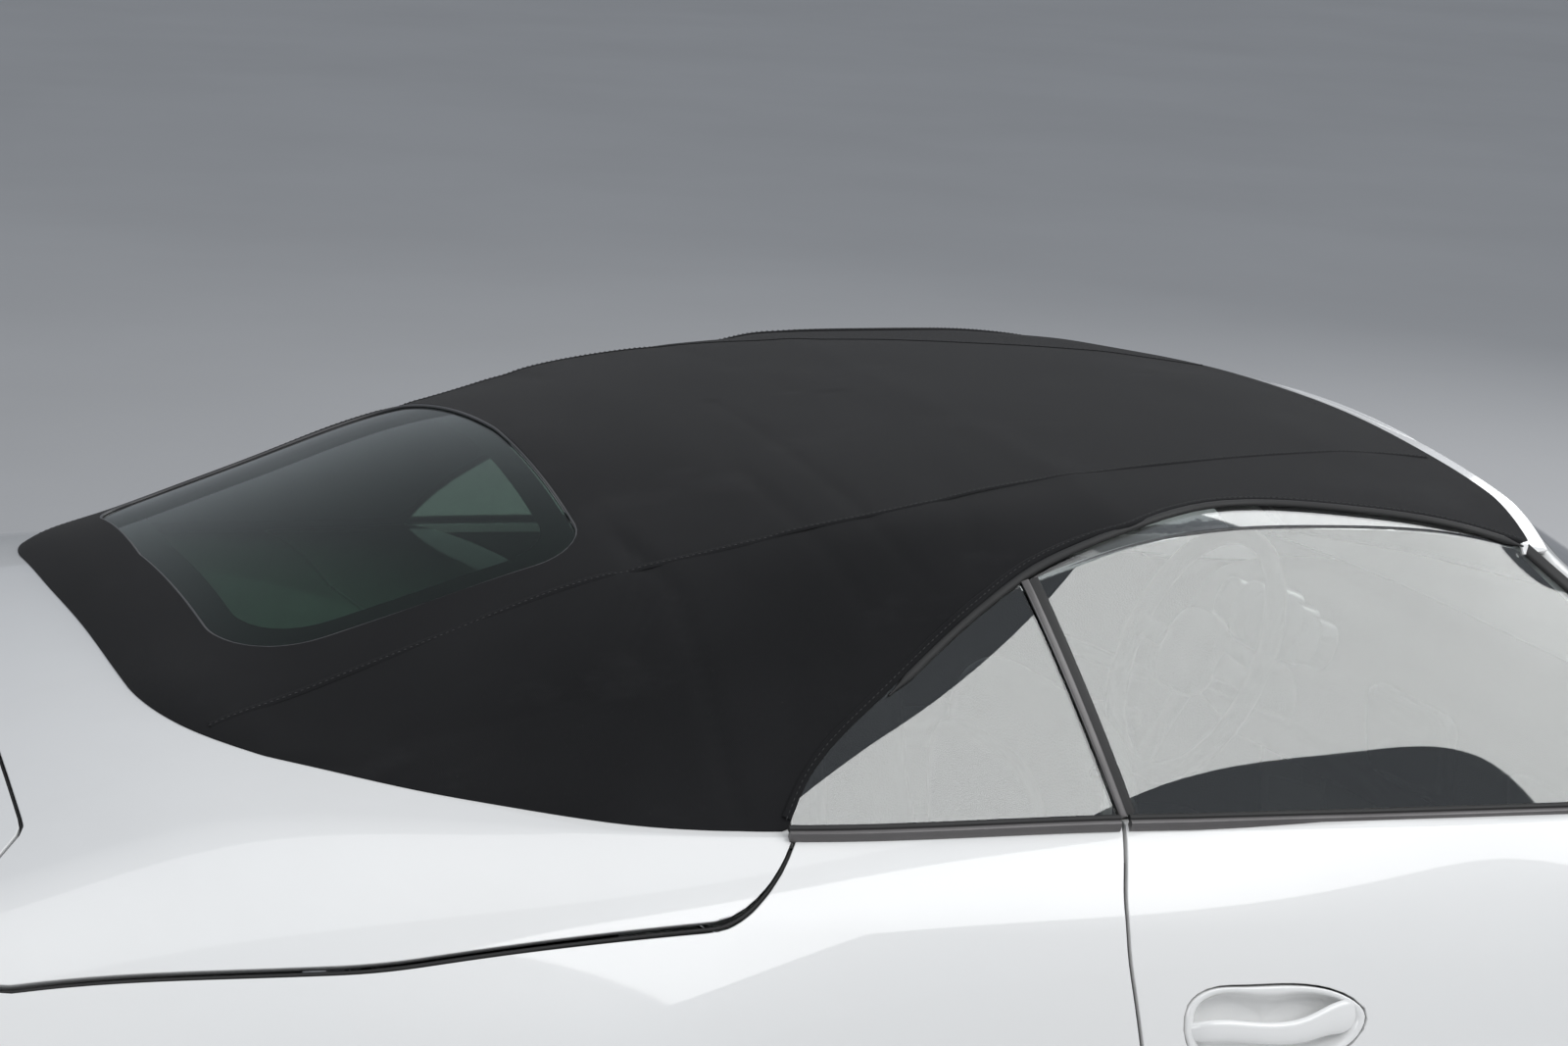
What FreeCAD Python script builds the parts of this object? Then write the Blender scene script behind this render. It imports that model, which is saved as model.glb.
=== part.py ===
import FreeCAD, Part
import Sketcher
import math
import os

# A two-door, rear-engined convertible car with its fabric top up. Millimetres.
# X points forward, Y to the car's left, Z up. The origin is on the ground, midway
# between the bumpers and on the centre plane.

V = FreeCAD.Vector

# Driving sizes. Each row: name, value, what it is.
SIZES = [
    ("body_length", 4430, "bumper to bumper"),
    ("body_width", 1808, "over the rear haunches"),
    ("wheelbase", 2350, "front axle to rear axle"),
    ("front_overhang", 935, "nose to front axle"),
    ("front_track", 1486, "between the front wheels' middle planes"),
    ("rear_track", 1504, "between the rear wheels' middle planes"),
    ("front_tyre_radius", 323.5, "axle height in front"),
    ("rear_tyre_radius", 328, "axle height behind"),
    ("front_tyre_width", 235, "over the front tyre's walls"),
    ("rear_tyre_width", 285, "over the rear tyre's walls"),
    ("rim_radius", 241.3, "bead seat, a 19 inch rim"),
    ("rim_wall", 9, "barrel thickness"),
    ("hub_radius", 78, "wheel centre"),
    ("spoke_count", 10, "spokes of each wheel"),
    ("spoke_width", 34, "at the hub"),
    ("spoke_depth", 30, "along the axle"),
    ("disc_radius", 165, "brake disc"),
    ("disc_thickness", 28, "brake disc"),
    ("spindle_radius", 30, "wheel carriers' spindles"),
    ("spindle_clearance", 0.05, "radial, in the hub's bore"),
    ("arch_clearance", 28, "tyre tread to wheel arch"),
    ("skin_wall", 22, "outer panel with its frame behind"),
    ("door_wall", 90, "whole door, skin to trim"),
    ("shut_gap", 6, "round lids and doors"),
    ("door_front_gap", 7, "between wing and door"),
    ("seam_gap", 0.3, "between fixed panels and round glass"),
    ("glass_wall", 5, "side and rear glass"),
    ("screen_wall", 6, "windscreen"),
    ("fabric_wall", 14, "soft top with its lining"),
    ("sill_top", 256, "top of the sill under the door"),
    ("floor_bottom", 160, "underside of the floor"),
    ("floor_wall", 20, "floor plate"),
    ("hinge_inset", 30, "door hinge axis inside the widest skin"),
    ("hinge_setback", 70, "door hinge axis behind the door's front edge"),
    ("barrel_radius", 10, "door hinge barrel"),
    ("barrel_height", 40, "door hinge barrel"),
    ("jack_socket_radius", 24, "round socket of each jacking point"),
    ("jack_socket_depth", 16, "jacking point's socket"),
]

doc = FreeCAD.newDocument("convertible")
sheet = doc.addObject("Spreadsheet::Sheet", "Sizes")
for row, (name, value, meaning) in enumerate(SIZES, start=1):
    sheet.set("A%d" % row, name.replace("_", " "))
    sheet.set("B%d" % row, str(value))
    sheet.setAlias("B%d" % row, name)
    sheet.set("C%d" % row, meaning)
doc.recompute()


class Sizes:
    """The sheet's values, read by name."""


s = Sizes()
for name, value, meaning in SIZES:
    setattr(s, name, float(sheet.get(name)))

NOSE = s.body_length / 2
TAIL = -s.body_length / 2
FRONT = NOSE - s.front_overhang
REAR = FRONT - s.wheelbase
HALF = s.body_width / 2
REFERENCE = {"nose": NOSE, "front": FRONT, "rear": REAR, "tail": TAIL}
DRAWN_HALF = 904.0
WIDE = HALF / DRAWN_HALF
FAR = 3000.0

sub_parts = []


def add_shape(label, shape):
    """Keep a finished shape as a sub-part of its own."""
    item = doc.addObject("Part::Feature", label)
    item.Label = label
    item.Shape = shape
    sub_parts.append(item)
    return item


def tangent_arc(start, along, end):
    """Arc in the YZ plane from start, leaving along a direction, to end."""
    chord = end - start
    across = V(0, -along.z, along.y)
    lean = 2 * chord.dot(across)
    if abs(lean) < 1e-6:
        return Part.makeLine(start, end), along
    radius = chord.dot(chord) / lean
    centre = start + across * radius
    middle = (start + end) * 0.5 - centre
    side = 1 if chord.dot(along) >= 0 else -1
    top = centre + middle.normalize() * abs(radius) * side
    turned = end - centre
    leaving = V(0, -turned.z, turned.y) * (1 / radius)
    return Part.Arc(start, top, end).toShape(), leaving


def mirrored(edges):
    """The same edges on the other side, in reverse order."""
    plane = V(0, 1, 0)
    return [edge.mirror(V(0, 0, 0), plane) for edge in reversed(edges)]


def closed(half, bottom_y, bottom_z, x):
    """A closed section from its left half, which ends on the mirror plane's other side."""
    bottom = Part.makeLine(V(x, -bottom_y, bottom_z), V(x, bottom_y, bottom_z))
    edges = [bottom] + half[:-1] + [half[-1]] + mirrored(half[:-1])
    return Part.Wire(Part.__sortEdges__(edges))


# Body sections from nose to tail. Columns: reference, distance from it along X, then
# half width and height of the bottom edge, the widest point, the shoulder and the
# edge of the lid, and the height on the centre line.
BODY = [
    ("nose", 0, 285, 440, 300, 468, 285, 490, 200, 500, 503),
    ("nose", -25, 430, 330, 470, 470, 430, 515, 300, 524, 530),
    ("nose", -85, 545, 215, 590, 485, 545, 545, 370, 562, 572),
    ("nose", -165, 640, 185, 690, 500, 640, 572, 420, 592, 606),
    ("nose", -315, 735, 175, 790, 520, 715, 632, 478, 642, 655),
    ("front", 320, 800, 170, 857, 540, 782, 692, 522, 718, 730),
    ("front", 0, 825, 165, 885, 560, 802, 748, 562, 792, 806),
    ("front", -380, 800, 160, 874, 560, 816, 800, 626, 878, 902),
    ("front", -930, 790, 160, 870, 560, 830, 805, 771, 905, 930),
    ("rear", 670, 790, 160, 872, 560, 834, 815, 772, 923, 965),
    ("rear", 300, 808, 162, 888, 562, 832, 842, 762, 929, 1000),
    ("rear", 0, 832, 165, 904, 570, 822, 853, 700, 943, 1030),
    ("rear", -268, 828, 170, 896, 580, 812, 847, 662, 950, 1021),
    ("rear", -530, 815, 175, 884, 590, 804, 830, 688, 902, 960),
    ("tail", 365, 780, 180, 850, 590, 770, 790, 650, 848, 880),
    ("tail", 165, 720, 195, 780, 570, 700, 716, 560, 772, 806),
    ("tail", 85, 670, 240, 712, 550, 642, 655, 520, 700, 740),
    ("tail", 40, 590, 330, 622, 545, 570, 622, 440, 660, 690),
    ("tail", 10, 470, 440, 505, 545, 462, 592, 340, 620, 640),
    ("tail", 0, 410, 500, 430, 545, 410, 566, 300, 590, 602),
]
COLUMNS = ("yb", "zb", "ym", "zm", "y3", "z3", "y4", "z4", "zt")


def station(row):
    """A table row as a dictionary with X worked out."""
    values = dict(zip(COLUMNS, row[2:]))
    for key in ("yb", "ym", "y3", "y4"):
        values[key] *= WIDE
    values["x"] = REFERENCE[row[0]] + row[1]
    return values


def inset(p, wall):
    """The same section with its skin moved inwards by a wall."""
    q = dict(p)
    q["yb"] -= wall
    q["zb"] += wall
    q["ym"] -= wall
    q["y3"] -= 0.85 * wall
    q["z3"] -= 0.5 * wall
    q["y4"] -= 0.2 * wall
    q["z4"] -= wall
    q["zt"] -= wall
    return q


def body_section(p):
    """Flat bottom, side arc, shoulder arc, wing arc, then the crown of the lid."""
    x = p["x"]
    low = V(x, p["yb"], p["zb"])
    wide = V(x, p["ym"], p["zm"])
    shoulder = V(x, p["y3"], p["z3"])
    edge = V(x, p["y4"], p["z4"])
    side, leaving = tangent_arc(wide, V(0, 0, -1), low)
    upper, leaving = tangent_arc(wide, V(0, 0, 1), shoulder)
    wing, leaving = tangent_arc(shoulder, leaving, edge)
    crown = Part.Arc(edge, V(x, 0, p["zt"]), V(x, -p["y4"], p["z4"])).toShape()
    return closed([side, upper, wing, crown], p["yb"], p["zb"], x)


stations = [station(row) for row in BODY]
body_outer = Part.makeLoft([body_section(p) for p in stations], True, False)
inner_rows = [inset(p, s.skin_wall) for p in stations[2:-3]]
body_inner = Part.makeLoft([body_section(p) for p in inner_rows], True, False)
skin = body_outer.cut(body_inner)


def outline(points):
    """A closed flat outline as (u, v) corners, each with the radius that rounds it."""
    count = len(points)
    edges = []
    ends = []
    for i, (u, v, radius) in enumerate(points):
        here = V(u, v, 0)
        before = V(*points[i - 1][:2], 0) - here
        after = V(*points[(i + 1) % count][:2], 0) - here
        before.normalize()
        after.normalize()
        if radius == 0:
            ends.append((here, here))
            continue
        half = before.getAngle(after) / 2
        back = radius / math.tan(half)
        first = here + before * back
        last = here + after * back
        bisector = (before + after).normalize()
        centre = here + bisector * (radius / math.sin(half))
        middle = centre - bisector * radius
        edges.append(Part.Arc(first, middle, last).toShape())
        ends.append((first, last))
    for i in range(count):
        start = ends[i][1]
        stop = ends[(i + 1) % count][0]
        if start.distanceToPoint(stop) > 1e-4:
            edges.append(Part.makeLine(start, stop))
    return Part.Face(Part.Wire(Part.__sortEdges__(edges)))


def grown(face, gap):
    """A flat outline moved outwards by a gap."""
    return face.makeOffset2D(gap) if gap else face


def side_prism(points, low, high, gap=0):
    """Side view outline (X, Z) carried along Y from low to high."""
    face = grown(outline(points), gap)
    face.rotate(V(0, 0, 0), V(1, 0, 0), 90)
    face.translate(V(0, low, 0))
    return face.extrude(V(0, high - low, 0))


def plan_prism(points, low, high, gap=0):
    """Plan view outline (X, Y) carried along Z from low to high."""
    face = grown(outline(points), gap)
    face.translate(V(0, 0, low))
    return face.extrude(V(0, 0, high - low))


def rear_prism(points, low, high, gap=0):
    """Rear view outline (Y, Z) carried along X from low to high."""
    face = grown(outline(points), gap)
    face.rotate(V(0, 0, 0), V(1, 1, 1), 120)
    face.translate(V(low, 0, 0))
    return face.extrude(V(high - low, 0, 0))


def box(x0, x1, y0, y1, z0, z1):
    """A block between two corners."""
    return Part.makeBox(x1 - x0, y1 - y0, z1 - z0, V(x0, y0, z0))


def largest(shape):
    """The biggest solid of a shape."""
    return max(shape.Solids, key=lambda one: one.Volume)


def other_side(shape):
    """The same shape on the car's other side."""
    return shape.mirror(V(0, 0, 0), V(0, 1, 0))


def joined(shapes):
    """Shapes fused to one."""
    return shapes[0].multiFuse(shapes[1:])


def group(shapes):
    """Solids that don't touch, kept in one sub-part."""
    return Part.makeCompound(shapes)


# Lines of the body, drawn as outlines. Heights are above the ground.
DOOR_FRONT = FRONT - 512
DOOR_BOTTOM = s.sill_top + s.shut_gap
DOOR_LINE = [
    (DOOR_FRONT - 26, 1500, 0),
    (DOOR_FRONT, DOOR_BOTTOM, 60),
    (REAR + 800, DOOR_BOTTOM, 110),
    (REAR + 722, 640, 250),
    (REAR + 672, 1500, 0),
]
BUMPER_TOP_FRONT = [
    (FRONT + 100, -100, 0),
    (FRONT + 345, 540, 40),
    (NOSE - 240, 596, 60),
    (NOSE - 180, 900, 0),
    (NOSE + 200, 900, 0),
    (NOSE + 200, -100, 0),
]
BUMPER_TOP_REAR = [
    (REAR - 100, -100, 0),
    (REAR - 362, 450, 60),
    (TAIL + 260, 598, 200),
    (TAIL + 60, 622, 0),
    (TAIL - 200, 622, 0),
    (TAIL - 200, -100, 0),
]
BONNET_LINE = [
    (FRONT - 498, -606, 30),
    (FRONT - 330, -280, 700),
    (FRONT - 330, 280, 700),
    (FRONT - 498, 606, 30),
    (NOSE - 300, 470, 120),
    (NOSE - 186, 200, 500),
    (NOSE - 186, -200, 500),
    (NOSE - 300, -470, 120),
]
ENGINE_LID_LINE = [
    (REAR - 466, -330, 600),
    (REAR - 510, -580, 50),
    (TAIL + 160, -520, 300),
    (TAIL - 200, -430, 0),
    (TAIL - 200, 430, 0),
    (TAIL + 160, 520, 300),
    (REAR - 510, 580, 50),
    (REAR - 466, 330, 600),
]
TOP_LID_LINE = [
    (REAR + 325, -756, 0),
    (REAR + 296, -776, 0),
    (REAR + 262, -806, 60),
    (REAR + 150, -821, 300),
    (REAR - 400, -812, 900),
    (REAR - 600, -775, 60),
    (REAR - 470, -600, 60),
    (REAR - 440, 0, 0),
    (REAR - 470, 600, 60),
    (REAR - 600, 775, 60),
    (REAR - 400, 812, 900),
    (REAR + 150, 821, 300),
    (REAR + 262, 806, 60),
    (REAR + 296, 776, 0),
    (REAR + 325, 756, 0),
    (REAR + 60, 560, 200),
    (REAR + 10, 0, 0),
    (REAR + 60, -560, 200),
]

# Round cut-outs: wheel arches, and the oval headlamps.
ARCH_FRONT = s.front_tyre_radius + s.arch_clearance
ARCH_REAR = s.rear_tyre_radius + s.arch_clearance


def arch_cut(x, radius, wheel_radius):
    """A wheel's space in the body: round on top, straight down below the axle."""
    round_part = Part.makeCylinder(radius, 2 * FAR, V(x, -FAR, wheel_radius), V(0, 1, 0))
    return round_part.fuse(box(x - radius, x + radius, -FAR, FAR, -100, wheel_radius))


arches = arch_cut(FRONT, ARCH_FRONT, s.front_tyre_radius).fuse(
    arch_cut(REAR, ARCH_REAR, s.rear_tyre_radius))

LAMP_X, LAMP_Y, LAMP_Z = NOSE - 400, 628 * WIDE, 680
LAMP_LONG, LAMP_ACROSS, LAMP_TILT = 128, 96, 38


def lamp_cylinder(gap):
    """Oval cylinder through the left wing, looking forwards and up."""
    oval = Part.Ellipse(V(0, 0, 0), LAMP_LONG + gap, LAMP_ACROSS + gap).toShape()
    face = Part.Face(Part.Wire([oval]))
    face.rotate(V(0, 0, 0), V(0, 1, 0), LAMP_TILT)
    face.rotate(V(0, 0, 0), V(0, 0, 1), 8)
    face.translate(V(LAMP_X, LAMP_Y, LAMP_Z))
    up = V(math.sin(math.radians(LAMP_TILT)), 0.14 * math.sin(math.radians(LAMP_TILT)),
           math.cos(math.radians(LAMP_TILT)))
    face.translate(up * -160)
    return face.extrude(up * 400)


TAIL_LAMP_LINE = [
    (476, 655, 12),
    (520, 716, 30),
    (700, 722, 60),
    (860, 690, 10),
    (860, 632, 10),
    (560, 628, 30),
]


def tail_lamp_prism(gap):
    """Left tail lamp's outline, carried forwards from behind."""
    return rear_prism(TAIL_LAMP_LINE, TAIL - 100, TAIL + 275 + gap, gap)


left_half = box(-FAR, FAR, 0, FAR, -FAR, FAR)
gap = s.shut_gap
bonnet_space = plan_prism(BONNET_LINE, 400, 1500, gap)
engine_lid_space = plan_prism(ENGINE_LID_LINE, 300, 1500, gap)
top_lid_space = plan_prism(TOP_LID_LINE, 600, 1500, gap)
door_space = side_prism(DOOR_LINE, -FAR, FAR, gap)
front_bumper_space = side_prism(BUMPER_TOP_FRONT, -FAR, FAR, s.seam_gap)
rear_bumper_space = side_prism(BUMPER_TOP_REAR, -FAR, FAR, s.seam_gap)
open_skin = skin.cut(arches)

# Bumpers, with the cooling inlets in the front one and a plate recess behind.
INLET = [(265, 250, 30), (300, 385, 30), (560, 400, 40), (610, 330, 40), (560, 245, 30)]
CENTRE_INLET = [(-190, 225, 30), (-215, 330, 30), (215, 330, 30), (190, 225, 30)]


def front_bumper_shape():
    """Nose panel up to the lamps and bonnet, with three inlets."""
    panel = open_skin.common(side_prism(BUMPER_TOP_FRONT, -FAR, FAR))
    panel = panel.cut(bonnet_space)
    left = rear_prism(INLET, NOSE - 400, NOSE + 100)
    middle = rear_prism(CENTRE_INLET, NOSE - 400, NOSE + 100)
    return largest(panel.cut(left.fuse([other_side(left), middle])))


def rear_bumper_shape():
    """Tail panel below the lamps and the engine lid."""
    panel = open_skin.common(side_prism(BUMPER_TOP_REAR, -FAR, FAR))
    return largest(panel)


def front_wing_shape():
    """Left wing from the bumper to the door, cut for the lamp and the bonnet."""
    region = box(DOOR_FRONT - 100, NOSE, 0, FAR, s.sill_top, FAR)
    panel = open_skin.common(region).cut(bonnet_space).cut(door_wide)
    panel = panel.cut(front_bumper_space).cut(lamp_cylinder(s.seam_gap))
    panel = panel.cut(cowl_region)
    return largest(panel)


def quarter_shape():
    """Left rear quarter from the door to the bumper."""
    region = box(TAIL, REAR + 900, 0, FAR, s.sill_top, FAR)
    panel = open_skin.common(region).cut(door_space).cut(top_lid_space)
    panel = panel.cut(engine_lid_space).cut(rear_bumper_space)
    panel = panel.cut(tail_lamp_prism(s.seam_gap)).cut(cabin_top)
    return largest(panel)


# The cabin side wall is as thick as a whole door. Below it runs the sill.
BELT_Y = 771
BULKHEAD_X = FRONT - ARCH_FRONT - 38
CABIN_REAR = REAR + ARCH_REAR + 2


def cabin_wall(p):
    """Cabin side walls and an open top, seen along X."""
    belt_y = BELT_Y * WIDE - 0.7 * s.door_wall
    x = p["x"]
    low = V(x, p["yb"] - 0.8 * s.door_wall, s.floor_bottom)
    wide = V(x, p["ym"] - s.door_wall, p["zm"])
    belt = V(x, belt_y, p["z4"])
    top = V(x, belt_y, 1500)
    left = [low, wide, belt, top]
    right = [V(p.x, -p.y, p.z) for p in reversed(left)]
    return Part.makePolygon(left + right + [low])


cabin_space = Part.makeLoft([cabin_wall(p) for p in stations[6:12]], True, True)
thick_side = body_outer.cut(cabin_space).cut(arches)
cabin_top = box(REAR + 330, FRONT - 560, -710 * WIDE, 710 * WIDE, 780, FAR)
cowl_region = plan_prism([
    (FRONT - 720, -642, 20), (FRONT - 480, -612, 0), (FRONT - 300, -280, 600),
    (FRONT - 300, 280, 600), (FRONT - 480, 612, 0), (FRONT - 720, 642, 20)], 700, 1500)
door_wide = side_prism(DOOR_LINE, -FAR, FAR, s.door_front_gap)

# Door hinge axis, upright, inside the widest part of the skin.
HINGE_X = DOOR_FRONT - s.hinge_setback
HINGE_Y = 871 * WIDE - s.hinge_inset
HINGE_HEIGHTS = (430, 650)
POST_TOP = 700

# Oval recess of the door handle, seen from the side, and the pull bar across it.
HANDLE_RECESS = [
    (REAR + 766, 752, 45),
    (REAR + 930, 752, 90),
    (REAR + 1000, 706, 30),
    (REAR + 950, 652, 80),
    (REAR + 766, 652, 45),
]
HANDLE_BAR = [
    (REAR + 756, 712, 8),
    (REAR + 1008, 712, 8),
    (REAR + 1008, 684, 8),
    (REAR + 756, 684, 8),
]
RECESS_FLOOR, BAR_BACK, BAR_FRONT = 832 * WIDE, 847 * WIDE, 862 * WIDE


def door_shape():
    """Left door with its handle recess and the notches for its hinges."""
    door = thick_side.common(side_prism(DOOR_LINE, 0, FAR))
    for height in HINGE_HEIGHTS:
        notch = box(HINGE_X - s.barrel_radius - 6, DOOR_FRONT + 50, 0,
                    HINGE_Y + s.barrel_radius + 5, height, height + s.barrel_height + 2 * s.seam_gap)
        door = door.cut(notch)
    door = door.cut(side_prism(HANDLE_RECESS, RECESS_FLOOR, FAR))
    return largest(door.fuse(side_prism(HANDLE_BAR, BAR_BACK, BAR_FRONT)))


JACK_Y, JACK_Z, JACK_INSET, JACK_RING = 758 * WIDE, 156, 170, 7


def sill_shape():
    """Left sill between the wheel arches, with a jacking point at each end."""
    region = box(CABIN_REAR + s.seam_gap, FRONT - ARCH_FRONT, 0, FAR, 0, s.sill_top - s.seam_gap)
    sill = thick_side.common(region)
    for x in (FRONT - ARCH_FRONT - JACK_INSET, CABIN_REAR + JACK_INSET):
        foot = V(x, JACK_Y, JACK_Z)
        sill = sill.fuse(Part.makeCylinder(s.jack_socket_radius + JACK_RING, 30, foot))
        sill = sill.cut(Part.makeCylinder(s.jack_socket_radius, s.jack_socket_depth, foot))
    return largest(sill)


def hinge_shapes():
    """Left A-post plate with the two hinge arms and barrels."""
    inner = HINGE_Y - s.hinge_setback - s.hinge_inset - 8
    post = box(HINGE_X + 54, FRONT - ARCH_FRONT - 20, inner - 16, inner, s.sill_top, POST_TOP)
    arms = [body_inner.common(post)]
    for height in HINGE_HEIGHTS:
        z = height + s.seam_gap
        barrel = Part.makeCylinder(s.barrel_radius, s.barrel_height, V(HINGE_X, HINGE_Y, z))
        reach = Part.makeBox(HINGE_Y - inner + 30, 14, s.barrel_height, V(0, -7, 0))
        reach.rotate(V(0, 0, 0), V(0, 0, 1), -62)
        reach.translate(V(HINGE_X, HINGE_Y, z))
        arms += [barrel, reach]
    return joined(arms)


def cowl_shape():
    """Scuttle panel ahead of the screen, bulkhead, A-posts and hinge arms."""
    top = skin.common(cowl_region).cut(bonnet_space).cut(door_wide)
    bulkhead = body_inner.common(box(FRONT - ARCH_FRONT - 38, FRONT - ARCH_FRONT - 20,
                                     -FAR, FAR, s.sill_top, FAR)).cut(bonnet_space)
    left = hinge_shapes()
    whole = joined([largest(top), largest(bulkhead), left, other_side(left)])
    return largest(whole)


def bonnet_shape():
    """Front lid."""
    return largest(skin.common(plan_prism(BONNET_LINE, 400, 1500)))


LOUVRE_COUNT = 7
LOUVRE_PITCH = 30
LOUVRE_WALL = 10


def engine_lid_shape():
    """Rear lid with its louvred air inlet."""
    lid = skin.common(plan_prism(ENGINE_LID_LINE, 300, 1500)).cut(rear_bumper_space)
    lid = largest(lid)
    slots = []
    for i in range(LOUVRE_COUNT):
        x = REAR - 540 - LOUVRE_PITCH * i
        slots.append(box(x - LOUVRE_PITCH + LOUVRE_WALL, x, -400, -6, 700, 1100))
        slots.append(box(x - LOUVRE_PITCH + LOUVRE_WALL, x, 6, 400, 700, 1100))
    return largest(lid.cut(slots[0].multiFuse(slots[1:])))


def top_lid_shape():
    """Lid of the box that the soft top folds into."""
    lid = skin.common(plan_prism(TOP_LID_LINE, 600, 1500)).cut(engine_lid_space)
    return largest(lid)


# The glasshouse. Columns: reference, distance along X, then the base, the rail over
# the side glass, the seam of the roof's middle panel (each Y, Z) and the crown's Z.
GLASSHOUSE = [
    ("front", -640, 757, 884, 575, 1150, 430, 1176, 1192),
    ("front", -960, 773, 890, 590, 1165, 450, 1208, 1230),
    ("front", -1133, 773, 890, 622, 1206, 470, 1233, 1251),
    ("front", -1340, 775, 892, 634, 1226, 490, 1243, 1262),
    ("rear", 770, 776, 892, 640, 1212, 490, 1240, 1266),
    ("rear", 620, 777, 894, 646, 1165, 490, 1231, 1261),
    ("rear", 455, 776, 896, 650, 1110, 485, 1211, 1249),
    ("rear", 300, 774, 896, 640, 1075, 460, 1178, 1234),
    ("rear", 170, 750, 908, 612, 1052, 450, 1146, 1214),
    ("rear", 10, 700, 908, 590, 1012, 450, 1088, 1165),
    ("rear", -150, 660, 890, 556, 988, 440, 1035, 1108),
    ("rear", -270, 600, 870, 505, 962, 330, 1022, 1047),
    ("rear", -350, 540, 850, 430, 912, 300, 955, 975),
]
SIDE_BULGE = 9


def glasshouse_section(row, wall):
    """Crown and roof edge tangent to each other, then the slightly curved side."""
    ref, dx, yb, zb, yr, zr, yc, zc, zt = row
    x = REFERENCE[ref] + dx
    top = V(x, 0, zt - wall)
    seam = V(x, yc * WIDE - 0.2 * wall, zc - wall)
    rail = V(x, yr * WIDE - 0.8 * wall, zr - 0.6 * wall)
    base = V(x, yb * WIDE - wall, zb - 0.1 * wall)
    fall = zt - zc
    radius = (seam.y ** 2 + fall ** 2) / (2 * fall)
    leaving = V(0, radius - fall, -seam.y)
    leaving.normalize()
    edge, leaving = tangent_arc(seam, leaving, rail)
    chord = base - rail
    out = V(0, -chord.z, chord.y).normalize()
    side = Part.Arc(base, (base + rail) * 0.5 + out * SIDE_BULGE, rail).toShape()
    crown = Part.Arc(seam, top, V(x, -seam.y, seam.z)).toShape()
    edge = edge if edge.Orientation == "Forward" else edge.reversed()
    return closed([side, edge, crown], base.y, base.z, x)


def glasshouse(wall):
    """The cabin roof and windows as one solid, a wall inside the outer surface."""
    return Part.makeLoft([glasshouse_section(row, wall) for row in GLASSHOUSE], True, False)


roof_outer = glasshouse(0)
roof_shell = roof_outer.cut(glasshouse(s.fabric_wall))
GLASS_DEPTH = 4
glass_outer = glasshouse(GLASS_DEPTH)
glass_shell = glass_outer.cut(glasshouse(GLASS_DEPTH + s.glass_wall))
deck = body_outer.translated(V(0, 0, s.seam_gap))

# Soft top: its lower edge over the side glass, and the front edge on the screen's header.
HEADER_X = FRONT - 984
HEADER_CORNER_X = FRONT - 1038
HEM = [
    (HEADER_X + 300, 1500, 0),
    (HEADER_X + 300, 1172, 0),
    (HEADER_CORNER_X, 1184, 200),
    (FRONT - 1266, 1228, 200),
    (FRONT - 1518, 1218, 300),
    (REAR + 639, 1172, 150),
    (REAR + 530, 1113, 150),
    (REAR + 333, 941, 20),
    (REAR + 300, 850, 0),
    (TAIL, 850, 0),
    (TAIL, 1500, 0),
]
WINDOW_LINE = [
    (REAR + 198, -413, 60), (REAR + 214, 0, 0), (REAR + 198, 413, 60),
    (REAR - 180, 371, 60), (REAR - 194, 0, 0), (REAR - 180, -371, 60)]


def header_line(grow):
    """Plan outline behind the header's curve."""
    middle = HEADER_X + grow
    corner = HEADER_CORNER_X + grow
    y = 603 * WIDE
    edges = [Part.Arc(V(corner, -y, 0), V(middle, 0, 0), V(corner, y, 0)).toShape()]
    run = [V(corner, y, 0), V(corner - 90, y + 500, 0), V(TAIL - 90, y + 500, 0),
           V(TAIL - 90, -y - 500, 0), V(corner - 90, -y - 500, 0), V(corner, -y, 0)]
    for a, b in zip(run, run[1:]):
        edges.append(Part.makeLine(a, b))
    return Part.Face(Part.Wire(edges)).extrude(V(0, 0, 2000))


def soft_top_shape():
    """Fabric roof with its window opening, standing on the lid's edge."""
    top = roof_shell.common(header_line(0)).common(side_prism(HEM, -FAR, FAR))
    top = top.cut(plan_prism(WINDOW_LINE, 900, 1500))
    return largest(top.cut(deck))


def rear_window_shape():
    """Rear glass in the soft top."""
    face = outline(WINDOW_LINE).makeOffset2D(-s.seam_gap)
    face.translate(V(0, 0, 900))
    return largest(glass_shell.common(face.extrude(V(0, 0, 600))))


# Windscreen: a ruled panel from the scuttle's arc to the header's arc.
SCREEN_BASE = (FRONT - 396, 905, FRONT - 690, 688, 897)
SCREEN_TOP = (HEADER_X + 22, 1236, HEADER_CORNER_X + 22, 600, 1178)


SCREEN_DEPTH = V(-0.45, 0, -0.89)


def screen_arc(depth, side, share):
    """Cross arc of the screen at a share of its height, a depth below its face."""
    points = []
    for k in (-1, 0, 1):
        low = V(SCREEN_BASE[2], k * SCREEN_BASE[3] * WIDE, SCREEN_BASE[4])
        high = V(SCREEN_TOP[2], k * SCREEN_TOP[3] * WIDE, SCREEN_TOP[4])
        if k == 0:
            low = V(SCREEN_BASE[0], 0, SCREEN_BASE[1])
            high = V(SCREEN_TOP[0], 0, SCREEN_TOP[1])
        point = low + (high - low) * share + SCREEN_DEPTH * depth
        points.append(point + V(abs(k) * side * 0.35, -k * side, 0))
    return Part.Arc(*points).toShape()


def screen_solid(depth, wall, side, low, high):
    """Slab of the screen's ruled face, trimmed by margins at the sides and ends."""
    face = Part.makeRuledSurface(screen_arc(depth, side, low), screen_arc(depth, side, high))
    return face.extrude(SCREEN_DEPTH * wall)


PILLAR = 52


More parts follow.
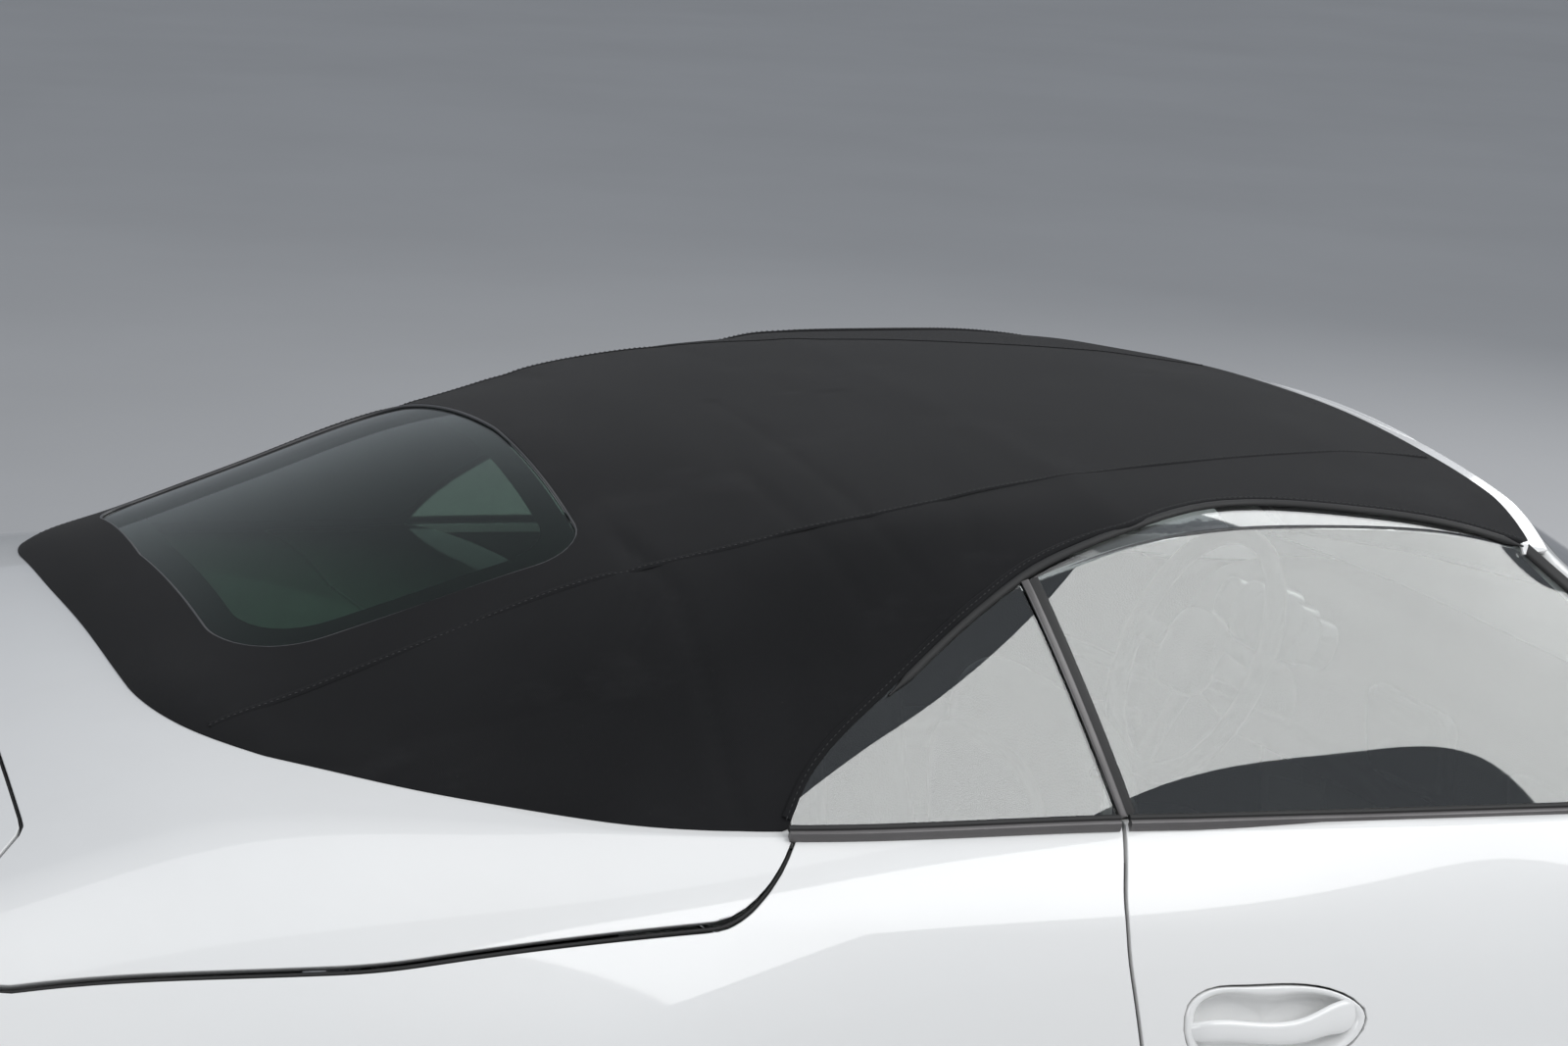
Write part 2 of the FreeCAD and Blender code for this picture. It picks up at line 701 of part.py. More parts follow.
def screen_frame_shape():
    """Both pillars and the header, in one frame round the glass."""
    frame = screen_solid(0, 30, 0, 0.0, 1.0)
    frame = frame.cut(screen_solid(-60, 200, PILLAR, 0.06, 0.9)).cut(deck)
    return largest(frame)


def screen_shape():
    """The windscreen's glass, in the frame's opening."""
    glass = screen_solid(4, s.screen_wall, PILLAR + s.seam_gap, 0.061, 0.899)
    return largest(glass.cut(deck))


DIVIDER = [(REAR + 725, 850), (REAR + 640, 1240)]


def side_glass(points):
    """Left side glass within a side view outline."""
    glass = glass_shell.common(side_prism(points, 0, FAR)).cut(deck)
    glass = glass.cut(side_prism(HEM, 0, FAR, s.seam_gap))
    return largest(glass.cut(screen_solid(-3, 40, -3, -0.05, 1.05)))


PILLAR_FOOT = FRONT - 660
DOOR_GLASS = [
    (DIVIDER[0][0] + 14, DIVIDER[0][1], 0),
    (DIVIDER[1][0] + 14, DIVIDER[1][1] - 20, 0),
    (FRONT - 1518, 1214, 300),
    (FRONT - 1266, 1222, 200),
    (HEADER_CORNER_X - 12, 1176, 30),
    (PILLAR_FOOT - 40, 900, 0),
    (PILLAR_FOOT - 40, 850, 0),
]
QUARTER_GLASS = [
    (DIVIDER[0][0] - 10, DIVIDER[0][1], 0),
    (DIVIDER[1][0] - 2, DIVIDER[1][1] - 60, 20),
    (REAR + 530, 1108, 150),
    (REAR + 345, 944, 10),
    (REAR + 345, 850, 0),
]


# Cabin and structure.
TUNNEL_FOOT, TUNNEL_TOP, FLOOR_HALF = 115, 320, 716.5 * WIDE


def floor_shape():
    """Flat floor between the sills with its middle tunnel."""
    plate = box(CABIN_REAR, BULKHEAD_X, -FLOOR_HALF, FLOOR_HALF, s.floor_bottom,
                s.floor_bottom + s.floor_wall)
    tunnel = rear_prism([(-TUNNEL_FOOT, 170, 0), (-85, TUNNEL_TOP, 40), (85, TUNNEL_TOP, 40),
                         (TUNNEL_FOOT, 170, 0)], CABIN_REAR, BULKHEAD_X)
    return plate.fuse(tunnel)


BEAM_X = NOSE - 175
TUB_BOTTOM = 305


def front_structure_shape():
    """Luggage tub between the front wheels, with the beam behind the bumper."""
    under = body_inner.translated(V(0, 0, -s.seam_gap))
    tub = under.common(box(BULKHEAD_X + 18, BEAM_X - 90, -430, 430, TUB_BOTTOM, FAR))
    tub = tub.cut(box(BULKHEAD_X + 33, BEAM_X - 105, -415, 415, TUB_BOTTOM + 15, FAR))
    beam = body_inner.common(box(BEAM_X - 50, BEAM_X, -FAR, FAR, 430, 520))
    arms = box(BEAM_X - 91, BEAM_X - 49, 250, 330, 430, 520)
    return joined([tub, beam, arms, other_side(arms)])


WALL_FOOT, WALL_HEAD = (REAR + 215, 410), (REAR + 180, 905)


def wall_x(z):
    """X of the rear wall's front face at a height, with a soft neighbour's clearance."""
    share = (z - WALL_FOOT[1]) / (WALL_HEAD[1] - WALL_FOOT[1])
    return WALL_FOOT[0] + share * (WALL_HEAD[0] - WALL_FOOT[0]) + s.seam_gap


MEMBER_Y = 500
REAR_PROFILE = [
    (CABIN_REAR, s.floor_bottom, 0), (CABIN_REAR, 410, 0), WALL_FOOT + (0,), WALL_HEAD + (20,),
    (REAR - 6, 905, 0), (REAR - 6, 889, 0), (REAR + 163, 889, 10), (REAR + 198, 394, 10),
    (CABIN_REAR - 16, 394, 10), (CABIN_REAR - 16, s.floor_bottom, 0)]


def rear_structure_shape():
    """Stepped wall behind the cabin, two side members and the beam behind the bumper."""
    wall = side_prism(REAR_PROFILE, -560, 560)
    low = body_inner.common(box(CABIN_REAR - 16, CABIN_REAR, -FAR, FAR, s.floor_bottom + 4, 394))
    web = body_inner.common(box(REAR - 20, REAR - 4, -560, 560, 890, FAR))
    under = body_inner.translated(V(0, 0, -s.seam_gap))
    outer = MEMBER_Y + 16
    member = under.common(box(TAIL + 120, REAR + 185, MEMBER_Y, outer, 482, 700))
    member = member.fuse(under.common(box(TAIL + 120, REAR - 470, MEMBER_Y, outer, 640, FAR)))
    beam = body_inner.common(box(TAIL + 104, TAIL + 124, -FAR, FAR, 430, 560))
    return largest(joined([wall, low, web, member, other_side(member), beam]))


def engine_shape():
    """Engine behind the rear axle and gearbox ahead of it, as plain blocks."""
    block = box(REAR - 780, REAR - 160, -385, 385, 270, 610)
    gearbox = box(REAR - 162, REAR + 170, -140, 140, 230, 460)
    return block.fuse(gearbox)


TIP_Y, TIP_Z, TIP_RADIUS = 440, 290, 46


def exhaust_shape():
    """Cross silencer with a pipe end on each side."""
    silencer = rear_prism([(-480, 262, 60), (-480, 420, 60), (480, 420, 60), (480, 262, 60)],
                          REAR - 960, REAR - 780 - s.seam_gap)
    parts = [silencer]
    for side in (-1, 1):
        outer = Part.makeCylinder(TIP_RADIUS, 200, V(TAIL + 30, side * TIP_Y, TIP_Z + 20), V(1, 0, 0))
        inner = Part.makeCylinder(TIP_RADIUS - 4, 150, V(TAIL + 29, side * TIP_Y, TIP_Z + 20), V(1, 0, 0))
        parts.append(outer.cut(inner))
    return joined(parts)


def tip_spaces():
    """Cut-outs in the rear bumper round the pipe ends."""
    left = Part.makeCylinder(TIP_RADIUS + 10, 400, V(TAIL - 50, TIP_Y, TIP_Z + 20), V(1, 0, 0))
    left = left.fuse(box(TAIL - 50, TAIL + 350, TIP_Y - TIP_RADIUS - 10,
                         TIP_Y + TIP_RADIUS + 10, 0, TIP_Z + 20))
    return left.fuse(other_side(left))


KINGPIN_Y = s.front_track / 2 - 40
DISC_IN = -12
UPRIGHT_BOTTOM, UPRIGHT_TOP = -125, 125


def upright_shape(axle_x, wheel_y, wheel_z):
    """Left wheel carrier: post, spindle and the brake's caliper round the disc."""
    y_in = wheel_y - 40 - 26
    post = Part.makeCylinder(24, UPRIGHT_TOP - UPRIGHT_BOTTOM,
                             V(axle_x, wheel_y - 40, wheel_z + UPRIGHT_BOTTOM))
    plate = box(axle_x - 62, axle_x + 50, y_in, wheel_y - 24, wheel_z - 60, wheel_z + 60)
    spindle = Part.makeCylinder(s.spindle_radius, 100, V(axle_x, wheel_y - 30, wheel_z), V(0, 1, 0))
    face_in = wheel_y + DISC_IN - 20
    face_out = wheel_y + DISC_IN + s.disc_thickness + 20
    ring = Part.makeCylinder(s.disc_radius + 26, face_out - face_in, V(axle_x, face_in, wheel_z),
                             V(0, 1, 0))
    hole = Part.makeCylinder(95, face_out - face_in, V(axle_x, face_in, wheel_z), V(0, 1, 0))
    slot = Part.makeCylinder(s.disc_radius + 3, s.disc_thickness + 4,
                             V(axle_x, wheel_y + DISC_IN - 2, wheel_z), V(0, 1, 0))
    sector = box(axle_x - 260, axle_x - 80, face_in, face_out, wheel_z - 85, wheel_z + 85)
    caliper = ring.cut(hole).common(sector).cut(slot)
    arm = box(axle_x - 130, axle_x - 40, face_in, face_in + 14, wheel_z - 50, wheel_z + 50)
    return joined([post, plate, spindle, caliper, arm])


def arm_shape(axle_x, wheel_y, z, spread, inner_y):
    """Left wishbone: two legs that meet in the joint's cup beside the upright."""
    cup = Part.makeCylinder(20, 24, V(axle_x, wheel_y - 40, z))
    legs = [cup]
    for side in (-1, 1):
        start = V(axle_x, wheel_y - 40, z + 12)
        end = V(axle_x + side * spread, inner_y, z + 12)
        legs.append(Part.makeCylinder(10, (end - start).Length, start, end - start))
    return joined(legs)


def front_axle_shape():
    """Subframe and both pairs of wishbones."""
    frame = box(FRONT - 150, FRONT + 150, -400, 400, 168, 214.7)
    tower = box(FRONT - 120, FRONT + 120, 431, 447, 300, 560)
    foot = box(FRONT - 120, FRONT + 120, 380, 447, 190, TUB_BOTTOM)
    low = arm_shape(FRONT, s.front_track / 2, s.front_tyre_radius + UPRIGHT_BOTTOM - 24.3, 110, 390)
    high = arm_shape(FRONT, s.front_track / 2, s.front_tyre_radius + UPRIGHT_TOP + 0.3, 90, 440)
    parts = [frame]
    for part in (tower, foot, low, high):
        parts += [part, other_side(part)]
    return joined(parts)


def rear_axle_shape():
    """Subframe, wishbones and the fixed rear wheel carriers."""
    y = s.rear_track / 2
    frame = box(REAR - 150, REAR + 150, -440, 440, 175, 229.7)
    foot = box(REAR - 110, REAR + 110, 420, 440, 200, 500)
    seat = box(REAR - 110, REAR + 110, 420, MEMBER_Y - s.seam_gap, 484, 500)
    low = arm_shape(REAR, y, s.rear_tyre_radius + UPRIGHT_BOTTOM - 20, 100, 430)
    high = arm_shape(REAR, y, s.rear_tyre_radius + UPRIGHT_TOP - 4, 90, 430)
    upright = upright_shape(REAR, y, s.rear_tyre_radius)
    parts = [frame]
    for part in (foot, seat, low, high, upright):
        parts += [part, other_side(part)]
    return joined(parts)


SEAT_Y = 370
CUSHION = [(-190, 250, 40), (330, 290, 60), (330, 400, 50), (200, 405, 0), (-150, 345, 30)]
SEAT_BACK = [(-215, 300, 30), (-90, 340, 20), (-190, 800, 120), (-270, 1010, 30),
             (-350, 1000, 30), (-330, 780, 200)]
BENCH_BASE_TOP = 402
BENCH = [(wall_x(411), 411, 5), (CABIN_REAR, 411, 0), (CABIN_REAR + 40, BENCH_BASE_TOP + 0.3, 0),
         (CABIN_REAR + 140, BENCH_BASE_TOP + 0.3, 20), (CABIN_REAR + 155, 470, 30),
         (CABIN_REAR, 500, 60), (wall_x(495), 495, 10)]
BENCH_BACK = [(wall_x(503), 503, 5), (CABIN_REAR - 60, 506, 25), (CABIN_REAR - 125, 870, 30),
              (wall_x(880), 880, 10)]


def seats_shape():
    """Both front seats: mounting rails, cushion and back."""
    solids = []
    for side in (-1, 1):
        y = side * SEAT_Y
        rails = box(-120, 240, y - 180, y + 180, s.floor_bottom + s.floor_wall, 300)
        cushion = side_prism(CUSHION, y - 250, y + 250)
        back = side_prism(SEAT_BACK, y - 235, y + 235)
        space = side_prism(CUSHION, y - 300, y + 300, s.seam_gap)
        solids += [rails.fuse(cushion), largest(back.cut(space))]
    return group(solids)


def bench_shape():
    """Rear seats: a base, and one cushion and one back for each side."""
    solids = [box(CABIN_REAR + s.seam_gap, CABIN_REAR + 120, -520, 520,
                  s.floor_bottom + s.floor_wall, BENCH_BASE_TOP).cut(
                  box(CABIN_REAR, FRONT, -TUNNEL_FOOT, TUNNEL_FOOT, 0, TUNNEL_TOP + 5))]
    for side in (-1, 1):
        low = min(side * 60, side * 480)
        solids.append(side_prism(BENCH, low, low + 420))
        solids.append(side_prism(BENCH_BACK, low, low + 420))
    return group(solids)


DASH = [(BULKHEAD_X - 0.3, 640, 0), (BULKHEAD_X - 0.3, 850, 0), (FRONT - 600, 880, 60),
        (FRONT - 790, 850, 70), (FRONT - 820, 700, 60), (FRONT - 700, 560, 60)]


def dashboard_shape():
    """Dashboard across the cabin, under the scuttle."""
    dash = side_prism(DASH, -690 * WIDE, 690 * WIDE).cut(cowl_region_low)
    return largest(dash)


cowl_region_low = skin.translated(V(0, 0, -s.seam_gap))


def steering_wheel_shape():
    """Steering wheel on its column, left-hand drive."""
    ring = Part.makeTorus(182, 15)
    hub = Part.makeCylinder(60, 36, V(0, 0, -18))
    spokes = [box(-184, 184, -16, 16, -10, 8), box(-16, 16, -184, 0, -10, 8)]
    wheel = joined([ring, hub] + spokes)
    column = Part.makeCylinder(24, 230, V(0, 0, -236))
    whole = wheel.fuse(column)
    whole.rotate(V(0, 0, 0), V(0, 1, 0), -66)
    whole.rotate(V(0, 0, 0), V(1, 0, 0), 0)
    whole.translate(V(FRONT - 960, SEAT_Y, 800))
    return whole.cut(dash_shape)


dash_shape = dashboard_shape()


MIRROR_X, MIRROR_HALF, MIRROR_RADIUS, MIRROR_CUT = FRONT - 705, 104, 66, -19.5


def mirror_shape():
    """Left door mirror: its foot on the door and the oval housing."""
    cap = Part.makeSphere(MIRROR_RADIUS, V(0, 0, 0), V(1, 0, 0), MIRROR_CUT, 90, 360)
    stretch = FreeCAD.Matrix()
    stretch.scale(1, MIRROR_HALF / MIRROR_RADIUS, 1)
    housing = cap.transformGeometry(stretch)
    housing.translate(V(MIRROR_X, 893 * WIDE, 990))
    foot = Part.makeBox(44, 140, 22, V(MIRROR_X - 18, 762 * WIDE, 908))
    foot.rotate(V(MIRROR_X, 762 * WIDE, 908), V(1, 0, 0), 24)
    return largest(housing.fuse(foot).cut(deck).cut(glass_outer.translated(V(0, s.seam_gap, 0))))


def wheel_sketch(body, plane, points, lift=None):
    """Closed straight outline whose corners are bound to the sheet."""
    sketch = body.newObject("Sketcher::SketchObject", "Outline")
    origin = [item for item in body.Origin.OriginFeatures if item.Role == plane][0]
    sketch.AttachmentSupport = (origin, [""])
    sketch.MapMode = "FlatFace"
    if lift:
        sketch.setExpression("AttachmentOffset.Base.z", lift)
    corners = [(value(u), value(v)) for u, v in points]
    count = len(corners)
    for i in range(count):
        a = corners[i]
        b = corners[(i + 1) % count]
        sketch.addGeometry(Part.LineSegment(V(a[0], a[1], 0), V(b[0], b[1], 0)))
    for i in range(count):
        sketch.addConstraint(Sketcher.Constraint("Coincident", i, 2, (i + 1) % count, 1))
    for i, (u, v) in enumerate(points):
        at = sketch.addConstraint(Sketcher.Constraint("DistanceX", -1, 1, i, 1, corners[i][0]))
        sketch.setExpression("Constraints[%d]" % at, u)
        at = sketch.addConstraint(Sketcher.Constraint("DistanceY", -1, 1, i, 1, corners[i][1]))
        sketch.setExpression("Constraints[%d]" % at, v)
    return sketch


def value(text):
    """A sheet expression's number."""
    return float(sheet.evalExpression(text))


def revolved(body, sketch):
    """Turn an outline round the wheel's axle, the Y axis."""
    turn = body.newObject("PartDesign::Revolution", "Turned")
    turn.Profile = sketch
    turn.ReferenceAxis = (sketch, ["V_Axis"])
    turn.Angle = 360
    return turn


def place_wheel(body, x, y, z, side):
    """Outer face outwards, on the axle."""
    turn = FreeCAD.Rotation(V(0, 0, 1), 0 if side > 0 else 180)
    body.Placement = FreeCAD.Placement(V(x, side * y, z), turn)


def make_rim(label, width, x, y, z, side):
    """Hub with brake disc, spokes and barrel, in one wheel."""
    body = doc.addObject("PartDesign::Body", label)
    body.Label = label
    half = "(%s / 2 - 10)" % width
    bore = "Sizes.spindle_radius + Sizes.spindle_clearance"
    disc_in = str(DISC_IN)
    disc_out = "Sizes.disc_thickness + (%d)" % DISC_IN
    hub = [(bore, disc_in), ("Sizes.disc_radius", disc_in), ("Sizes.disc_radius", disc_out),
           ("Sizes.hub_radius", disc_out), ("Sizes.hub_radius", half + " - 22"),
           (bore, half + " - 22")]
    revolved(body, wheel_sketch(body, "XY_Plane", hub))
    spoke = [("Sizes.hub_radius - 12", "-Sizes.spoke_width / 2"),
             ("Sizes.rim_radius - 10", "-Sizes.spoke_width / 2 + 6"),
             ("Sizes.rim_radius - 10", "Sizes.spoke_width / 2 - 6"),
             ("Sizes.hub_radius - 12", "Sizes.spoke_width / 2")]
    sketch = wheel_sketch(body, "XZ_Plane", spoke, "-(%s - 18 - Sizes.spoke_depth)" % half)
    pad = body.newObject("PartDesign::Pad", "Spoke")
    pad.Profile = sketch
    pad.setExpression("Length", "Sizes.spoke_depth")
    pad.Reversed = True
    doc.recompute()
    ring = body.newObject("PartDesign::PolarPattern", "Spokes")
    ring.Originals = [pad]
    axis = [item for item in body.Origin.OriginFeatures if item.Role == "Y_Axis"][0]
    ring.Axis = (axis, [""])
    ring.Angle = 360
    ring.setExpression("Occurrences", "Sizes.spoke_count")
    body.Tip = ring
    doc.recompute()
    seat = "Sizes.rim_radius"
    well = "Sizes.rim_radius - 20"
    wall = "Sizes.rim_wall"
    barrel = [
        (seat + " + 9", half), (seat + " + 9", half + " - 7"), (seat, half + " - 9"),
        (seat, half + " - 42"), (well, half + " - 62"), (well, "-" + half + " + 48"),
        (seat, "-" + half + " + 28"), (seat, "-" + half + " + 9"),
        (seat + " + 9", "-" + half + " + 7"), (seat + " + 9", "-" + half),
        (seat + " - " + wall, "-" + half), (seat + " - " + wall, "-" + half + " + 24"),
        (well + " - " + wall, "-" + half + " + 44"), (well + " - " + wall, half + " - 66"),
        (seat + " - " + wall, half + " - 46"), (seat + " - " + wall, half)]
    revolved(body, wheel_sketch(body, "XY_Plane", barrel))
    place_wheel(body, x, y, z, side)
    doc.recompute()
    sub_parts.append(body)


def make_tyre(label, width, radius, x, y, z, side):
    """Tyre with sloping walls and a flat tread."""
    body = doc.addObject("PartDesign::Body", label)
    body.Label = label
    half = "(%s / 2)" % width
    seat = "Sizes.rim_radius"
    profile = [
        (seat + " + 0.1", half + " - 20"), (seat + " + 9.1", half + " - 18.5"),
        (seat + " + 9.1", half + " - 6"), (seat + " + 30", half),
        (radius + " - 26", half + " - 4"), (radius + " - 7", half + " - 16"),
        (radius, half + " - 36"), (radius, "-" + half + " + 36"),
        (radius + " - 7", "-" + half + " + 16"), (radius + " - 26", "-" + half + " + 4"),
        (seat + " + 30", "-" + half), (seat + " + 9.1", "-" + half + " + 6"),
        (seat + " + 9.1", "-" + half + " + 18.5"), (seat + " + 0.1", "-" + half + " + 20")]
    revolved(body, wheel_sketch(body, "XY_Plane", profile))
    place_wheel(body, x, y, z, side)
    doc.recompute()
    sub_parts.append(body)


# Build every sub-part.
bonnet = bonnet_shape()
front_bumper = front_bumper_shape()
rear_bumper = rear_bumper_shape().cut(tip_spaces())
front_wing = front_wing_shape()
quarter = quarter_shape()
door = door_shape()
sill = sill_shape()
lamp = largest(skin.common(lamp_cylinder(0)).cut(bonnet_space))
tail_lamp = largest(skin.common(tail_lamp_prism(0)).cut(engine_lid_space).cut(rear_bumper_space))
door_glass = side_glass(DOOR_GLASS)
quarter_glass = side_glass(QUARTER_GLASS)
mirror = mirror_shape()
upright = upright_shape(FRONT, s.front_track / 2, s.front_tyre_radius)

add_shape("front_bumper", front_bumper)
add_shape("rear_bumper", rear_bumper)
add_shape("sills", group([sill, other_side(sill)]))
add_shape("cowl", cowl_shape())
add_shape("bonnet", bonnet)
add_shape("engine_lid", engine_lid_shape())
add_shape("top_compartment_lid", top_lid_shape())
add_shape("soft_top", soft_top_shape())
add_shape("rear_window", rear_window_shape())
add_shape("windscreen_frame", screen_frame_shape())
add_shape("windscreen", screen_shape())
add_shape("headlamps", group([lamp, other_side(lamp)]))
add_shape("tail_lamps", group([tail_lamp, other_side(tail_lamp)]))
add_shape("quarter_glass", group([quarter_glass, other_side(quarter_glass)]))
add_shape("floor_pan", floor_shape())
add_shape("front_structure", front_structure_shape())
add_shape("rear_structure", rear_structure_shape())
add_shape("engine", engine_shape())
add_shape("exhaust", exhaust_shape())
add_shape("front_axle", front_axle_shape())
add_shape("rear_axle", rear_axle_shape())
add_shape("seats", seats_shape())
add_shape("rear_bench", bench_shape())
add_shape("dashboard", dash_shape)
add_shape("steering_wheel", steering_wheel_shape())
for side_name, turn in (("left", lambda shape: shape), ("right", other_side)):
    add_shape("front_wing_" + side_name, turn(front_wing))
    add_shape("quarter_panel_" + side_name, turn(quarter))
    add_shape("door_" + side_name, turn(door))
    add_shape("door_glass_" + side_name, turn(door_glass))
    add_shape("mirror_" + side_name, turn(mirror))
    add_shape("knuckle_" + side_name, turn(upright))
for end, x, track, radius in (
        ("front", FRONT, s.front_track, s.front_tyre_radius),
        ("rear", REAR, s.rear_track, s.rear_tyre_radius)):
    for side_name, side in (("left", 1), ("right", -1)):
        width = "Sizes.%s_tyre_width" % end
        make_rim("rim_%s_%s" % (end, side_name), width, x, track / 2, radius, side)
        make_tyre("tyre_%s_%s" % (end, side_name), width, "Sizes.%s_tyre_radius" % end,
                  x, track / 2, radius, side)

doc.recompute()
for item in doc.Objects:
    if "Invalid" in item.State or "Error" in item.State:
        raise RuntimeError("%s failed: %s" % (item.Label, item.State))
for item in sub_parts:
    if item.Shape.isNull() or not item.Shape.isValid() or not item.Shape.Solids:
        raise RuntimeError("%s has no good shape" % item.Label)
os.makedirs("parts", exist_ok=True)
for item in sub_parts:
    item.Shape.exportStep("parts/%s.step" % item.Label)
print(len(sub_parts), "sub-parts")
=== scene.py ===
import math

import bpy
import numpy as np
from mathutils import Matrix, Vector


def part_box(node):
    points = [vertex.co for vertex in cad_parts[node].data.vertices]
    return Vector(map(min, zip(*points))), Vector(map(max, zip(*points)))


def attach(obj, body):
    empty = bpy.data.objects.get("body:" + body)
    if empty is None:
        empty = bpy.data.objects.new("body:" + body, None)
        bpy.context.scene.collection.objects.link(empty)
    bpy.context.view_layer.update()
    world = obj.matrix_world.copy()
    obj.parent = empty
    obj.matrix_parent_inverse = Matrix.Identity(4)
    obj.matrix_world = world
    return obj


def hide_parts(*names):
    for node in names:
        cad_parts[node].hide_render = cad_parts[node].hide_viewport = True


# %% [markdown]
# A white convertible with its black fabric top up, on a plain pale floor. The packed
# model gives the construction and stays where it is. This file gives the looks: the
# outer skin, the fabric, the glass, the wheels and the cabin are worked out as
# surfaces, and every surface gets a material of its own.

# %% Frame and driving sizes
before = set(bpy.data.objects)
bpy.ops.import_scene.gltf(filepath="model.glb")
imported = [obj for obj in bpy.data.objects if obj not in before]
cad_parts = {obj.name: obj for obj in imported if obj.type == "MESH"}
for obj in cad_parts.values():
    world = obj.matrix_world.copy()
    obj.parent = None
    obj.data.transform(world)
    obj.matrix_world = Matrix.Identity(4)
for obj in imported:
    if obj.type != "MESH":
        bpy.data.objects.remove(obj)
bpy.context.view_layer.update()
MM = 0.001
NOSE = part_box("front_bumper")[1].x
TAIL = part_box("rear_bumper")[0].x


def middle(node):
    """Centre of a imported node's box."""
    low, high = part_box(node)
    return np.array((low + high) / 2)


FRONT = round(float(middle("rim_front_left")[0]), 4)
REAR = round(float(middle("rim_rear_left")[0]), 4)
REFERENCE = {"nose": NOSE, "front": FRONT, "rear": REAR, "tail": TAIL}
print("axles at", FRONT, REAR, "ends at", round(NOSE, 3), round(TAIL, 3))

# %% [markdown]
# Car bodies are drawn with sections: one cut across the car every so often, and a
# smooth skin through all of them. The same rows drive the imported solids, so the skin
# here lies on them. Between two rows each column follows a natural cubic spline, which
# keeps slope and bend continuous, so that reflections run smoothly along the car.

# %% Sections of the body
BODY = [
    ("nose", 0, 285, 440, 300, 468, 285, 490, 200, 500, 503),
    ("nose", -25, 430, 330, 470, 470, 430, 515, 300, 524, 530),
    ("nose", -85, 545, 215, 590, 485, 545, 545, 370, 562, 572),
    ("nose", -165, 640, 185, 690, 500, 640, 572, 420, 592, 606),
    ("nose", -315, 735, 175, 790, 520, 715, 632, 478, 642, 655),
    ("front", 320, 800, 170, 857, 540, 782, 692, 522, 718, 730),
    ("front", 0, 825, 165, 885, 560, 802, 748, 562, 792, 806),
    ("front", -380, 800, 160, 874, 560, 816, 800, 626, 878, 902),
    ("front", -930, 790, 160, 870, 560, 830, 805, 771, 905, 930),
    ("rear", 670, 790, 160, 872, 560, 834, 815, 772, 923, 965),
    ("rear", 300, 808, 162, 888, 562, 832, 842, 762, 929, 1000),
    ("rear", 0, 832, 165, 904, 570, 822, 853, 700, 943, 1030),
    ("rear", -268, 828, 170, 896, 580, 812, 847, 662, 950, 1021),
    ("rear", -530, 815, 175, 884, 590, 804, 830, 688, 902, 960),
    ("tail", 365, 780, 180, 850, 590, 770, 790, 650, 848, 880),
    ("tail", 165, 720, 195, 780, 570, 700, 716, 560, 772, 806),
    ("tail", 85, 670, 240, 712, 550, 642, 655, 520, 700, 740),
    ("tail", 40, 590, 330, 622, 545, 570, 622, 440, 660, 690),
    ("tail", 10, 470, 440, 505, 545, 462, 592, 340, 620, 640),
    ("tail", 0, 410, 500, 430, 545, 410, 566, 300, 590, 602),
]
# Columns: reference, distance from it along X, then half width and height of the
# bottom edge, the widest point, the shoulder and the edge of the lid, and the height
# on the centre line. Millimetres.
GLASSHOUSE = [
    ("front", -640, 757, 884, 575, 1150, 430, 1176, 1192),
    ("front", -960, 773, 890, 590, 1165, 450, 1208, 1230),
    ("front", -1133, 773, 890, 622, 1206, 470, 1233, 1251),
    ("front", -1340, 775, 892, 634, 1226, 490, 1243, 1262),
    ("rear", 770, 776, 892, 640, 1212, 490, 1240, 1266),
    ("rear", 620, 777, 894, 646, 1165, 490, 1231, 1261),
    ("rear", 455, 776, 896, 650, 1110, 485, 1211, 1249),
    ("rear", 300, 774, 896, 640, 1075, 460, 1178, 1234),
    ("rear", 170, 750, 908, 612, 1052, 450, 1146, 1214),
    ("rear", 10, 700, 908, 590, 1012, 450, 1088, 1165),
    ("rear", -150, 660, 890, 556, 988, 440, 1035, 1108),
    ("rear", -270, 600, 870, 505, 962, 330, 1022, 1047),
    ("rear", -350, 540, 850, 430, 912, 300, 955, 975),
]
# Columns: reference, distance, then the base, the rail over the side glass, the seam
# of the roof's middle panel (each Y, Z) and the crown's Z.


def drawn(rows):
    """A table in metres with X in place of reference and distance."""
    return np.array([[REFERENCE[row[0]] + row[1] * MM, *(v * MM for v in row[2:])] for row in rows])


def spline(knots, rows):
    """Natural cubic spline: cubic pieces whose slope and bend agree at each knot."""
    gaps, count = np.diff(knots), len(knots)
    system, target = np.eye(count), np.zeros_like(rows)
    inner = np.arange(1, count - 1)
    system[inner, inner - 1] = gaps[:-1]
    system[inner, inner] = 2 * (gaps[:-1] + gaps[1:])
    system[inner, inner + 1] = gaps[1:]
    target[1:-1] = 6 * np.diff(np.diff(rows, axis=0) / gaps[:, None], axis=0)
    bends = np.linalg.solve(system, target)

    def at(s):
        k = np.clip(np.searchsorted(knots, s, side="right") - 1, 0, count - 2)
        gap, after, before = gaps[k][..., None], (knots[k + 1] - s)[..., None], (s - knots[k])[..., None]
        return ((bends[k] * after**3 + bends[k + 1] * before**3) / (6 * gap)
                + (rows[k] / gap - bends[k] * gap / 6) * after
                + (rows[k + 1] / gap - bends[k + 1] * gap / 6) * before)

    return at


def run_along(line):
    """Distance run along a line of points, from the first, at each of them."""
    return np.concatenate([[0.0], np.cumsum(np.linalg.norm(np.diff(line, axis=0), axis=1))])


def curve_through(spots, count):
    """Points of the natural cubic spline through some spots."""
    knots = run_along(spots)
    return spline(knots, spots)(np.linspace(0, knots[-1], count))


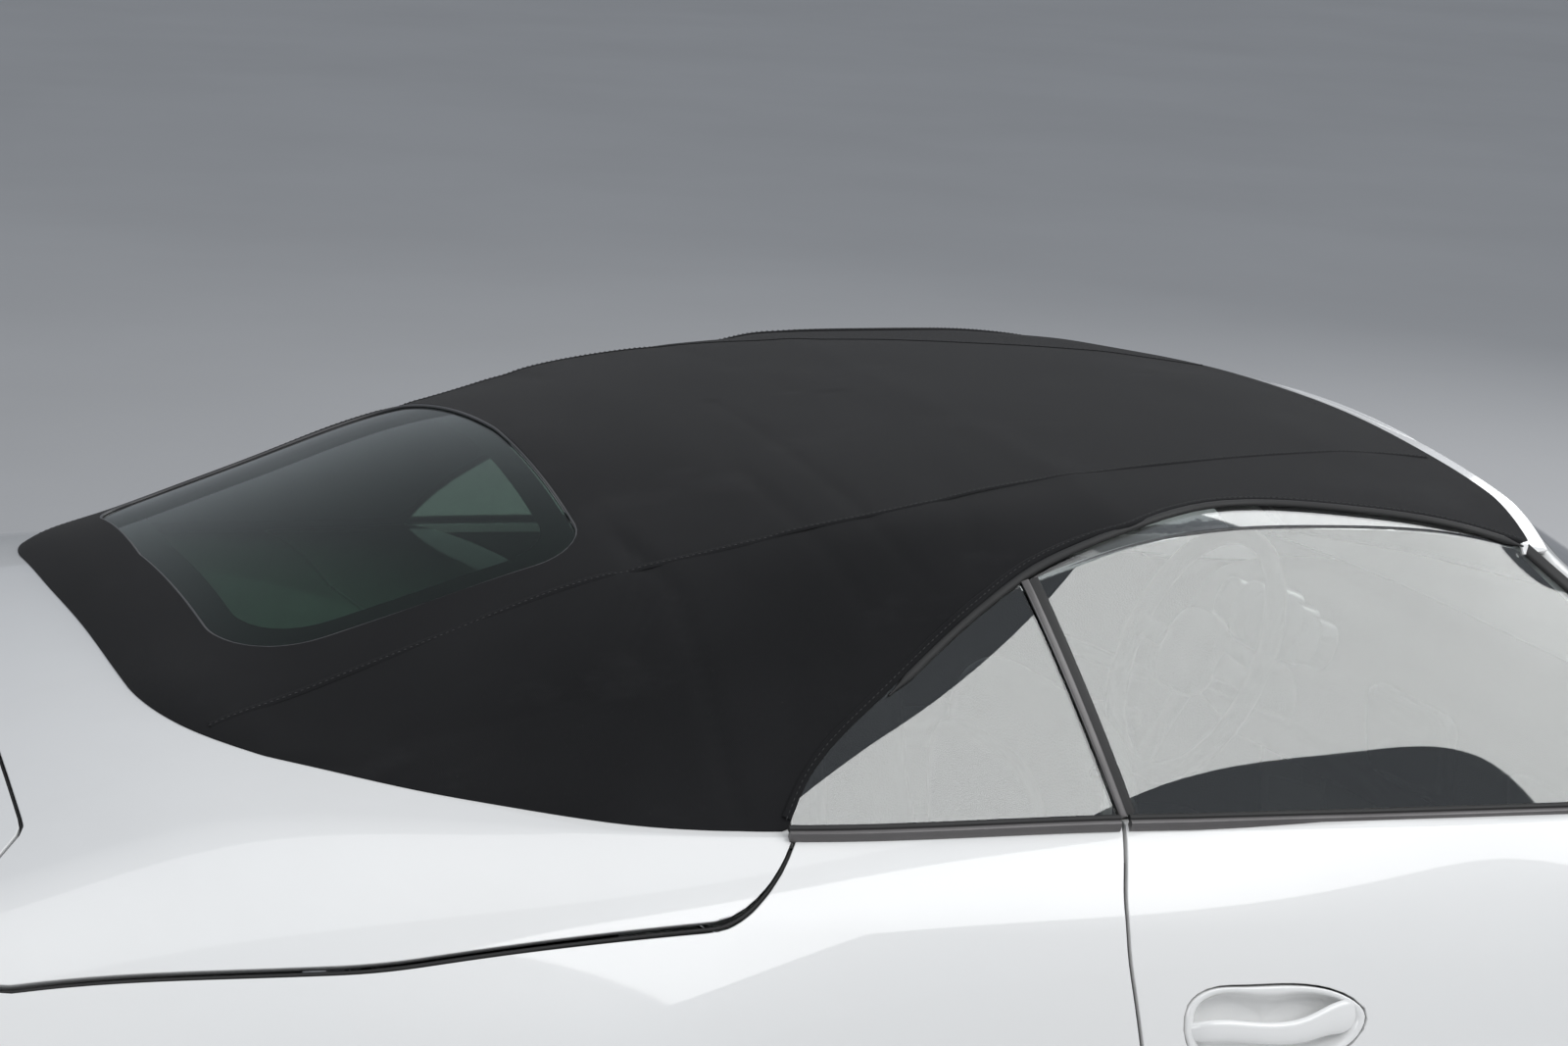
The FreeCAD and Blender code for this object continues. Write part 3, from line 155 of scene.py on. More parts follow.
body_rows = drawn(BODY)
body_knots = run_along(body_rows[:, [0, 2, 3, 9]])
body_columns = spline(body_knots, body_rows)
roof_rows = drawn(GLASSHOUSE)
roof_knots = run_along(roof_rows[:, [0, 7]])
roof_columns = spline(roof_knots, roof_rows)
BODY_RUN, ROOF_RUN = body_knots[-1], roof_knots[-1]
CAP = 0.10
print("body run", round(BODY_RUN, 3), "m, roof run", round(ROOF_RUN, 3), "m")

# %% [markdown]
# Each section is a chain of arcs. An arc that leaves a point along a known direction
# and ends at another turns by twice the angle between that direction and the chord, so
# the next arc can start along the direction in which the last one ended. A turn number
# t says where on the chain a point lies: 0 bottom edge, 1 widest, 2 shoulder, 3 edge of
# the lid, 4 centre line, and on down the other side to 8. From -1 to 0 it crosses the
# flat underside.


# %% Body and roof as functions of two parameters
def pair(a, b):
    """Two arrays as the two coordinates of flat points."""
    return np.stack([a, b], -1)


def arc(start, along, end, share):
    """Point at a share of the arc from start, along a direction, to end, and its last direction."""
    chord = end - start
    lean = np.arctan2(along[..., 0] * chord[..., 1] - along[..., 1] * chord[..., 0], (along * chord).sum(-1))
    lean = np.where(np.abs(lean) < 1e-5, 1e-5, lean)
    radius = np.linalg.norm(chord, axis=-1) / (2 * np.sin(lean))
    left = pair(-along[..., 1], along[..., 0])
    angle = 2 * lean * share
    bend = along * np.sin(angle)[..., None] + left * (1 - np.cos(angle))[..., None]
    point = start + radius[..., None] * bend
    return point, along * np.cos(2 * lean)[..., None] + left * np.sin(2 * lean)[..., None]


def crown(edge_y, edge_z, top_z, share):
    """Point of the arc over the centre line, from its edge (0) to the centre (1)."""
    fall = np.maximum(top_z - edge_z, 1e-4)
    radius = (edge_y**2 + fall**2) / (2 * fall)
    angle = np.arcsin(np.clip(edge_y / radius, -1, 1)) * (1 - share)
    return pair(radius * np.sin(angle), top_z - radius + radius * np.cos(angle))


def body_at(s, t):
    """Body surface for a run s along the car and a turn t round the section."""
    s, t = np.broadcast_arrays(np.asarray(s, float), np.asarray(t, float))
    x, yb, zb, ym, zm, y3, z3, y4, z4, zt = np.moveaxis(body_columns(np.clip(s, 0, BODY_RUN)), -1, 0)
    q = np.where(t <= 4, t, 8 - t)
    up = pair(np.zeros_like(x), np.ones_like(x))
    wide, shoulder = pair(ym, zm), pair(y3, z3)
    low, _ = arc(wide, -up, pair(yb, zb), 1 - q)
    high, leaving = arc(wide, up, shoulder, q - 1)
    wing, _ = arc(shoulder, leaving, pair(y4, z4), q - 2)
    lid = crown(y4, z4, zt, q - 3)
    flat = pair(yb * (1 + q), zb)
    q = q[..., None]
    across = np.select([q < 0, q < 1, q < 2, q < 3], [flat, low, high, wing], lid)
    across = across * pair(np.where(t <= 4, 1.0, -1.0), np.ones_like(x))
    # Past each end the section shrinks to its middle, which closes the nose and the tail.
    past = np.clip(np.maximum(-s, s - BODY_RUN) / CAP, 0, 1)
    centre = pair(np.zeros_like(x), (zb + zt) / 2)
    across = centre + (across - centre) * (1 - past)[..., None]
    return np.concatenate([x[..., None], across], -1)


SIDE_BULGE = 0.009


def roof_at(s, t):
    """Outer surface of roof and side windows. t: 0 base, 1 rail, 2 seam, 3 crown, to 6."""
    s, t = np.broadcast_arrays(np.asarray(s, float), np.asarray(t, float))
    x, yb, zb, yr, zr, yc, zc, zt = np.moveaxis(roof_columns(np.clip(s, 0, ROOF_RUN)), -1, 0)
    q = np.where(t <= 3, t, 6 - t)
    base, rail, seam = pair(yb, zb), pair(yr, zr), pair(yc, zc)
    fall = np.maximum(zt - zc, 1e-4)
    radius = (yc**2 + fall**2) / (2 * fall)
    leaving = pair(radius - fall, -yc) / radius[..., None]
    edge, _ = arc(seam, leaving, rail, 2 - q)
    chord = rail - base
    out = pair(chord[..., 1], -chord[..., 0])
    out = out / np.linalg.norm(out, axis=-1, keepdims=True)
    side = base + chord * q[..., None] + out * (4 * SIDE_BULGE * q * (1 - q))[..., None]
    top = crown(yc, zc, zt, q - 2)
    q = q[..., None]
    across = np.select([q < 1, q < 2], [side, edge], top)
    across = across * pair(np.where(t <= 3, 1.0, -1.0), np.ones_like(x))
    return np.concatenate([x[..., None], across], -1)


def normals_at(surface, s, t, ds=0.004, dt=0.01):
    """Outward unit normals: the cross product of the surface's two directions."""
    along = surface(s + ds, t) - surface(s - ds, t)
    round_it = surface(s, t + dt) - surface(s, t - dt)
    normal = np.cross(along, round_it)
    return normal / np.maximum(np.linalg.norm(normal, axis=-1, keepdims=True), 1e-12)


run_table = np.linspace(0, BODY_RUN, 1200)
x_table = body_columns(run_table)[:, 0]


def run_at(x):
    """Run along the body at which a section lies at X."""
    return np.interp(-np.asarray(x, float), -x_table, run_table)


def body_edge(x):
    """Columns of the body's section at X."""
    return body_columns(run_at(x))


def deck_height(x, y):
    """Height of the body's top surface over a plan point: crown inside the lid's edge, wing outside it."""
    _, yb, zb, ym, zm, y3, z3, y4, z4, zt = np.moveaxis(body_edge(x), -1, 0)
    y = np.abs(y)
    fall = np.maximum(zt - z4, 1e-4)
    radius = (y4**2 + fall**2) / (2 * fall)
    inside = zt - radius + np.sqrt(np.maximum(radius**2 - y**2, 0))
    up = pair(np.zeros_like(ym), np.ones_like(ym))
    _, leaving = arc(pair(ym, zm), up, pair(y3, z3), 1.0)
    chord = pair(y4 - y3, z4 - z3)
    cross = leaving[..., 0] * chord[..., 1] - leaving[..., 1] * chord[..., 0]
    lean = np.arctan2(cross, (leaving * chord).sum(-1))
    bow = np.linalg.norm(chord, axis=-1) / (2 * np.sin(lean))
    aside = y - y3 + leaving[..., 1] * bow
    outside = z3 + leaving[..., 0] * bow + np.sqrt(np.maximum(bow**2 - aside**2, 0))
    return np.where(y < y4, inside, outside)


# %% [markdown]
# Panels are pieces of those surfaces, cut along outlines drawn in a side, plan or rear
# view, as a designer draws shut lines. An outline gives each point a signed distance:
# negative inside, positive outside. A grid is laid over the surface, the points next to
# the outline slide onto it, and only the cells inside are kept. Then the edge is folded
# in round a small radius and the panel gets its thickness. That is quick, exact along
# the shut lines and needs no cutting of meshes by other meshes.


# %% Outlines and signed distances
def rounded(corners, steps=8):
    """Closed outline through (u, v, radius) corners in millimetres, each corner an arc, in metres."""
    spots = np.array([corner[:2] for corner in corners], float)
    line = []
    for here, back, ahead, radius in zip(spots, np.roll(spots, 1, 0), np.roll(spots, -1, 0),
                                         [corner[2] for corner in corners]):
        if radius == 0:
            line.append(here[None])
            continue
        before = (back - here) / np.linalg.norm(back - here)
        after = (ahead - here) / np.linalg.norm(ahead - here)
        half = math.acos(float(np.clip(before @ after, -1, 1))) / 2
        bisector = (before + after) / np.linalg.norm(before + after)
        centre = here + bisector * radius / math.sin(half)
        first, last = here + before * radius / math.tan(half), here + after * radius / math.tan(half)
        share = np.linspace(0, 1, steps + 1)[:, None]
        spread = first + (last - first) * share - centre
        line.append(centre + spread / np.linalg.norm(spread, axis=1, keepdims=True) * radius)
    return np.concatenate(line) * MM


def distance_to(line, points):
    """Distance to a closed outline, negative inside: nearest piece, and the sign by crossings."""
    a, b = line, np.roll(line, -1, 0)
    d = b - a
    flat = points.reshape(-1, 2)
    rel = flat[:, None] - a[None]
    share = np.clip((rel * d).sum(-1) / np.maximum((d * d).sum(-1), 1e-18), 0, 1)
    away = np.sqrt(((rel - share[..., None] * d) ** 2).sum(-1)).min(1)
    y = flat[:, 1][:, None]
    crosses = (a[:, 1] > y) != (b[:, 1] > y)
    rise = np.where(np.abs(d[:, 1]) < 1e-12, 1e-12, d[:, 1])
    hit = flat[:, 0][:, None] < a[:, 0] + (y - a[:, 1]) * d[:, 0] / rise
    inside = (crosses & hit).sum(1) % 2 == 1
    return np.where(inside, -away, away).reshape(points.shape[:-1])


VIEWS = {"side": np.eye(3)[:, [0, 2]], "plan": np.eye(3)[:, [0, 1]], "rear": np.eye(3)[:, [1, 2]]}


def drawn_in(view, corners, grow=0.0):
    """Signed distance of points to an outline drawn in a view, moved outwards by grow."""
    line = rounded(corners)
    return lambda p: distance_to(line, p @ VIEWS[view]) - grow


def inside_all(*rules):
    """What lies inside every rule."""
    return lambda p: np.max([rule(p) for rule in rules], axis=0)


def outside(rule):
    """What lies outside a rule."""
    return lambda p: -rule(p)


# %% Cutting a panel
def joined(shells):
    """Several shells as one: (points, quads, triangles, normals)."""
    points, quads, tris, normals, start = [], [], [], [], 0
    for p, q, t, n in shells:
        points.append(p)
        quads.append(q + start)
        tris.append(t + start)
        normals.append(n)
        start += len(p)
    return tuple(np.concatenate(part) for part in (points, quads, tris, normals))


def mirrored(shell):
    """The same shell on the car's other side, still facing outwards."""
    p, q, t, n = shell
    flip = np.array([1, -1, 1])
    return p * flip, q[:, ::-1], t[:, ::-1], n * flip


def both(shell):
    """A shell and its mirror image."""
    return joined([shell, mirrored(shell)])


def unchanged(shell):
    """The shell as drawn, which is the left one."""
    return shell


HANDS = (("left", unchanged), ("right", mirrored))


def cut_panel(surface, runs, turns, rule, wall=0.012, lip=0.0012, depth=0.0):
    """Piece of a surface inside a rule, with folded edges and a closed back."""
    i, j = np.meshgrid(np.arange(len(runs), dtype=float), np.arange(len(turns), dtype=float), indexing="ij")

    def at(i, j):
        s = np.interp(i, np.arange(len(runs)), runs)
        t = np.interp(j, np.arange(len(turns)), turns)
        p = surface(s, t)
        return p - normals_at(surface, s, t) * depth if depth else p

    def gap(i, j):
        return rule(at(i, j)) + lip

    # A slope that changes at a grid line is measured on the side where the outline lies.
    away = gap(i, j)
    reach, slides = 0.2, 3
    for slide in range(slides):
        close = np.abs(away) < 0.06
        ci, cj, here = i[close], j[close], away[close]
        ahead_i, ahead_j = gap(ci + reach, cj) - here, gap(ci, cj + reach) - here
        gi = np.where(here * ahead_i < 0, ahead_i, here - gap(ci - reach, cj)) / reach
        gj = np.where(here * ahead_j < 0, ahead_j, here - gap(ci, cj - reach)) / reach
        steep = np.maximum(gi**2 + gj**2, 1e-12)
        if slide == 0:
            snapped = np.zeros(i.shape, bool)
            snapped[close] = np.abs(away[close]) / np.sqrt(steep) < 0.52
        on = snapped[close]
        move_i = np.clip(-away[close] * gi / steep, -0.5, 0.5) * on
        move_j = np.clip(-away[close] * gj / steep, -0.5, 0.5) * on
        i[close] += move_i
        j[close] += move_j
        np.clip(i, 0, len(runs) - 1, out=i)
        np.clip(j, 0, len(turns) - 1, out=j)
        away = gap(i, j)
    points = at(i, j)
    state = np.where(snapped, 0, np.sign(away))
    number = np.arange(i.size).reshape(i.shape)
    ring = np.stack([number[:-1, :-1], number[1:, :-1], number[1:, 1:], number[:-1, 1:]], -1).reshape(-1, 4)
    flat, flat_state = points.reshape(-1, 3), state.ravel()
    out = (flat_state[ring] > 0).sum(1)
    whole = ring[out == 0]
    whole = whole[rule(flat[whole].mean(1)) + lip < 0]
    partly = ring[out == 1]
    turned = np.argmax(flat_state[partly] > 0, axis=1)
    tris = np.stack([partly[np.arange(len(partly)), (turned + k) % 4] for k in (1, 2, 3)], -1)
    if len(tris):
        tris = tris[rule(flat[tris].mean(1)) + lip < 0]
    used = np.unique(np.concatenate([whole.ravel(), tris.ravel()]))
    place = np.full(i.size, -1)
    place[used] = np.arange(len(used))
    quads, tris = place[whole], place[tris].reshape(-1, 3)
    s = np.interp(i.ravel()[used], np.arange(len(runs)), runs)
    t = np.interp(j.ravel()[used], np.arange(len(turns)), turns)
    return folded(flat[used], quads, tris, normals_at(surface, s, t), wall, lip)


def folded(points, quads, tris, normals, wall, lip):
    """Round a sheet's open edge over by a small radius and give it its thickness."""
    edges = np.concatenate([np.stack([f[:, k], f[:, (k + 1) % f.shape[1]]], -1)
                            for f in (quads, tris) for k in range(f.shape[1])])
    count = len(points)
    keys, back = edges[:, 0] * count + edges[:, 1], edges[:, 1] * count + edges[:, 0]
    rim = edges[~np.isin(keys, back)]
    out = np.zeros_like(points)
    push = np.cross(points[rim[:, 1]] - points[rim[:, 0]], normals[rim[:, 0]] + normals[rim[:, 1]])
    np.add.at(out, rim[:, 0], push)
    np.add.at(out, rim[:, 1], push)
    on_rim = np.unique(rim)
    place = np.full(count, -1)
    place[on_rim] = np.arange(len(on_rim))
    base, n = points[on_rim], normals[on_rim]
    o = out[on_rim]
    o = o - (o * n).sum(1, keepdims=True) * n
    o = o / np.maximum(np.linalg.norm(o, axis=1, keepdims=True), 1e-12)
    half = math.sqrt(0.5)
    rings = [base + o * lip * half - n * lip * (1 - half), base + o * lip - n * lip,
             base + o * lip - n * wall]
    facing = [(n + o) * half, o, o]
    all_points, all_normals = [points, points - normals * wall], [normals, -normals]
    all_quads = [quads, quads[:, ::-1] + count]
    tris = np.concatenate([tris, tris[:, ::-1] + count])
    start = count * 2
    here = rim
    for ring, face in zip(rings, facing):
        there = place[rim] + start
        all_quads.append(np.stack([here[:, 1], here[:, 0], there[:, 0], there[:, 1]], -1))
        all_points.append(ring)
        all_normals.append(face)
        here = there
        start += len(on_rim)
    all_quads.append(np.stack([here[:, 1], here[:, 0], rim[:, 0] + count, rim[:, 1] + count], -1))
    return np.concatenate(all_points), np.concatenate(all_quads), tris, np.concatenate(all_normals)


def put(name, shell, body, material, stands_for=(), sharp=None):
    """Make a piece from a shell. Its own normals stay, unless sharp gives an angle for creases."""
    points, quads, tris, normals = shell
    mesh = bpy.data.meshes.new(name)
    mesh.from_pydata(points.tolist(), [], quads.tolist() + tris.tolist())
    mesh.update()
    mesh.shade_smooth()
    if sharp is None:
        mesh.normals_split_custom_set_from_vertices(normals.tolist())
    else:
        mesh.set_sharp_from_angle(angle=math.radians(sharp))
    mesh.materials.append(material)
    piece = bpy.data.objects.new(name, mesh)
    bpy.context.scene.collection.objects.link(piece)
    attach(piece, body)
    if stands_for:
        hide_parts(*stands_for)
    print(name, len(quads) * 2 + len(tris), "triangles")
    return piece


def net(points, close_u=False, close_v=False):
    """Shell of quads through a grid of points, facing along u x v."""
    rows, columns = points.shape[:2]
    number = np.arange(rows * columns).reshape(rows, columns)
    if close_u:
        number = np.concatenate([number, number[:1]], 0)
    if close_v:
        number = np.concatenate([number, number[:, :1]], 1)
    quads = np.stack([number[:-1, :-1], number[1:, :-1], number[1:, 1:], number[:-1, 1:]], -1).reshape(-1, 4)
    return points.reshape(-1, 3), quads, np.zeros((0, 3), int), np.zeros((rows * columns, 3))


# %% [markdown]
# Materials are trees of nodes on one Principled shader each. What several finishes
# share, such as a slow drift between two colours, fine grain, woven threads or settled
# dust, is a node group with named inputs, built once. All of them read Object
# coordinates, which for every piece here are the car's own coordinates in metres.


# %% Node groups
def add(tree, kind, inputs=None, **settings):
    """Add a node, set its settings, and set or link its inputs."""
    node = tree.nodes.new(kind)
    for key, value in settings.items():
        setattr(node, key, value)
    for key, value in (inputs or {}).items():
        if isinstance(value, bpy.types.NodeSocket):
            tree.links.new(value, node.inputs[key])
        else:
            node.inputs[key].default_value = value
    return node


def new_group(name, inputs, outputs):
    """Empty node group with named sockets: (group, its input node, its output node)."""
    tree = bpy.data.node_groups.new(name, "ShaderNodeTree")
    for title, kind, value in inputs:
        socket = tree.interface.new_socket(title, in_out="INPUT", socket_type="NodeSocket" + kind)
        socket.default_value = value
    for title, kind in outputs:
        tree.interface.new_socket(title, in_out="OUTPUT", socket_type="NodeSocket" + kind)
    return tree, tree.nodes.new("NodeGroupInput"), tree.nodes.new("NodeGroupOutput")


def mapped(tree, value, low, high, to_low=0.0, to_high=1.0):
    """A value moved from one range to another, clamped."""
    return add(tree, "ShaderNodeMapRange", {0: value, 1: low, 2: high, 3: to_low, 4: to_high}).outputs[0]


def object_noise(tree, scale, detail=3.0, rough=0.5, stretch=None):
    """Noise on Object coordinates, from 0 to 1."""
    coordinates = add(tree, "ShaderNodeTexCoord").outputs["Object"]
    if stretch:
        coordinates = add(tree, "ShaderNodeMapping", {"Vector": coordinates, "Scale": stretch}).outputs[0]
    return add(tree, "ShaderNodeTexNoise", {"Vector": coordinates, "Scale": scale, "Detail": detail,
                                            "Roughness": rough}).outputs["Fac"]


def colour_mix(tree, share, first, second):
    """Mix of two colours by a share."""
    node = add(tree, "ShaderNodeMix", {0: share, 6: first, 7: second}, data_type="RGBA")
    return node.outputs[2]


drift, i, o = new_group("Colour drift", [("Colour", "Color", (1, 1, 1, 1)), ("Other", "Color", (1, 1, 1, 1)),
                                         ("Scale", "Float", 3.0), ("Smooth", "Float", 0.3),
                                         ("Rough", "Float", 0.4)],
                        [("Colour", "Color"), ("Roughness", "Float"), ("Mask", "Float")])
share = mapped(drift, object_noise(drift, i.outputs["Scale"], 4.0), 0.35, 0.65)
drift.links.new(colour_mix(drift, share, i.outputs["Colour"], i.outputs["Other"]), o.inputs["Colour"])
rough = add(drift, "ShaderNodeMix", {0: share, 2: i.outputs["Smooth"], 3: i.outputs["Rough"]})
drift.links.new(rough.outputs[0], o.inputs["Roughness"])
drift.links.new(share, o.inputs["Mask"])

grain, i, o = new_group("Fine grain", [("Scale", "Float", 400.0), ("Depth", "Float", 1.0)],
                        [("Height", "Float")])
fine = object_noise(grain, i.outputs["Scale"], 5.0, 0.6)
pits = add(grain, "ShaderNodeTexVoronoi", {"Vector": add(grain, "ShaderNodeTexCoord").outputs["Object"],
                                           "Scale": i.outputs["Scale"]})
both_heights = add(grain, "ShaderNodeMath", {0: fine, 1: pits.outputs["Distance"]}, operation="ADD")
height = add(grain, "ShaderNodeMath", {0: both_heights.outputs[0], 1: i.outputs["Depth"]},
             operation="MULTIPLY")
grain.links.new(height.outputs[0], o.inputs["Height"])

dust, i, o = new_group("Settled dust", [("Amount", "Float", 0.3), ("Scale", "Float", 6.0)],
                       [("Mask", "Float")])
up_facing = add(dust, "ShaderNodeSeparateXYZ", {0: add(dust, "ShaderNodeNewGeometry").outputs["Normal"]})
level = mapped(dust, up_facing.outputs["Z"], -0.2, 0.9)
spots = mapped(dust, object_noise(dust, i.outputs["Scale"], 8.0, 0.65), 0.45, 0.75)
both_masks = add(dust, "ShaderNodeMath", {0: level, 1: spots}, operation="MULTIPLY")
mask = add(dust, "ShaderNodeMath", {0: both_masks.outputs[0], 1: i.outputs["Amount"]}, operation="MULTIPLY")
dust.links.new(mask.outputs[0], o.inputs["Mask"])

weave, i, o = new_group("Woven threads", [("Threads", "Float", 900.0)],
                        [("Height", "Float"), ("Painted shade", "Float")])
parts = add(weave, "ShaderNodeSeparateXYZ", {0: add(weave, "ShaderNodeTexCoord").outputs["Object"]})
across = add(weave, "ShaderNodeMath", {0: parts.outputs["Y"], 1: parts.outputs["Z"]}, operation="ADD")
waves = []
for direction, lean in ((parts.outputs["X"], 0.5), (across.outputs[0], -0.5)):
    other = across.outputs[0] if direction == parts.outputs["X"] else parts.outputs["X"]
    leaning = add(weave, "ShaderNodeMath", {0: other, 1: lean, 2: direction}, operation="MULTIPLY_ADD")
    phase = add(weave, "ShaderNodeMath", {0: leaning.outputs[0], 1: i.outputs["Threads"]},
                operation="MULTIPLY")
    turn = add(weave, "ShaderNodeMath", {0: phase.outputs[0], 1: 2 * math.pi}, operation="MULTIPLY")
    wave = add(weave, "ShaderNodeMath", {0: turn.outputs[0]}, operation="SINE")
    waves.append(mapped(weave, wave.outputs[0], -1.0, 1.0))
threads = add(weave, "ShaderNodeMath", {0: waves[0], 1: waves[1]}, operation="MAXIMUM")
weave.links.new(threads.outputs[0], o.inputs["Height"])
# This second output is painted shade: the colour falls to three quarters in the hollows between threads, full on
# their tops.
weave.links.new(mapped(weave, threads.outputs[0], 0.0, 1.0, 0.75, 1.0), o.inputs["Painted shade"])


# %% A finish
def grouped(tree, group, inputs):
    """Place a node group with its own values."""
    node = tree.nodes.new("ShaderNodeGroup")
    node.node_tree = group
    for key, value in inputs.items():
        node.inputs[key].default_value = value
    return node


DUST_COLOUR = (0.42, 0.40, 0.36, 1)


def finish(name, colour, other, rough=(0.3, 0.4), scale=3.0, grain_scale=0.0, grain_depth=0.0, dusty=0.0,
           **shader_values):
    """Material: a drift between two colours, settled dust over it, fine grain as bump."""
    material = bpy.data.materials.new(name)
    material.use_nodes = True
    tree = material.node_tree
    shader = tree.nodes["Principled BSDF"]
    for key, value in shader_values.items():
        shader.inputs[key.replace("_", " ")].default_value = value
    shade = grouped(tree, drift, {"Colour": (*colour, 1), "Other": (*other, 1), "Scale": scale,
                                  "Smooth": rough[0], "Rough": rough[1]})
    colour_out, rough_out = shade.outputs["Colour"], shade.outputs["Roughness"]
    if dusty:
        veil = grouped(tree, dust, {"Amount": dusty})
        colour_out = colour_mix(tree, veil.outputs["Mask"], colour_out, DUST_COLOUR)
        lifted = add(tree, "ShaderNodeMix", {0: veil.outputs["Mask"], 2: rough_out, 3: 0.9})
        rough_out = lifted.outputs[0]
    tree.links.new(colour_out, shader.inputs["Base Color"])
    tree.links.new(rough_out, shader.inputs["Roughness"])
    if grain_depth:
        skin = grouped(tree, grain, {"Scale": grain_scale, "Depth": 1.0})
        bump = add(tree, "ShaderNodeBump", {"Height": skin.outputs["Height"], "Distance": grain_depth,
                                            "Strength": 1.0})
        tree.links.new(bump.outputs[0], shader.inputs["Normal"])
    return material


paint = finish("White paint", (0.80, 0.80, 0.79), (0.78, 0.785, 0.78), rough=(0.28, 0.36), scale=1.2,
               grain_scale=180.0, grain_depth=0.00002, dusty=0.05, Coat_Weight=1.0, Coat_Roughness=0.03)
trim = finish("Black plastic trim", (0.022, 0.022, 0.023), (0.032, 0.032, 0.033),
              rough=(0.45, 0.6), scale=9.0,
              grain_scale=900.0, grain_depth=0.00008, dusty=0.15)
moulding = finish("Grey belt moulding", (0.055, 0.055, 0.057), (0.075, 0.075, 0.078), rough=(0.3, 0.42),
                  scale=6.0, grain_scale=700.0, grain_depth=0.00004, dusty=0.12)
rubber = finish("Black rubber seal", (0.012, 0.012, 0.012), (0.02, 0.02, 0.02), rough=(0.55, 0.7), scale=12.0,
                grain_scale=500.0, grain_depth=0.00005)
undercoat = finish("Satin black coating", (0.02, 0.02, 0.021), (0.045, 0.043, 0.04), rough=(0.5, 0.75),
                   scale=5.0, grain_scale=250.0, grain_depth=0.0003, dusty=0.3)
steel = finish("Brushed steel", (0.55, 0.54, 0.52), (0.42, 0.41, 0.39), rough=(0.22, 0.38), scale=7.0,
               grain_scale=600.0, grain_depth=0.00004, Metallic=1.0)
casting = finish("Cast metal", (0.28, 0.28, 0.28), (0.2, 0.19, 0.18), rough=(0.45, 0.65), scale=9.0,
                 grain_scale=350.0, grain_depth=0.0003, dusty=0.2, Metallic=0.9)
alloy = finish("Silver lacquered alloy", (0.60, 0.61, 0.63), (0.54, 0.55, 0.57), rough=(0.22, 0.3), scale=5.0,
               grain_scale=400.0, grain_depth=0.00002, dusty=0.05, Metallic=0.85, Coat_Weight=0.6,
               Coat_Roughness=0.06)
chrome = finish("Bright metal", (0.82, 0.82, 0.83), (0.76, 0.76, 0.78), rough=(0.05, 0.12), scale=8.0,
                grain_scale=300.0, grain_depth=0.00001, Metallic=1.0)
leather = finish("Black leather", (0.022, 0.021, 0.02), (0.034, 0.033, 0.032), rough=(0.38, 0.55), scale=7.0,
                 grain_scale=420.0, grain_depth=0.0004)
carpet = finish("Dark carpet", (0.025, 0.025, 0.027), (0.045, 0.044, 0.046), rough=(0.9, 1.0), scale=40.0,
                grain_scale=900.0, grain_depth=0.001, Sheen_Weight=0.4)
dash_plastic = finish("Soft grained plastic", (0.03, 0.03, 0.031), (0.04, 0.04, 0.041), rough=(0.5, 0.65),
                      scale=8.0, grain_scale=600.0, grain_depth=0.0003)
pale_trim = finish("Pale satin trim", (0.55, 0.55, 0.53), (0.48, 0.48, 0.46), rough=(0.3, 0.4), scale=9.0,
                   grain_scale=500.0, grain_depth=0.00003, Metallic=0.3)


def glass_finish(name, tint, other, ior=1.5):
    """Tinted glass: clear all through, its tint drifts a little, as float glass does."""
    return finish(name, tint, other, rough=(0.0, 0.015), scale=2.0, IOR=ior, Transmission_Weight=1.0)


side_glass = glass_finish("Light green glass", (0.86, 0.90, 0.87), (0.84, 0.885, 0.86), 1.75)
dark_glass = glass_finish("Dark green glass", (0.20, 0.30, 0.24), (0.18, 0.28, 0.22), 1.36)
clear_cover = glass_finish("Clear lamp cover", (0.97, 0.975, 0.97), (0.95, 0.96, 0.95))
red_cover = glass_finish("Red lamp cover", (0.62, 0.02, 0.02), (0.55, 0.015, 0.015))
print(len(bpy.data.materials), "finishes")

# %% [markdown]
# The fabric of the top is a black woven cloth with a matt, slightly fuzzy surface. Up
# close it shows its threads, from a step away soft cloudy patches where dust sits in
# the weave, and pale streaks along the folds. Sheen on the shader gives the fuzz, the
# weave group gives the threads as bumps and darkens the hollows between them with
# painted shade, and two scales of noise give the clouds and streaks.


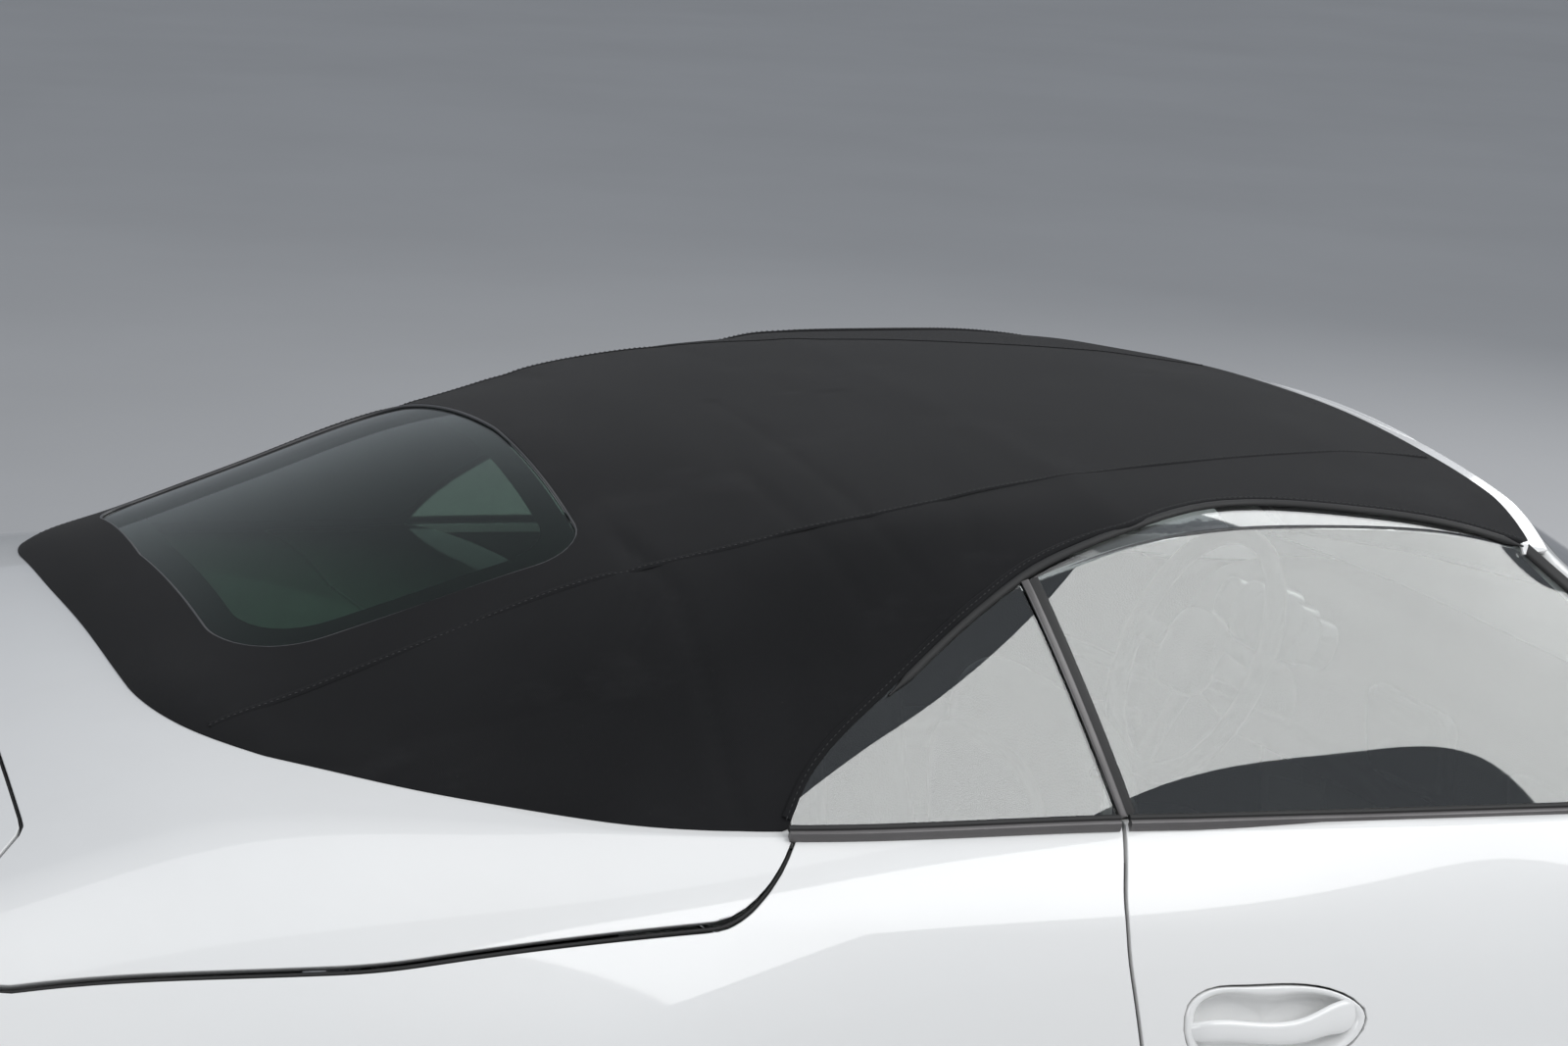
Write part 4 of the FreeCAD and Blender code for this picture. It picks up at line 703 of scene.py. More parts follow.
# %% Fabric
def fabric_finish():
    """Black cloth with threads, painted shade between them, clouds of dust and faint streaks."""
    material = bpy.data.materials.new("Black woven cloth")
    material.use_nodes = True
    tree = material.node_tree
    shader = tree.nodes["Principled BSDF"]
    shader.inputs["Sheen Weight"].default_value = 0.06
    shader.inputs["Sheen Roughness"].default_value = 0.45
    shader.inputs["Specular IOR Level"].default_value = 0.12
    cloth = grouped(tree, drift, {"Colour": (0.0100, 0.0102, 0.0110, 1), "Other": (0.0155, 0.0157, 0.0168, 1),
                                  "Scale": 3.5, "Smooth": 0.85, "Rough": 0.98})
    threads = grouped(tree, weave, {"Threads": 620.0})
    # The weave's painted shade darkens the cloth's colour in the hollows between threads.
    shaded = add(tree, "ShaderNodeMix", {0: 1.0, 6: cloth.outputs["Colour"], 7: threads.outputs["Painted shade"]},
                 data_type="RGBA", blend_type="MULTIPLY")
    smears = mapped(tree, object_noise(tree, 7.0, 9.0, 0.62, (0.6, 1.0, 1.6)), 0.56, 0.80, 0.0, 0.35)
    dusted = colour_mix(tree, smears, shaded.outputs[2], (0.036, 0.036, 0.038, 1))
    lint = mapped(tree, object_noise(tree, 480.0, 2.0), 0.74, 0.80, 0.0, 0.35)
    flecked = colour_mix(tree, lint, dusted, (0.12, 0.12, 0.12, 1))
    tree.links.new(flecked, shader.inputs["Base Color"])
    tree.links.new(cloth.outputs["Roughness"], shader.inputs["Roughness"])
    bump = add(tree, "ShaderNodeBump", {"Height": threads.outputs["Height"], "Distance": 0.00035,
                                        "Strength": 0.6})
    tree.links.new(bump.outputs[0], shader.inputs["Normal"])
    return material


fabric = fabric_finish()

# %% [markdown]
# The outer skin: the panels are all cut from the one body surface. Its grid lines lie at
# even steps along the car, with a few more where the nose and the tail close.

# %% Lines of the grid
RUNS = np.concatenate([np.linspace(-CAP, 0, 7)[:-1], np.linspace(0, BODY_RUN, 340),
                       BODY_RUN + np.linspace(0, CAP, 7)[1:]])
TURNS = np.concatenate([np.linspace(-1, 0, 20)[:-1], np.linspace(0, 1, 27)[:-1], np.linspace(1, 2, 18)[:-1],
                        np.linspace(2, 3, 13)[:-1], np.linspace(3, 4, 38)])
ALL_TURNS = np.concatenate([TURNS, 8 - TURNS[::-1][1:]])


def runs_between(x_low, x_high):
    """Grid lines between two places along X, with a little to spare."""
    low, high = run_at(x_high) - 0.03, run_at(x_low) + 0.03
    if x_high >= NOSE:
        low = -1
    if x_low <= TAIL:
        high = BODY_RUN + 1
    return RUNS[(RUNS >= low) & (RUNS <= high)]


def turns_between(low, high):
    """Grid lines of the left half between two turns, from 4 upwards over both halves."""
    lines = ALL_TURNS[(ALL_TURNS > low) & (ALL_TURNS < high)]
    return np.concatenate([[low], lines, [high]])


def body_panel(rule, x_range, t_range, wall=0.014, lip=0.0012, depth=0.0):
    """Panel of the body inside a rule."""
    return cut_panel(body_at, runs_between(*x_range), turns_between(*t_range), rule, wall, lip, depth)


GAP, SEAM = 0.005, 0.0008
ARCH_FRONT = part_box("tyre_front_left")[1].z / 2 + 0.028
ARCH_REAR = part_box("tyre_rear_left")[1].z / 2 + 0.028
SILL_TOP, DOOR_FRONT = 256, FRONT / MM - 512
# The axles, nose and tail in millimetres, from which the shut lines below are measured.
F, R, N, T = (place * 1000 for place in (FRONT, REAR, NOSE, TAIL))
DOOR_LINE = [(DOOR_FRONT - 26, 1500, 0), (DOOR_FRONT, SILL_TOP + 6, 60), (R + 800, SILL_TOP + 6, 110),
             (R + 724, 640, 250), (R + 703, 790, 300), (R + 703, 855, 150), (R + 735, 1000, 0),
             (R + 735, 1500, 0)]
BUMPER_FRONT = [(F + 100, -100, 0), (F + 345, 540, 40), (N - 240, 596, 60), (N - 180, 900, 0),
                (N + 200, 900, 0), (N + 200, -100, 0)]
BUMPER_REAR = [(R - 100, -100, 0), (R - 362, 450, 60), (T + 260, 598, 200), (T + 60, 622, 0),
               (T - 200, 622, 0), (T - 200, -100, 0)]
BONNET_LINE = [(F - 498, -606, 30), (F - 330, -280, 700), (F - 330, 280, 700), (F - 498, 606, 30),
               (N - 300, 470, 120), (N - 186, 200, 500), (N - 186, -200, 500), (N - 300, -470, 120)]
ENGINE_LINE = [(R - 466, -330, 600), (R - 510, -580, 50), (T + 160, -520, 300), (T - 200, -430, 0),
               (T - 200, 430, 0), (T + 160, 520, 300), (R - 510, 580, 50), (R - 466, 330, 600)]
LID_HALF = [(R + 331, -755, 0), (R + 278, -824, 130), (R - 150, -826, 1500), (R - 535, -803, 100),
            (R - 600, -775, 35), (R - 470, -600, 60), (R - 440, 0, 0)]
TOP_LID_LINE = (LID_HALF + [(x, -y, radius) for x, y, radius in LID_HALF[-2::-1]]
                + [(R + 60, 560, 200), (R + 10, 0, 0), (R + 60, -560, 200)])
TAIL_LAMP_LINE = [(476, 655, 12), (520, 716, 30), (700, 722, 60), (860, 690, 10), (860, 632, 10),
                  (560, 628, 30)]
COWL_LINE = [(F - 720, -642, 20), (F - 480, -612, 0), (F - 300, -280, 600), (F - 300, 280, 600),
             (F - 480, 612, 0), (F - 720, 642, 20)]

door_side = drawn_in("side", DOOR_LINE)
front_bumper_side = drawn_in("side", BUMPER_FRONT)
rear_bumper_side = drawn_in("side", BUMPER_REAR)
bonnet_plan = drawn_in("plan", BONNET_LINE)
engine_plan = drawn_in("plan", ENGINE_LINE)
top_lid_plan = drawn_in("plan", TOP_LID_LINE)
cowl_plan = drawn_in("plan", COWL_LINE)
tail_lamp_rear = drawn_in("rear", TAIL_LAMP_LINE)


def beyond(rule, gap):
    """Outside a neighbour by a gap."""
    return lambda p: gap - rule(p)


def arch(x, radius, wheel_z):
    """Signed distance to a wheel arch: round above the axle, straight down below it."""
    return lambda p: np.hypot(p[..., 0] - x, np.maximum(p[..., 2] - wheel_z, 0)) - radius


front_arch = arch(FRONT, ARCH_FRONT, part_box("tyre_front_left")[1].z / 2)
rear_arch = arch(REAR, ARCH_REAR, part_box("tyre_rear_left")[1].z / 2)


def above(z):
    """Points higher than a level."""
    return lambda p: z - p[..., 2]


def ahead(x):
    """Points further forward than X."""
    return lambda p: x - p[..., 0]


def behind(x):
    """Points further back than X."""
    return lambda p: p[..., 0] - x


def oval(p, grow=0.0):
    """Signed distance, to first order, to the left headlamp's oval, seen along its own axis."""
    q = p - LAMP_CENTRE
    u, v = q @ LAMP_ALONG, q @ LAMP_ACROSS
    a, b = LAMP_SIZE
    level = np.sqrt((u / a) ** 2 + (v / b) ** 2)
    slope = np.sqrt((u / a**2) ** 2 + (v / b**2) ** 2) / np.maximum(level, 1e-6)
    return (level - 1) / np.maximum(slope, 1e-6) - grow


tilt, toe = math.radians(38), math.radians(8)
LAMP_CENTRE = np.array([NOSE - 0.400, 0.628, 0.680])
LAMP_SIZE = (0.128, 0.096)
LAMP_ALONG = np.array([math.cos(tilt) * math.cos(toe), math.cos(tilt) * math.sin(toe), -math.sin(tilt)])
LAMP_ACROSS = np.array([-math.sin(toe), math.cos(toe), 0.0])
LAMP_AXIS = np.cross(LAMP_ALONG, LAMP_ACROSS)

INLET = [(265, 250, 30), (300, 385, 30), (560, 400, 40), (610, 330, 40), (560, 245, 30)]
CENTRE_INLET = [(-190, 225, 30), (-215, 330, 30), (215, 330, 30), (190, 225, 30)]
inlet_left = drawn_in("rear", INLET)
inlet_middle = drawn_in("rear", CENTRE_INLET)
TIP_Y, TIP_Z, TIP_RADIUS = 0.440, 0.310, 0.046


def inlets(p):
    """Signed distance to the three openings in the nose."""
    q = np.array(p)
    q[..., 1] = np.abs(q[..., 1])
    holes = np.minimum(inlet_left(q), inlet_middle(p))
    return np.maximum(holes, NOSE - 0.4 - p[..., 0])


def pipe_holes(p):
    """Signed distance to the cut-outs for the pipe ends: round above, open below."""
    y = np.abs(p[..., 1]) - TIP_Y
    z = np.maximum(p[..., 2] - TIP_Z, 0)
    return np.maximum(np.hypot(y, z) - TIP_RADIUS - 0.012, p[..., 0] - TAIL - 0.35)


def cabin_top(p):
    """Signed distance to the open top of the cabin."""
    x, y, z = p[..., 0], np.abs(p[..., 1]), p[..., 2]
    return np.max([REAR + 0.33 - x, x - FRONT + 0.56, y - 0.7665, 0.78 - z], axis=0)


HOLE, LID = 0.0046, 0.0006
tail_lamp = inside_all(tail_lamp_rear, behind(TAIL + 0.275))
wing_rule = inside_all(
    ahead(DOOR_FRONT * MM - 0.1), beyond(door_side, 0.0064), beyond(front_bumper_side, SEAM),
    beyond(bonnet_plan, HOLE), beyond(cowl_plan, SEAM), outside(front_arch),
    above(SILL_TOP * MM + SEAM), lambda p: SEAM - oval(p))
quarter_rule = inside_all(
    behind(REAR + 0.9), beyond(door_side, HOLE), beyond(top_lid_plan, HOLE), beyond(engine_plan, HOLE),
    beyond(rear_bumper_side, SEAM), beyond(tail_lamp, SEAM), outside(rear_arch),
    above(SILL_TOP * MM + SEAM), outside(cabin_top))
sill_rule = inside_all(
    behind(FRONT - ARCH_FRONT + 0.02), ahead(REAR + ARCH_REAR - 0.02), outside(front_arch),
    outside(rear_arch), outside(above(SILL_TOP * MM)))
front_bumper_rule = inside_all(front_bumper_side, outside(front_arch), outside(inlets),
                               beyond(bonnet_plan, HOLE))
rear_bumper_rule = inside_all(rear_bumper_side, outside(rear_arch), outside(pipe_holes))

wing = body_panel(wing_rule, (DOOR_FRONT * MM - 0.1, NOSE), (0.0, 4.0))
quarter = body_panel(quarter_rule, (TAIL, REAR + 0.9), (0.0, 4.0))
sill = body_panel(sill_rule, (REAR + ARCH_REAR - 0.04, FRONT - ARCH_FRONT + 0.04), (-0.5, 1.0))
put("front_wing_left_skin", wing, "root", paint, ["front_wing_left"])
put("front_wing_right_skin", mirrored(wing), "root", paint, ["front_wing_right"])
put("quarter_left_skin", quarter, "root", paint, ["quarter_panel_left"])
put("quarter_right_skin", mirrored(quarter), "root", paint, ["quarter_panel_right"])
put("sill_skins", both(sill), "root", paint)
put("front_bumper_skin", body_panel(front_bumper_rule, (FRONT, NOSE), (-1.0, 9.0)), "root", paint,
    ["front_bumper"])
put("rear_bumper_skin", body_panel(rear_bumper_rule, (TAIL, REAR), (-1.0, 9.0)), "root", paint,
    ["rear_bumper"])

# %% [markdown]
# The lids and doors are the same kind of panel; the doors, bonnet and engine lid each ride on their own joint's
# body, the top lid on the root.
# A door is one thick slab between its outer skin and its trim, so that it keeps its
# shape when it stands open.

# %% Doors and lids
handle_spots = np.array([(-303, 705), (-298, 735), (-282, 747), (-231, 751), (-175, 749), (-123, 741),
                         (-92, 728), (-74, 709), (-82, 688), (-106, 671), (-150, 659), (-205, 655),
                         (-262, 661), (-293, 680), (-303, 705)]) * MM
HANDLE_LINE = curve_through(handle_spots, 73)[:-1]
door_rule = inside_all(drawn_in("side", DOOR_LINE, LID * 0.5),
                       lambda p: 0.0016 - distance_to(HANDLE_LINE, p @ VIEWS["side"]))
door = body_panel(door_rule, (R * MM + 0.66, DOOR_FRONT * MM), (0.0, 3.02), wall=0.052)
put("door_left_skin", door, "door_left", paint, ["door_left"])
put("door_right_skin", mirrored(door), "door_right", paint, ["door_right"])
bonnet = body_panel(drawn_in("plan", BONNET_LINE, LID), (FRONT - 0.53, NOSE - 0.12), (2.0, 6.0), wall=0.016)
put("bonnet_skin", bonnet, "bonnet", paint, ["bonnet"])
top_lid = body_panel(inside_all(drawn_in("plan", TOP_LID_LINE, LID), beyond(engine_plan, HOLE)),
                     (REAR - 0.62, REAR + 0.34), (1.5, 6.5), wall=0.016)
put("top_lid_skin", top_lid, "root", paint, ["top_compartment_lid"])


def louvres(p):
    """Signed distance to the slots of the engine lid, seen from above."""
    x, y = p[..., 0] - (REAR - 0.540), np.abs(p[..., 1])
    slot = np.clip(np.round(-x / 0.030 - 1 / 3), 0, 6)
    from_middle = np.abs(x + 0.010 + 0.030 * slot) - 0.0085
    return np.maximum(from_middle, np.abs(y - 0.203) - 0.192)


ABOVE_FLOOR = above(0.3)
engine_rule = inside_all(drawn_in("plan", ENGINE_LINE, LID), beyond(rear_bumper_side, SEAM), outside(louvres),
                         ABOVE_FLOOR)
engine_runs = np.unique(np.concatenate([
    runs_between(TAIL, REAR - 0.45),
    run_at(REAR - 0.540 - 0.030 * np.arange(7)[:, None]
           + np.array([-0.0185, -0.0175, -0.0025, -0.0015])).ravel()]))
engine_lid = cut_panel(body_at, engine_runs, turns_between(2.0, 6.0), engine_rule, 0.016)
put("engine_lid_skin", engine_lid, "engine_lid", paint, ["engine_lid"])

# %% [markdown]
# Trim, seals, seams and stitches follow lines that are drawn flat, like the shut lines.
# Each point of such a line is dropped onto the surface by Newton's method: from the
# nearest point of a coarse grid, the two parameters are corrected until the surface's
# point lies under the drawn one.


# %% Strips and tubes that follow the surface
def dropped(surface, view, line, runs, turns):
    """Run and turn at which a surface lies over the points of a line drawn in a view."""
    axes = VIEWS[view]
    s, t = np.meshgrid(runs, turns, indexing="ij")
    grid = (surface(s, t) @ axes).reshape(-1, 2)
    near = ((line[:, None] - grid[None]) ** 2).sum(-1).argmin(1)
    s, t = s.ravel()[near], t.ravel()[near]
    for _ in range(6):
        here = surface(s, t) @ axes
        ds = (surface(s + 1e-4, t) @ axes - here) / 1e-4
        dt = (surface(s, t + 1e-3) @ axes - here) / 1e-3
        det = ds[:, 0] * dt[:, 1] - ds[:, 1] * dt[:, 0]
        det = np.where(np.abs(det) < 1e-7, 1e-7, det)
        miss = line - here
        s = s + np.clip((miss[:, 0] * dt[:, 1] - miss[:, 1] * dt[:, 0]) / det, -0.05, 0.05)
        t = t + np.clip((ds[:, 0] * miss[:, 1] - ds[:, 1] * miss[:, 0]) / det, -0.1, 0.1)
        t = np.clip(t, turns.min(), turns.max())
    return s, t


def evenly(line, step):
    """Points at even steps along an open line."""
    lengths = run_along(line)
    at = np.linspace(0, lengths[-1], max(2, int(round(lengths[-1] / step)) + 1))
    return np.stack([np.interp(at, lengths, column) for column in line.T], -1)


def evenly_round(line, step):
    """Points at even steps round a closed line, the first one again at the end."""
    return evenly(np.concatenate([line, line[:1]]), step)


def beside(line, offset):
    """An open flat line moved to its left by an offset."""
    along = np.gradient(line, axis=0)
    along /= np.maximum(np.linalg.norm(along, axis=1, keepdims=True), 1e-12)
    return line + np.stack([-along[:, 1], along[:, 0]], -1) * offset


def laid(surface, view, line, runs, turns, lift=0.0):
    """Points of a flat line on a surface, and the surface's normals there."""
    s, t = dropped(surface, view, line, runs, turns)
    normals = normals_at(surface, s, t)
    return surface(s, t) + normals * lift, normals


def facing_along(shell, facing):
    """An open shell turned so that its faces look, taken together, along a direction."""
    p, q, t, n = shell
    face = np.cross(p[q[:, 1]] - p[q[:, 0]], p[q[:, 3]] - p[q[:, 0]]).sum(0)
    return (p, q[:, ::-1], t, n) if face @ facing < 0 else shell


def strip(surface, view, line, offsets, lifts, runs, turns):
    """Strip along a line: one row of points for each offset, each with its own lift."""
    rows = [laid(surface, view, beside(line, offset), runs, turns, lift)
            for offset, lift in zip(offsets, lifts)]
    shell = net(np.stack([points for points, _ in rows], 1))
    return facing_along(shell, sum(normals.sum(0) for _, normals in rows))


def aside_of(path, facing):
    """Unit vectors across a path, square to it and to a direction at each point."""
    along = np.gradient(path, axis=0)
    return np.cross(along / np.linalg.norm(along, axis=1, keepdims=True), facing)


def band(path, facing, offsets, lifts):
    """Strip along a path on the surface: each row stands off sideways and outwards."""
    aside = aside_of(path, facing)
    rows = [path + aside * offset + facing * lift for offset, lift in zip(offsets, lifts)]
    return facing_along(net(np.stack(rows, 1)), facing.sum(0))


def facing_out(shell):
    """A closed shell turned so that its volume is positive."""
    p, q, t, n = shell
    both_halves = np.concatenate([q[:, [0, 1, 2]], q[:, [0, 2, 3]], t])
    a, b, c = (p[both_halves[:, k]] - p.mean(0) for k in range(3))
    if (a * np.cross(b, c)).sum() < 0:
        return p, q[:, ::-1], t[:, ::-1], n
    return shell


def sweep(path, up, section, loop=False):
    """Closed shell of a flat section (across, up) carried along a path."""
    along = np.gradient(path, axis=0)
    if loop:
        along = np.roll(path, -1, 0) - np.roll(path, 1, 0)
    along /= np.linalg.norm(along, axis=1, keepdims=True)
    up = np.broadcast_to(up, path.shape)
    across = np.cross(along, up)
    across /= np.linalg.norm(across, axis=1, keepdims=True)
    up = np.cross(across, along)
    section = np.asarray(section, float)
    if section.ndim == 2:
        section = np.broadcast_to(section, (len(path), *section.shape))
    points = path[:, None] + across[:, None] * section[..., :1] + up[:, None] * section[..., 1:]
    p, q, t, n = net(points, close_u=loop, close_v=True)
    if not loop:
        m = section.shape[1]
        ends = np.stack([points[0].mean(0), points[-1].mean(0)])
        ring = np.arange(m)
        after = (ring + 1) % m
        last = len(p) - m
        first_fan = np.stack([ring, after, np.full(m, len(p))], -1)
        last_fan = np.stack([after + last, ring + last, np.full(m, len(p) + 1)], -1)
        p = np.concatenate([p, ends])
        t = np.concatenate([first_fan, last_fan])
        n = np.zeros_like(p)
    return facing_out((p, q, t, n))


def ring_section(across, up, count=12, power=2.0):
    """Oval or, with a higher power, a rounded rectangle as a section."""
    angle = np.linspace(0, 2 * np.pi, count, endpoint=False)
    c, s = np.cos(angle), np.sin(angle)
    return np.stack([size * np.sign(part) * np.abs(part) ** (2 / power)
                     for size, part in ((across, c), (up, s))], -1)


STITCH_LENGTH, STITCH_PITCH, THREAD = 0.0042, 0.0068, 0.0009


def stitches(surface, view, line, runs, turns, lift, shift=0.0):
    """Row of sewn stitches: each a small rounded bar that dips into the cloth at both ends."""
    middle_points, normals = laid(surface, view, evenly(line, STITCH_PITCH), runs, turns, lift)
    along = np.gradient(middle_points, axis=0)
    along /= np.linalg.norm(along, axis=1, keepdims=True)
    across = np.cross(normals, along)
    middle_points = middle_points - across * shift
    share = np.array([-0.5, -0.3, 0.0, 0.3, 0.5])
    rise = np.array([-0.6, 0.3, 0.6, 0.3, -0.6]) * THREAD
    angle = np.linspace(0, 2 * np.pi, 5, endpoint=False)
    width = np.array([0.4, 1.0, 1.0, 1.0, 0.4]) * THREAD / 2
    reach = along[:, None] * (share * STITCH_LENGTH)[:, None]
    spine = middle_points[:, None] + reach + normals[:, None] * rise[:, None]
    ring = across[:, None, None] * np.cos(angle)[:, None] + normals[:, None, None] * np.sin(angle)[:, None]
    points = spine[:, :, None] + ring * width[:, None, None]
    number = np.arange(points[..., 0].size).reshape(points.shape[:3])
    after = np.roll(number, -1, 2)
    quads = np.stack([number[:, :-1], number[:, 1:], after[:, 1:], after[:, :-1]], -1).reshape(-1, 4)
    return points.reshape(-1, 3), quads[:, ::-1], np.zeros((0, 3), int), np.zeros((points[..., 0].size, 3))


# %% [markdown]
# The soft top is one stretched sheet over its bows, sewn from a middle panel and two
# side panels. It lies on the roof surface, with slack that shows as shallow folds: each
# fold is a line with a bell-shaped dent, depth exp(-(d / width)^2), and long, low waves
# run through the rest. The hem follows the side glass, the lower edge stands on the deck.

# %% Soft top
HEM_SPOTS = np.array([(1298, 1188), (1214, 1212), (1083, 1231), (953, 1237), (824, 1230), (699, 1203),
                      (639, 1181), (573, 1144), (444, 1053), (353, 980), (326, 941)]) + [R, 0]
HEM_LINE = ([(F - 696, 1500, 0), (F - 696, 1172, 0)]
            + [(x, z, 0) for x, z in curve_through(HEM_SPOTS, 48)]
            + [(R + 300, 850, 0), (T, 850, 0), (T, 1500, 0)])
WINDOW_LINE = [(R + 200, -413, 60), (R + 214, 0, 0), (R + 200, 413, 60), (R - 204, 381, 120), (R - 222, 0, 0),
               (R - 204, -381, 120)]
hem_side = drawn_in("side", HEM_LINE)
window_plan = drawn_in("plan", WINDOW_LINE)
FOLDS = [
    (-1, 0.0021, 0.013, [(-830, 1170), (-808, 1148), (-810, 1108), (-807, 1048), (-807, 986), (-800, 950)]),
    (-1, 0.0016, 0.013, [(-828, 1167), (-843, 1137), (-869, 1091)]),
    (-1, 0.0013, 0.014, [(-649, 1217), (-635, 1185), (-611, 1125)]),
    (-1, 0.0012, 0.016, [(-750, 949), (-736, 1005), (-709, 1077)]),
    (-1, 0.0010, 0.015, [(-406, 1268), (-455, 1236), (-483, 1183)]),
    (-1, 0.0012, 0.012, [(-578, 1251), (-566, 1201), (-547, 1174)]),
    (-1, 0.0009, 0.020, [(-960, 1007), (-850, 1075), (-741, 1156)]),
    (-1, 0.0009, 0.022, [(-1240, 1010), (-1100, 1005), (-960, 985)]),
    (1, 0.0019, 0.014, [(-850, 1166), (-836, 1120), (-838, 1060), (-822, 985)]),
    (1, 0.0013, 0.015, [(-700, 1210), (-676, 1160), (-650, 1110)]),
    (1, 0.0012, 0.018, [(-730, 945), (-716, 1010), (-700, 1080)]),
    (1, 0.0009, 0.018, [(-470, 1262), (-480, 1215), (-500, 1170)]),
]
BOWS = [(-0.330, 0.0016, 0.030), (-0.690, 0.0012, 0.045), (0.105, 0.0010, 0.040)]


def fold_depth(p):
    """How far the cloth lies in or out of the smooth roof: bells along folds, bows and long waves."""
    x, y, z = p[..., 0], p[..., 1], p[..., 2]
    wide = 0.0007 * np.sin(9 * x + 4 * y) * np.sin(11 * y - 5 * z)
    depth = wide + 0.0004 * np.sin(23 * x + 9 * z) * np.sin(17 * y)
    for side, deep, width, line in FOLDS:
        spots = evenly(np.array(line, float) * MM, 0.012)
        away = np.sqrt(((p[..., None, [0, 2]] - spots) ** 2).sum(-1)).min(-1)
        depth = depth - deep * np.exp(-(away / width) ** 2) * (y * side > 0)
    for bow_x, height, width in BOWS:
        lean = x - bow_x - 0.16 * np.minimum(np.abs(y), 0.45) ** 2
        depth = depth + height * np.exp(-(lean / width) ** 2) * np.clip((z - 1.13) / 0.1, 0, 1)
    return depth


def cloth_at(s, t):
    """Outer face of the cloth."""
    p = roof_at(s, t)
    return p + normals_at(roof_at, s, t) * fold_depth(p)[..., None]


HEADER_HALF, HEADER_BOW = 0.603, 0.054


def behind_arc(p, middle_x):
    """Signed distance behind an arc across the screen's header, with its middle at a place along X."""
    radius = (HEADER_HALF**2 + HEADER_BOW**2) / (2 * HEADER_BOW)
    edge = middle_x - radius + np.sqrt(radius**2 - np.minimum(np.abs(p[..., 1]), 0.75) ** 2)
    return p[..., 0] - edge


def behind_header(p):
    """Signed distance behind the arc at which the cloth ends on the screen's header."""
    return behind_arc(p, FRONT - 0.984)


def over_deck(p, gap=0.0006):
    """Signed distance above the deck."""
    return deck_height(p[..., 0], p[..., 1]) + gap - p[..., 2]


ROOF_RUNS = np.linspace(0.14, ROOF_RUN, 220)
ROOF_TURNS = np.concatenate([np.linspace(0, 1, 26)[:-1], np.linspace(1, 2, 30)[:-1], np.linspace(2, 3, 36)])
ROOF_TURNS = np.concatenate([ROOF_TURNS, 6 - ROOF_TURNS[::-1][1:]])
top_rule = inside_all(hem_side, behind_header, beyond(window_plan, 0.0), over_deck)
soft_top = cut_panel(cloth_at, ROOF_RUNS, ROOF_TURNS, top_rule, wall=0.006, lip=0.0010)
top_piece = put("soft_top_cloth", soft_top, "root", fabric, ["soft_top"])
spots, faces = soft_top[:2]


def lining_at(s, t):
    """Outer face of the lining, a little inside the roof surface."""
    return roof_at(s, t) - normals_at(roof_at, s, t) * 0.011


lining_rule = inside_all(drawn_in("side", HEM_LINE, -0.012), lambda p: behind_header(p) + 0.004,
                         beyond(window_plan, 0.014), lambda p: over_deck(p, 0.012))
liner = cut_panel(lining_at, ROOF_RUNS[::3], ROOF_TURNS[::3], lining_rule, wall=0.0018, lip=0.0006)
liner_piece = put("soft_top_lining", liner, "root", carpet)

SEAM_LINE = np.array([(-1351, 465), (-1337, 464), (-1077, 457), (-855, 463), (-718, 484), (-646, 492),
                      (-588, 494), (-527, 492), (-459, 475), (-390, 457), (-252, 430), (-104, 392),
                      (52, 351), (180, 318), (262, 300)], float) * MM
seam_plan = evenly(SEAM_LINE, 0.012)
REACH = 6  # neighbours on each side in the running mean that smooths the drawn seam
shares = np.ones(2 * REACH + 1) / (2 * REACH + 1)
seam_y = np.convolve(np.pad(seam_plan[:, 1], REACH, mode="edge"), shares, "valid")
seam_plan = np.stack([seam_plan[:, 0], seam_y], -1)
NEAR_TURNS = np.linspace(0.8, 2.9, 60)
seam_path, _ = laid(cloth_at, "plan", seam_plan, ROOF_RUNS, NEAR_TURNS)
seam_plan = seam_plan[over_deck(seam_path, 0.006) < 0]
lap = strip(cloth_at, "plan", seam_plan, [-0.0004, 0.0, 0.0010, 0.0075, 0.0090],
            [-0.0004, 0.0009, 0.0013, 0.0009, -0.0002], ROOF_RUNS, NEAR_TURNS)
put("soft_top_seams", both(lap), "root", fabric, sharp=50)
seam_thread = stitches(cloth_at, "plan", beside(seam_plan, 0.0048), ROOF_RUNS, NEAR_TURNS, 0.0011)

hem_points = rounded(HEM_LINE)
hem_x, hem_z = hem_points.T
hem_line = evenly(hem_points[(hem_x > REAR + 0.305) & (hem_x < FRONT - 1.0) & (hem_z < 1.3)], 0.010)
hem_line = hem_line[hem_line[:, 1] > 0.935]
SIDE_TURNS = np.linspace(0.02, 1.9, 60)
hem_path, hem_facing = laid(cloth_at, "side", hem_line, ROOF_RUNS, SIDE_TURNS)
hem_aside = aside_of(hem_path, hem_facing)
inwards = np.sign((hem_aside @ np.array([0, -0.3, 1.0])).sum())
hem_band = band(hem_path, hem_facing, np.array([-0.0008, -0.0004, 0.0015, 0.0085, 0.0100, 0.0106]) * inwards,
                [-0.0045, 0.0012, 0.0022, 0.0022, 0.0013, -0.0006])
put("soft_top_hem", both(hem_band), "root", fabric, sharp=60)
hem_thread = stitches(cloth_at, "side", hem_line, ROOF_RUNS, SIDE_TURNS, 0.0024, shift=0.0052 * inwards)
thread = finish("Dark thread", (0.03, 0.03, 0.031), (0.045, 0.045, 0.046), rough=(0.6, 0.8), scale=60.0,
                grain_scale=2000.0, grain_depth=0.00005)
threads = joined([both(seam_thread), both(hem_thread)])
put("soft_top_stitching", threads, "root", thread, sharp=40)

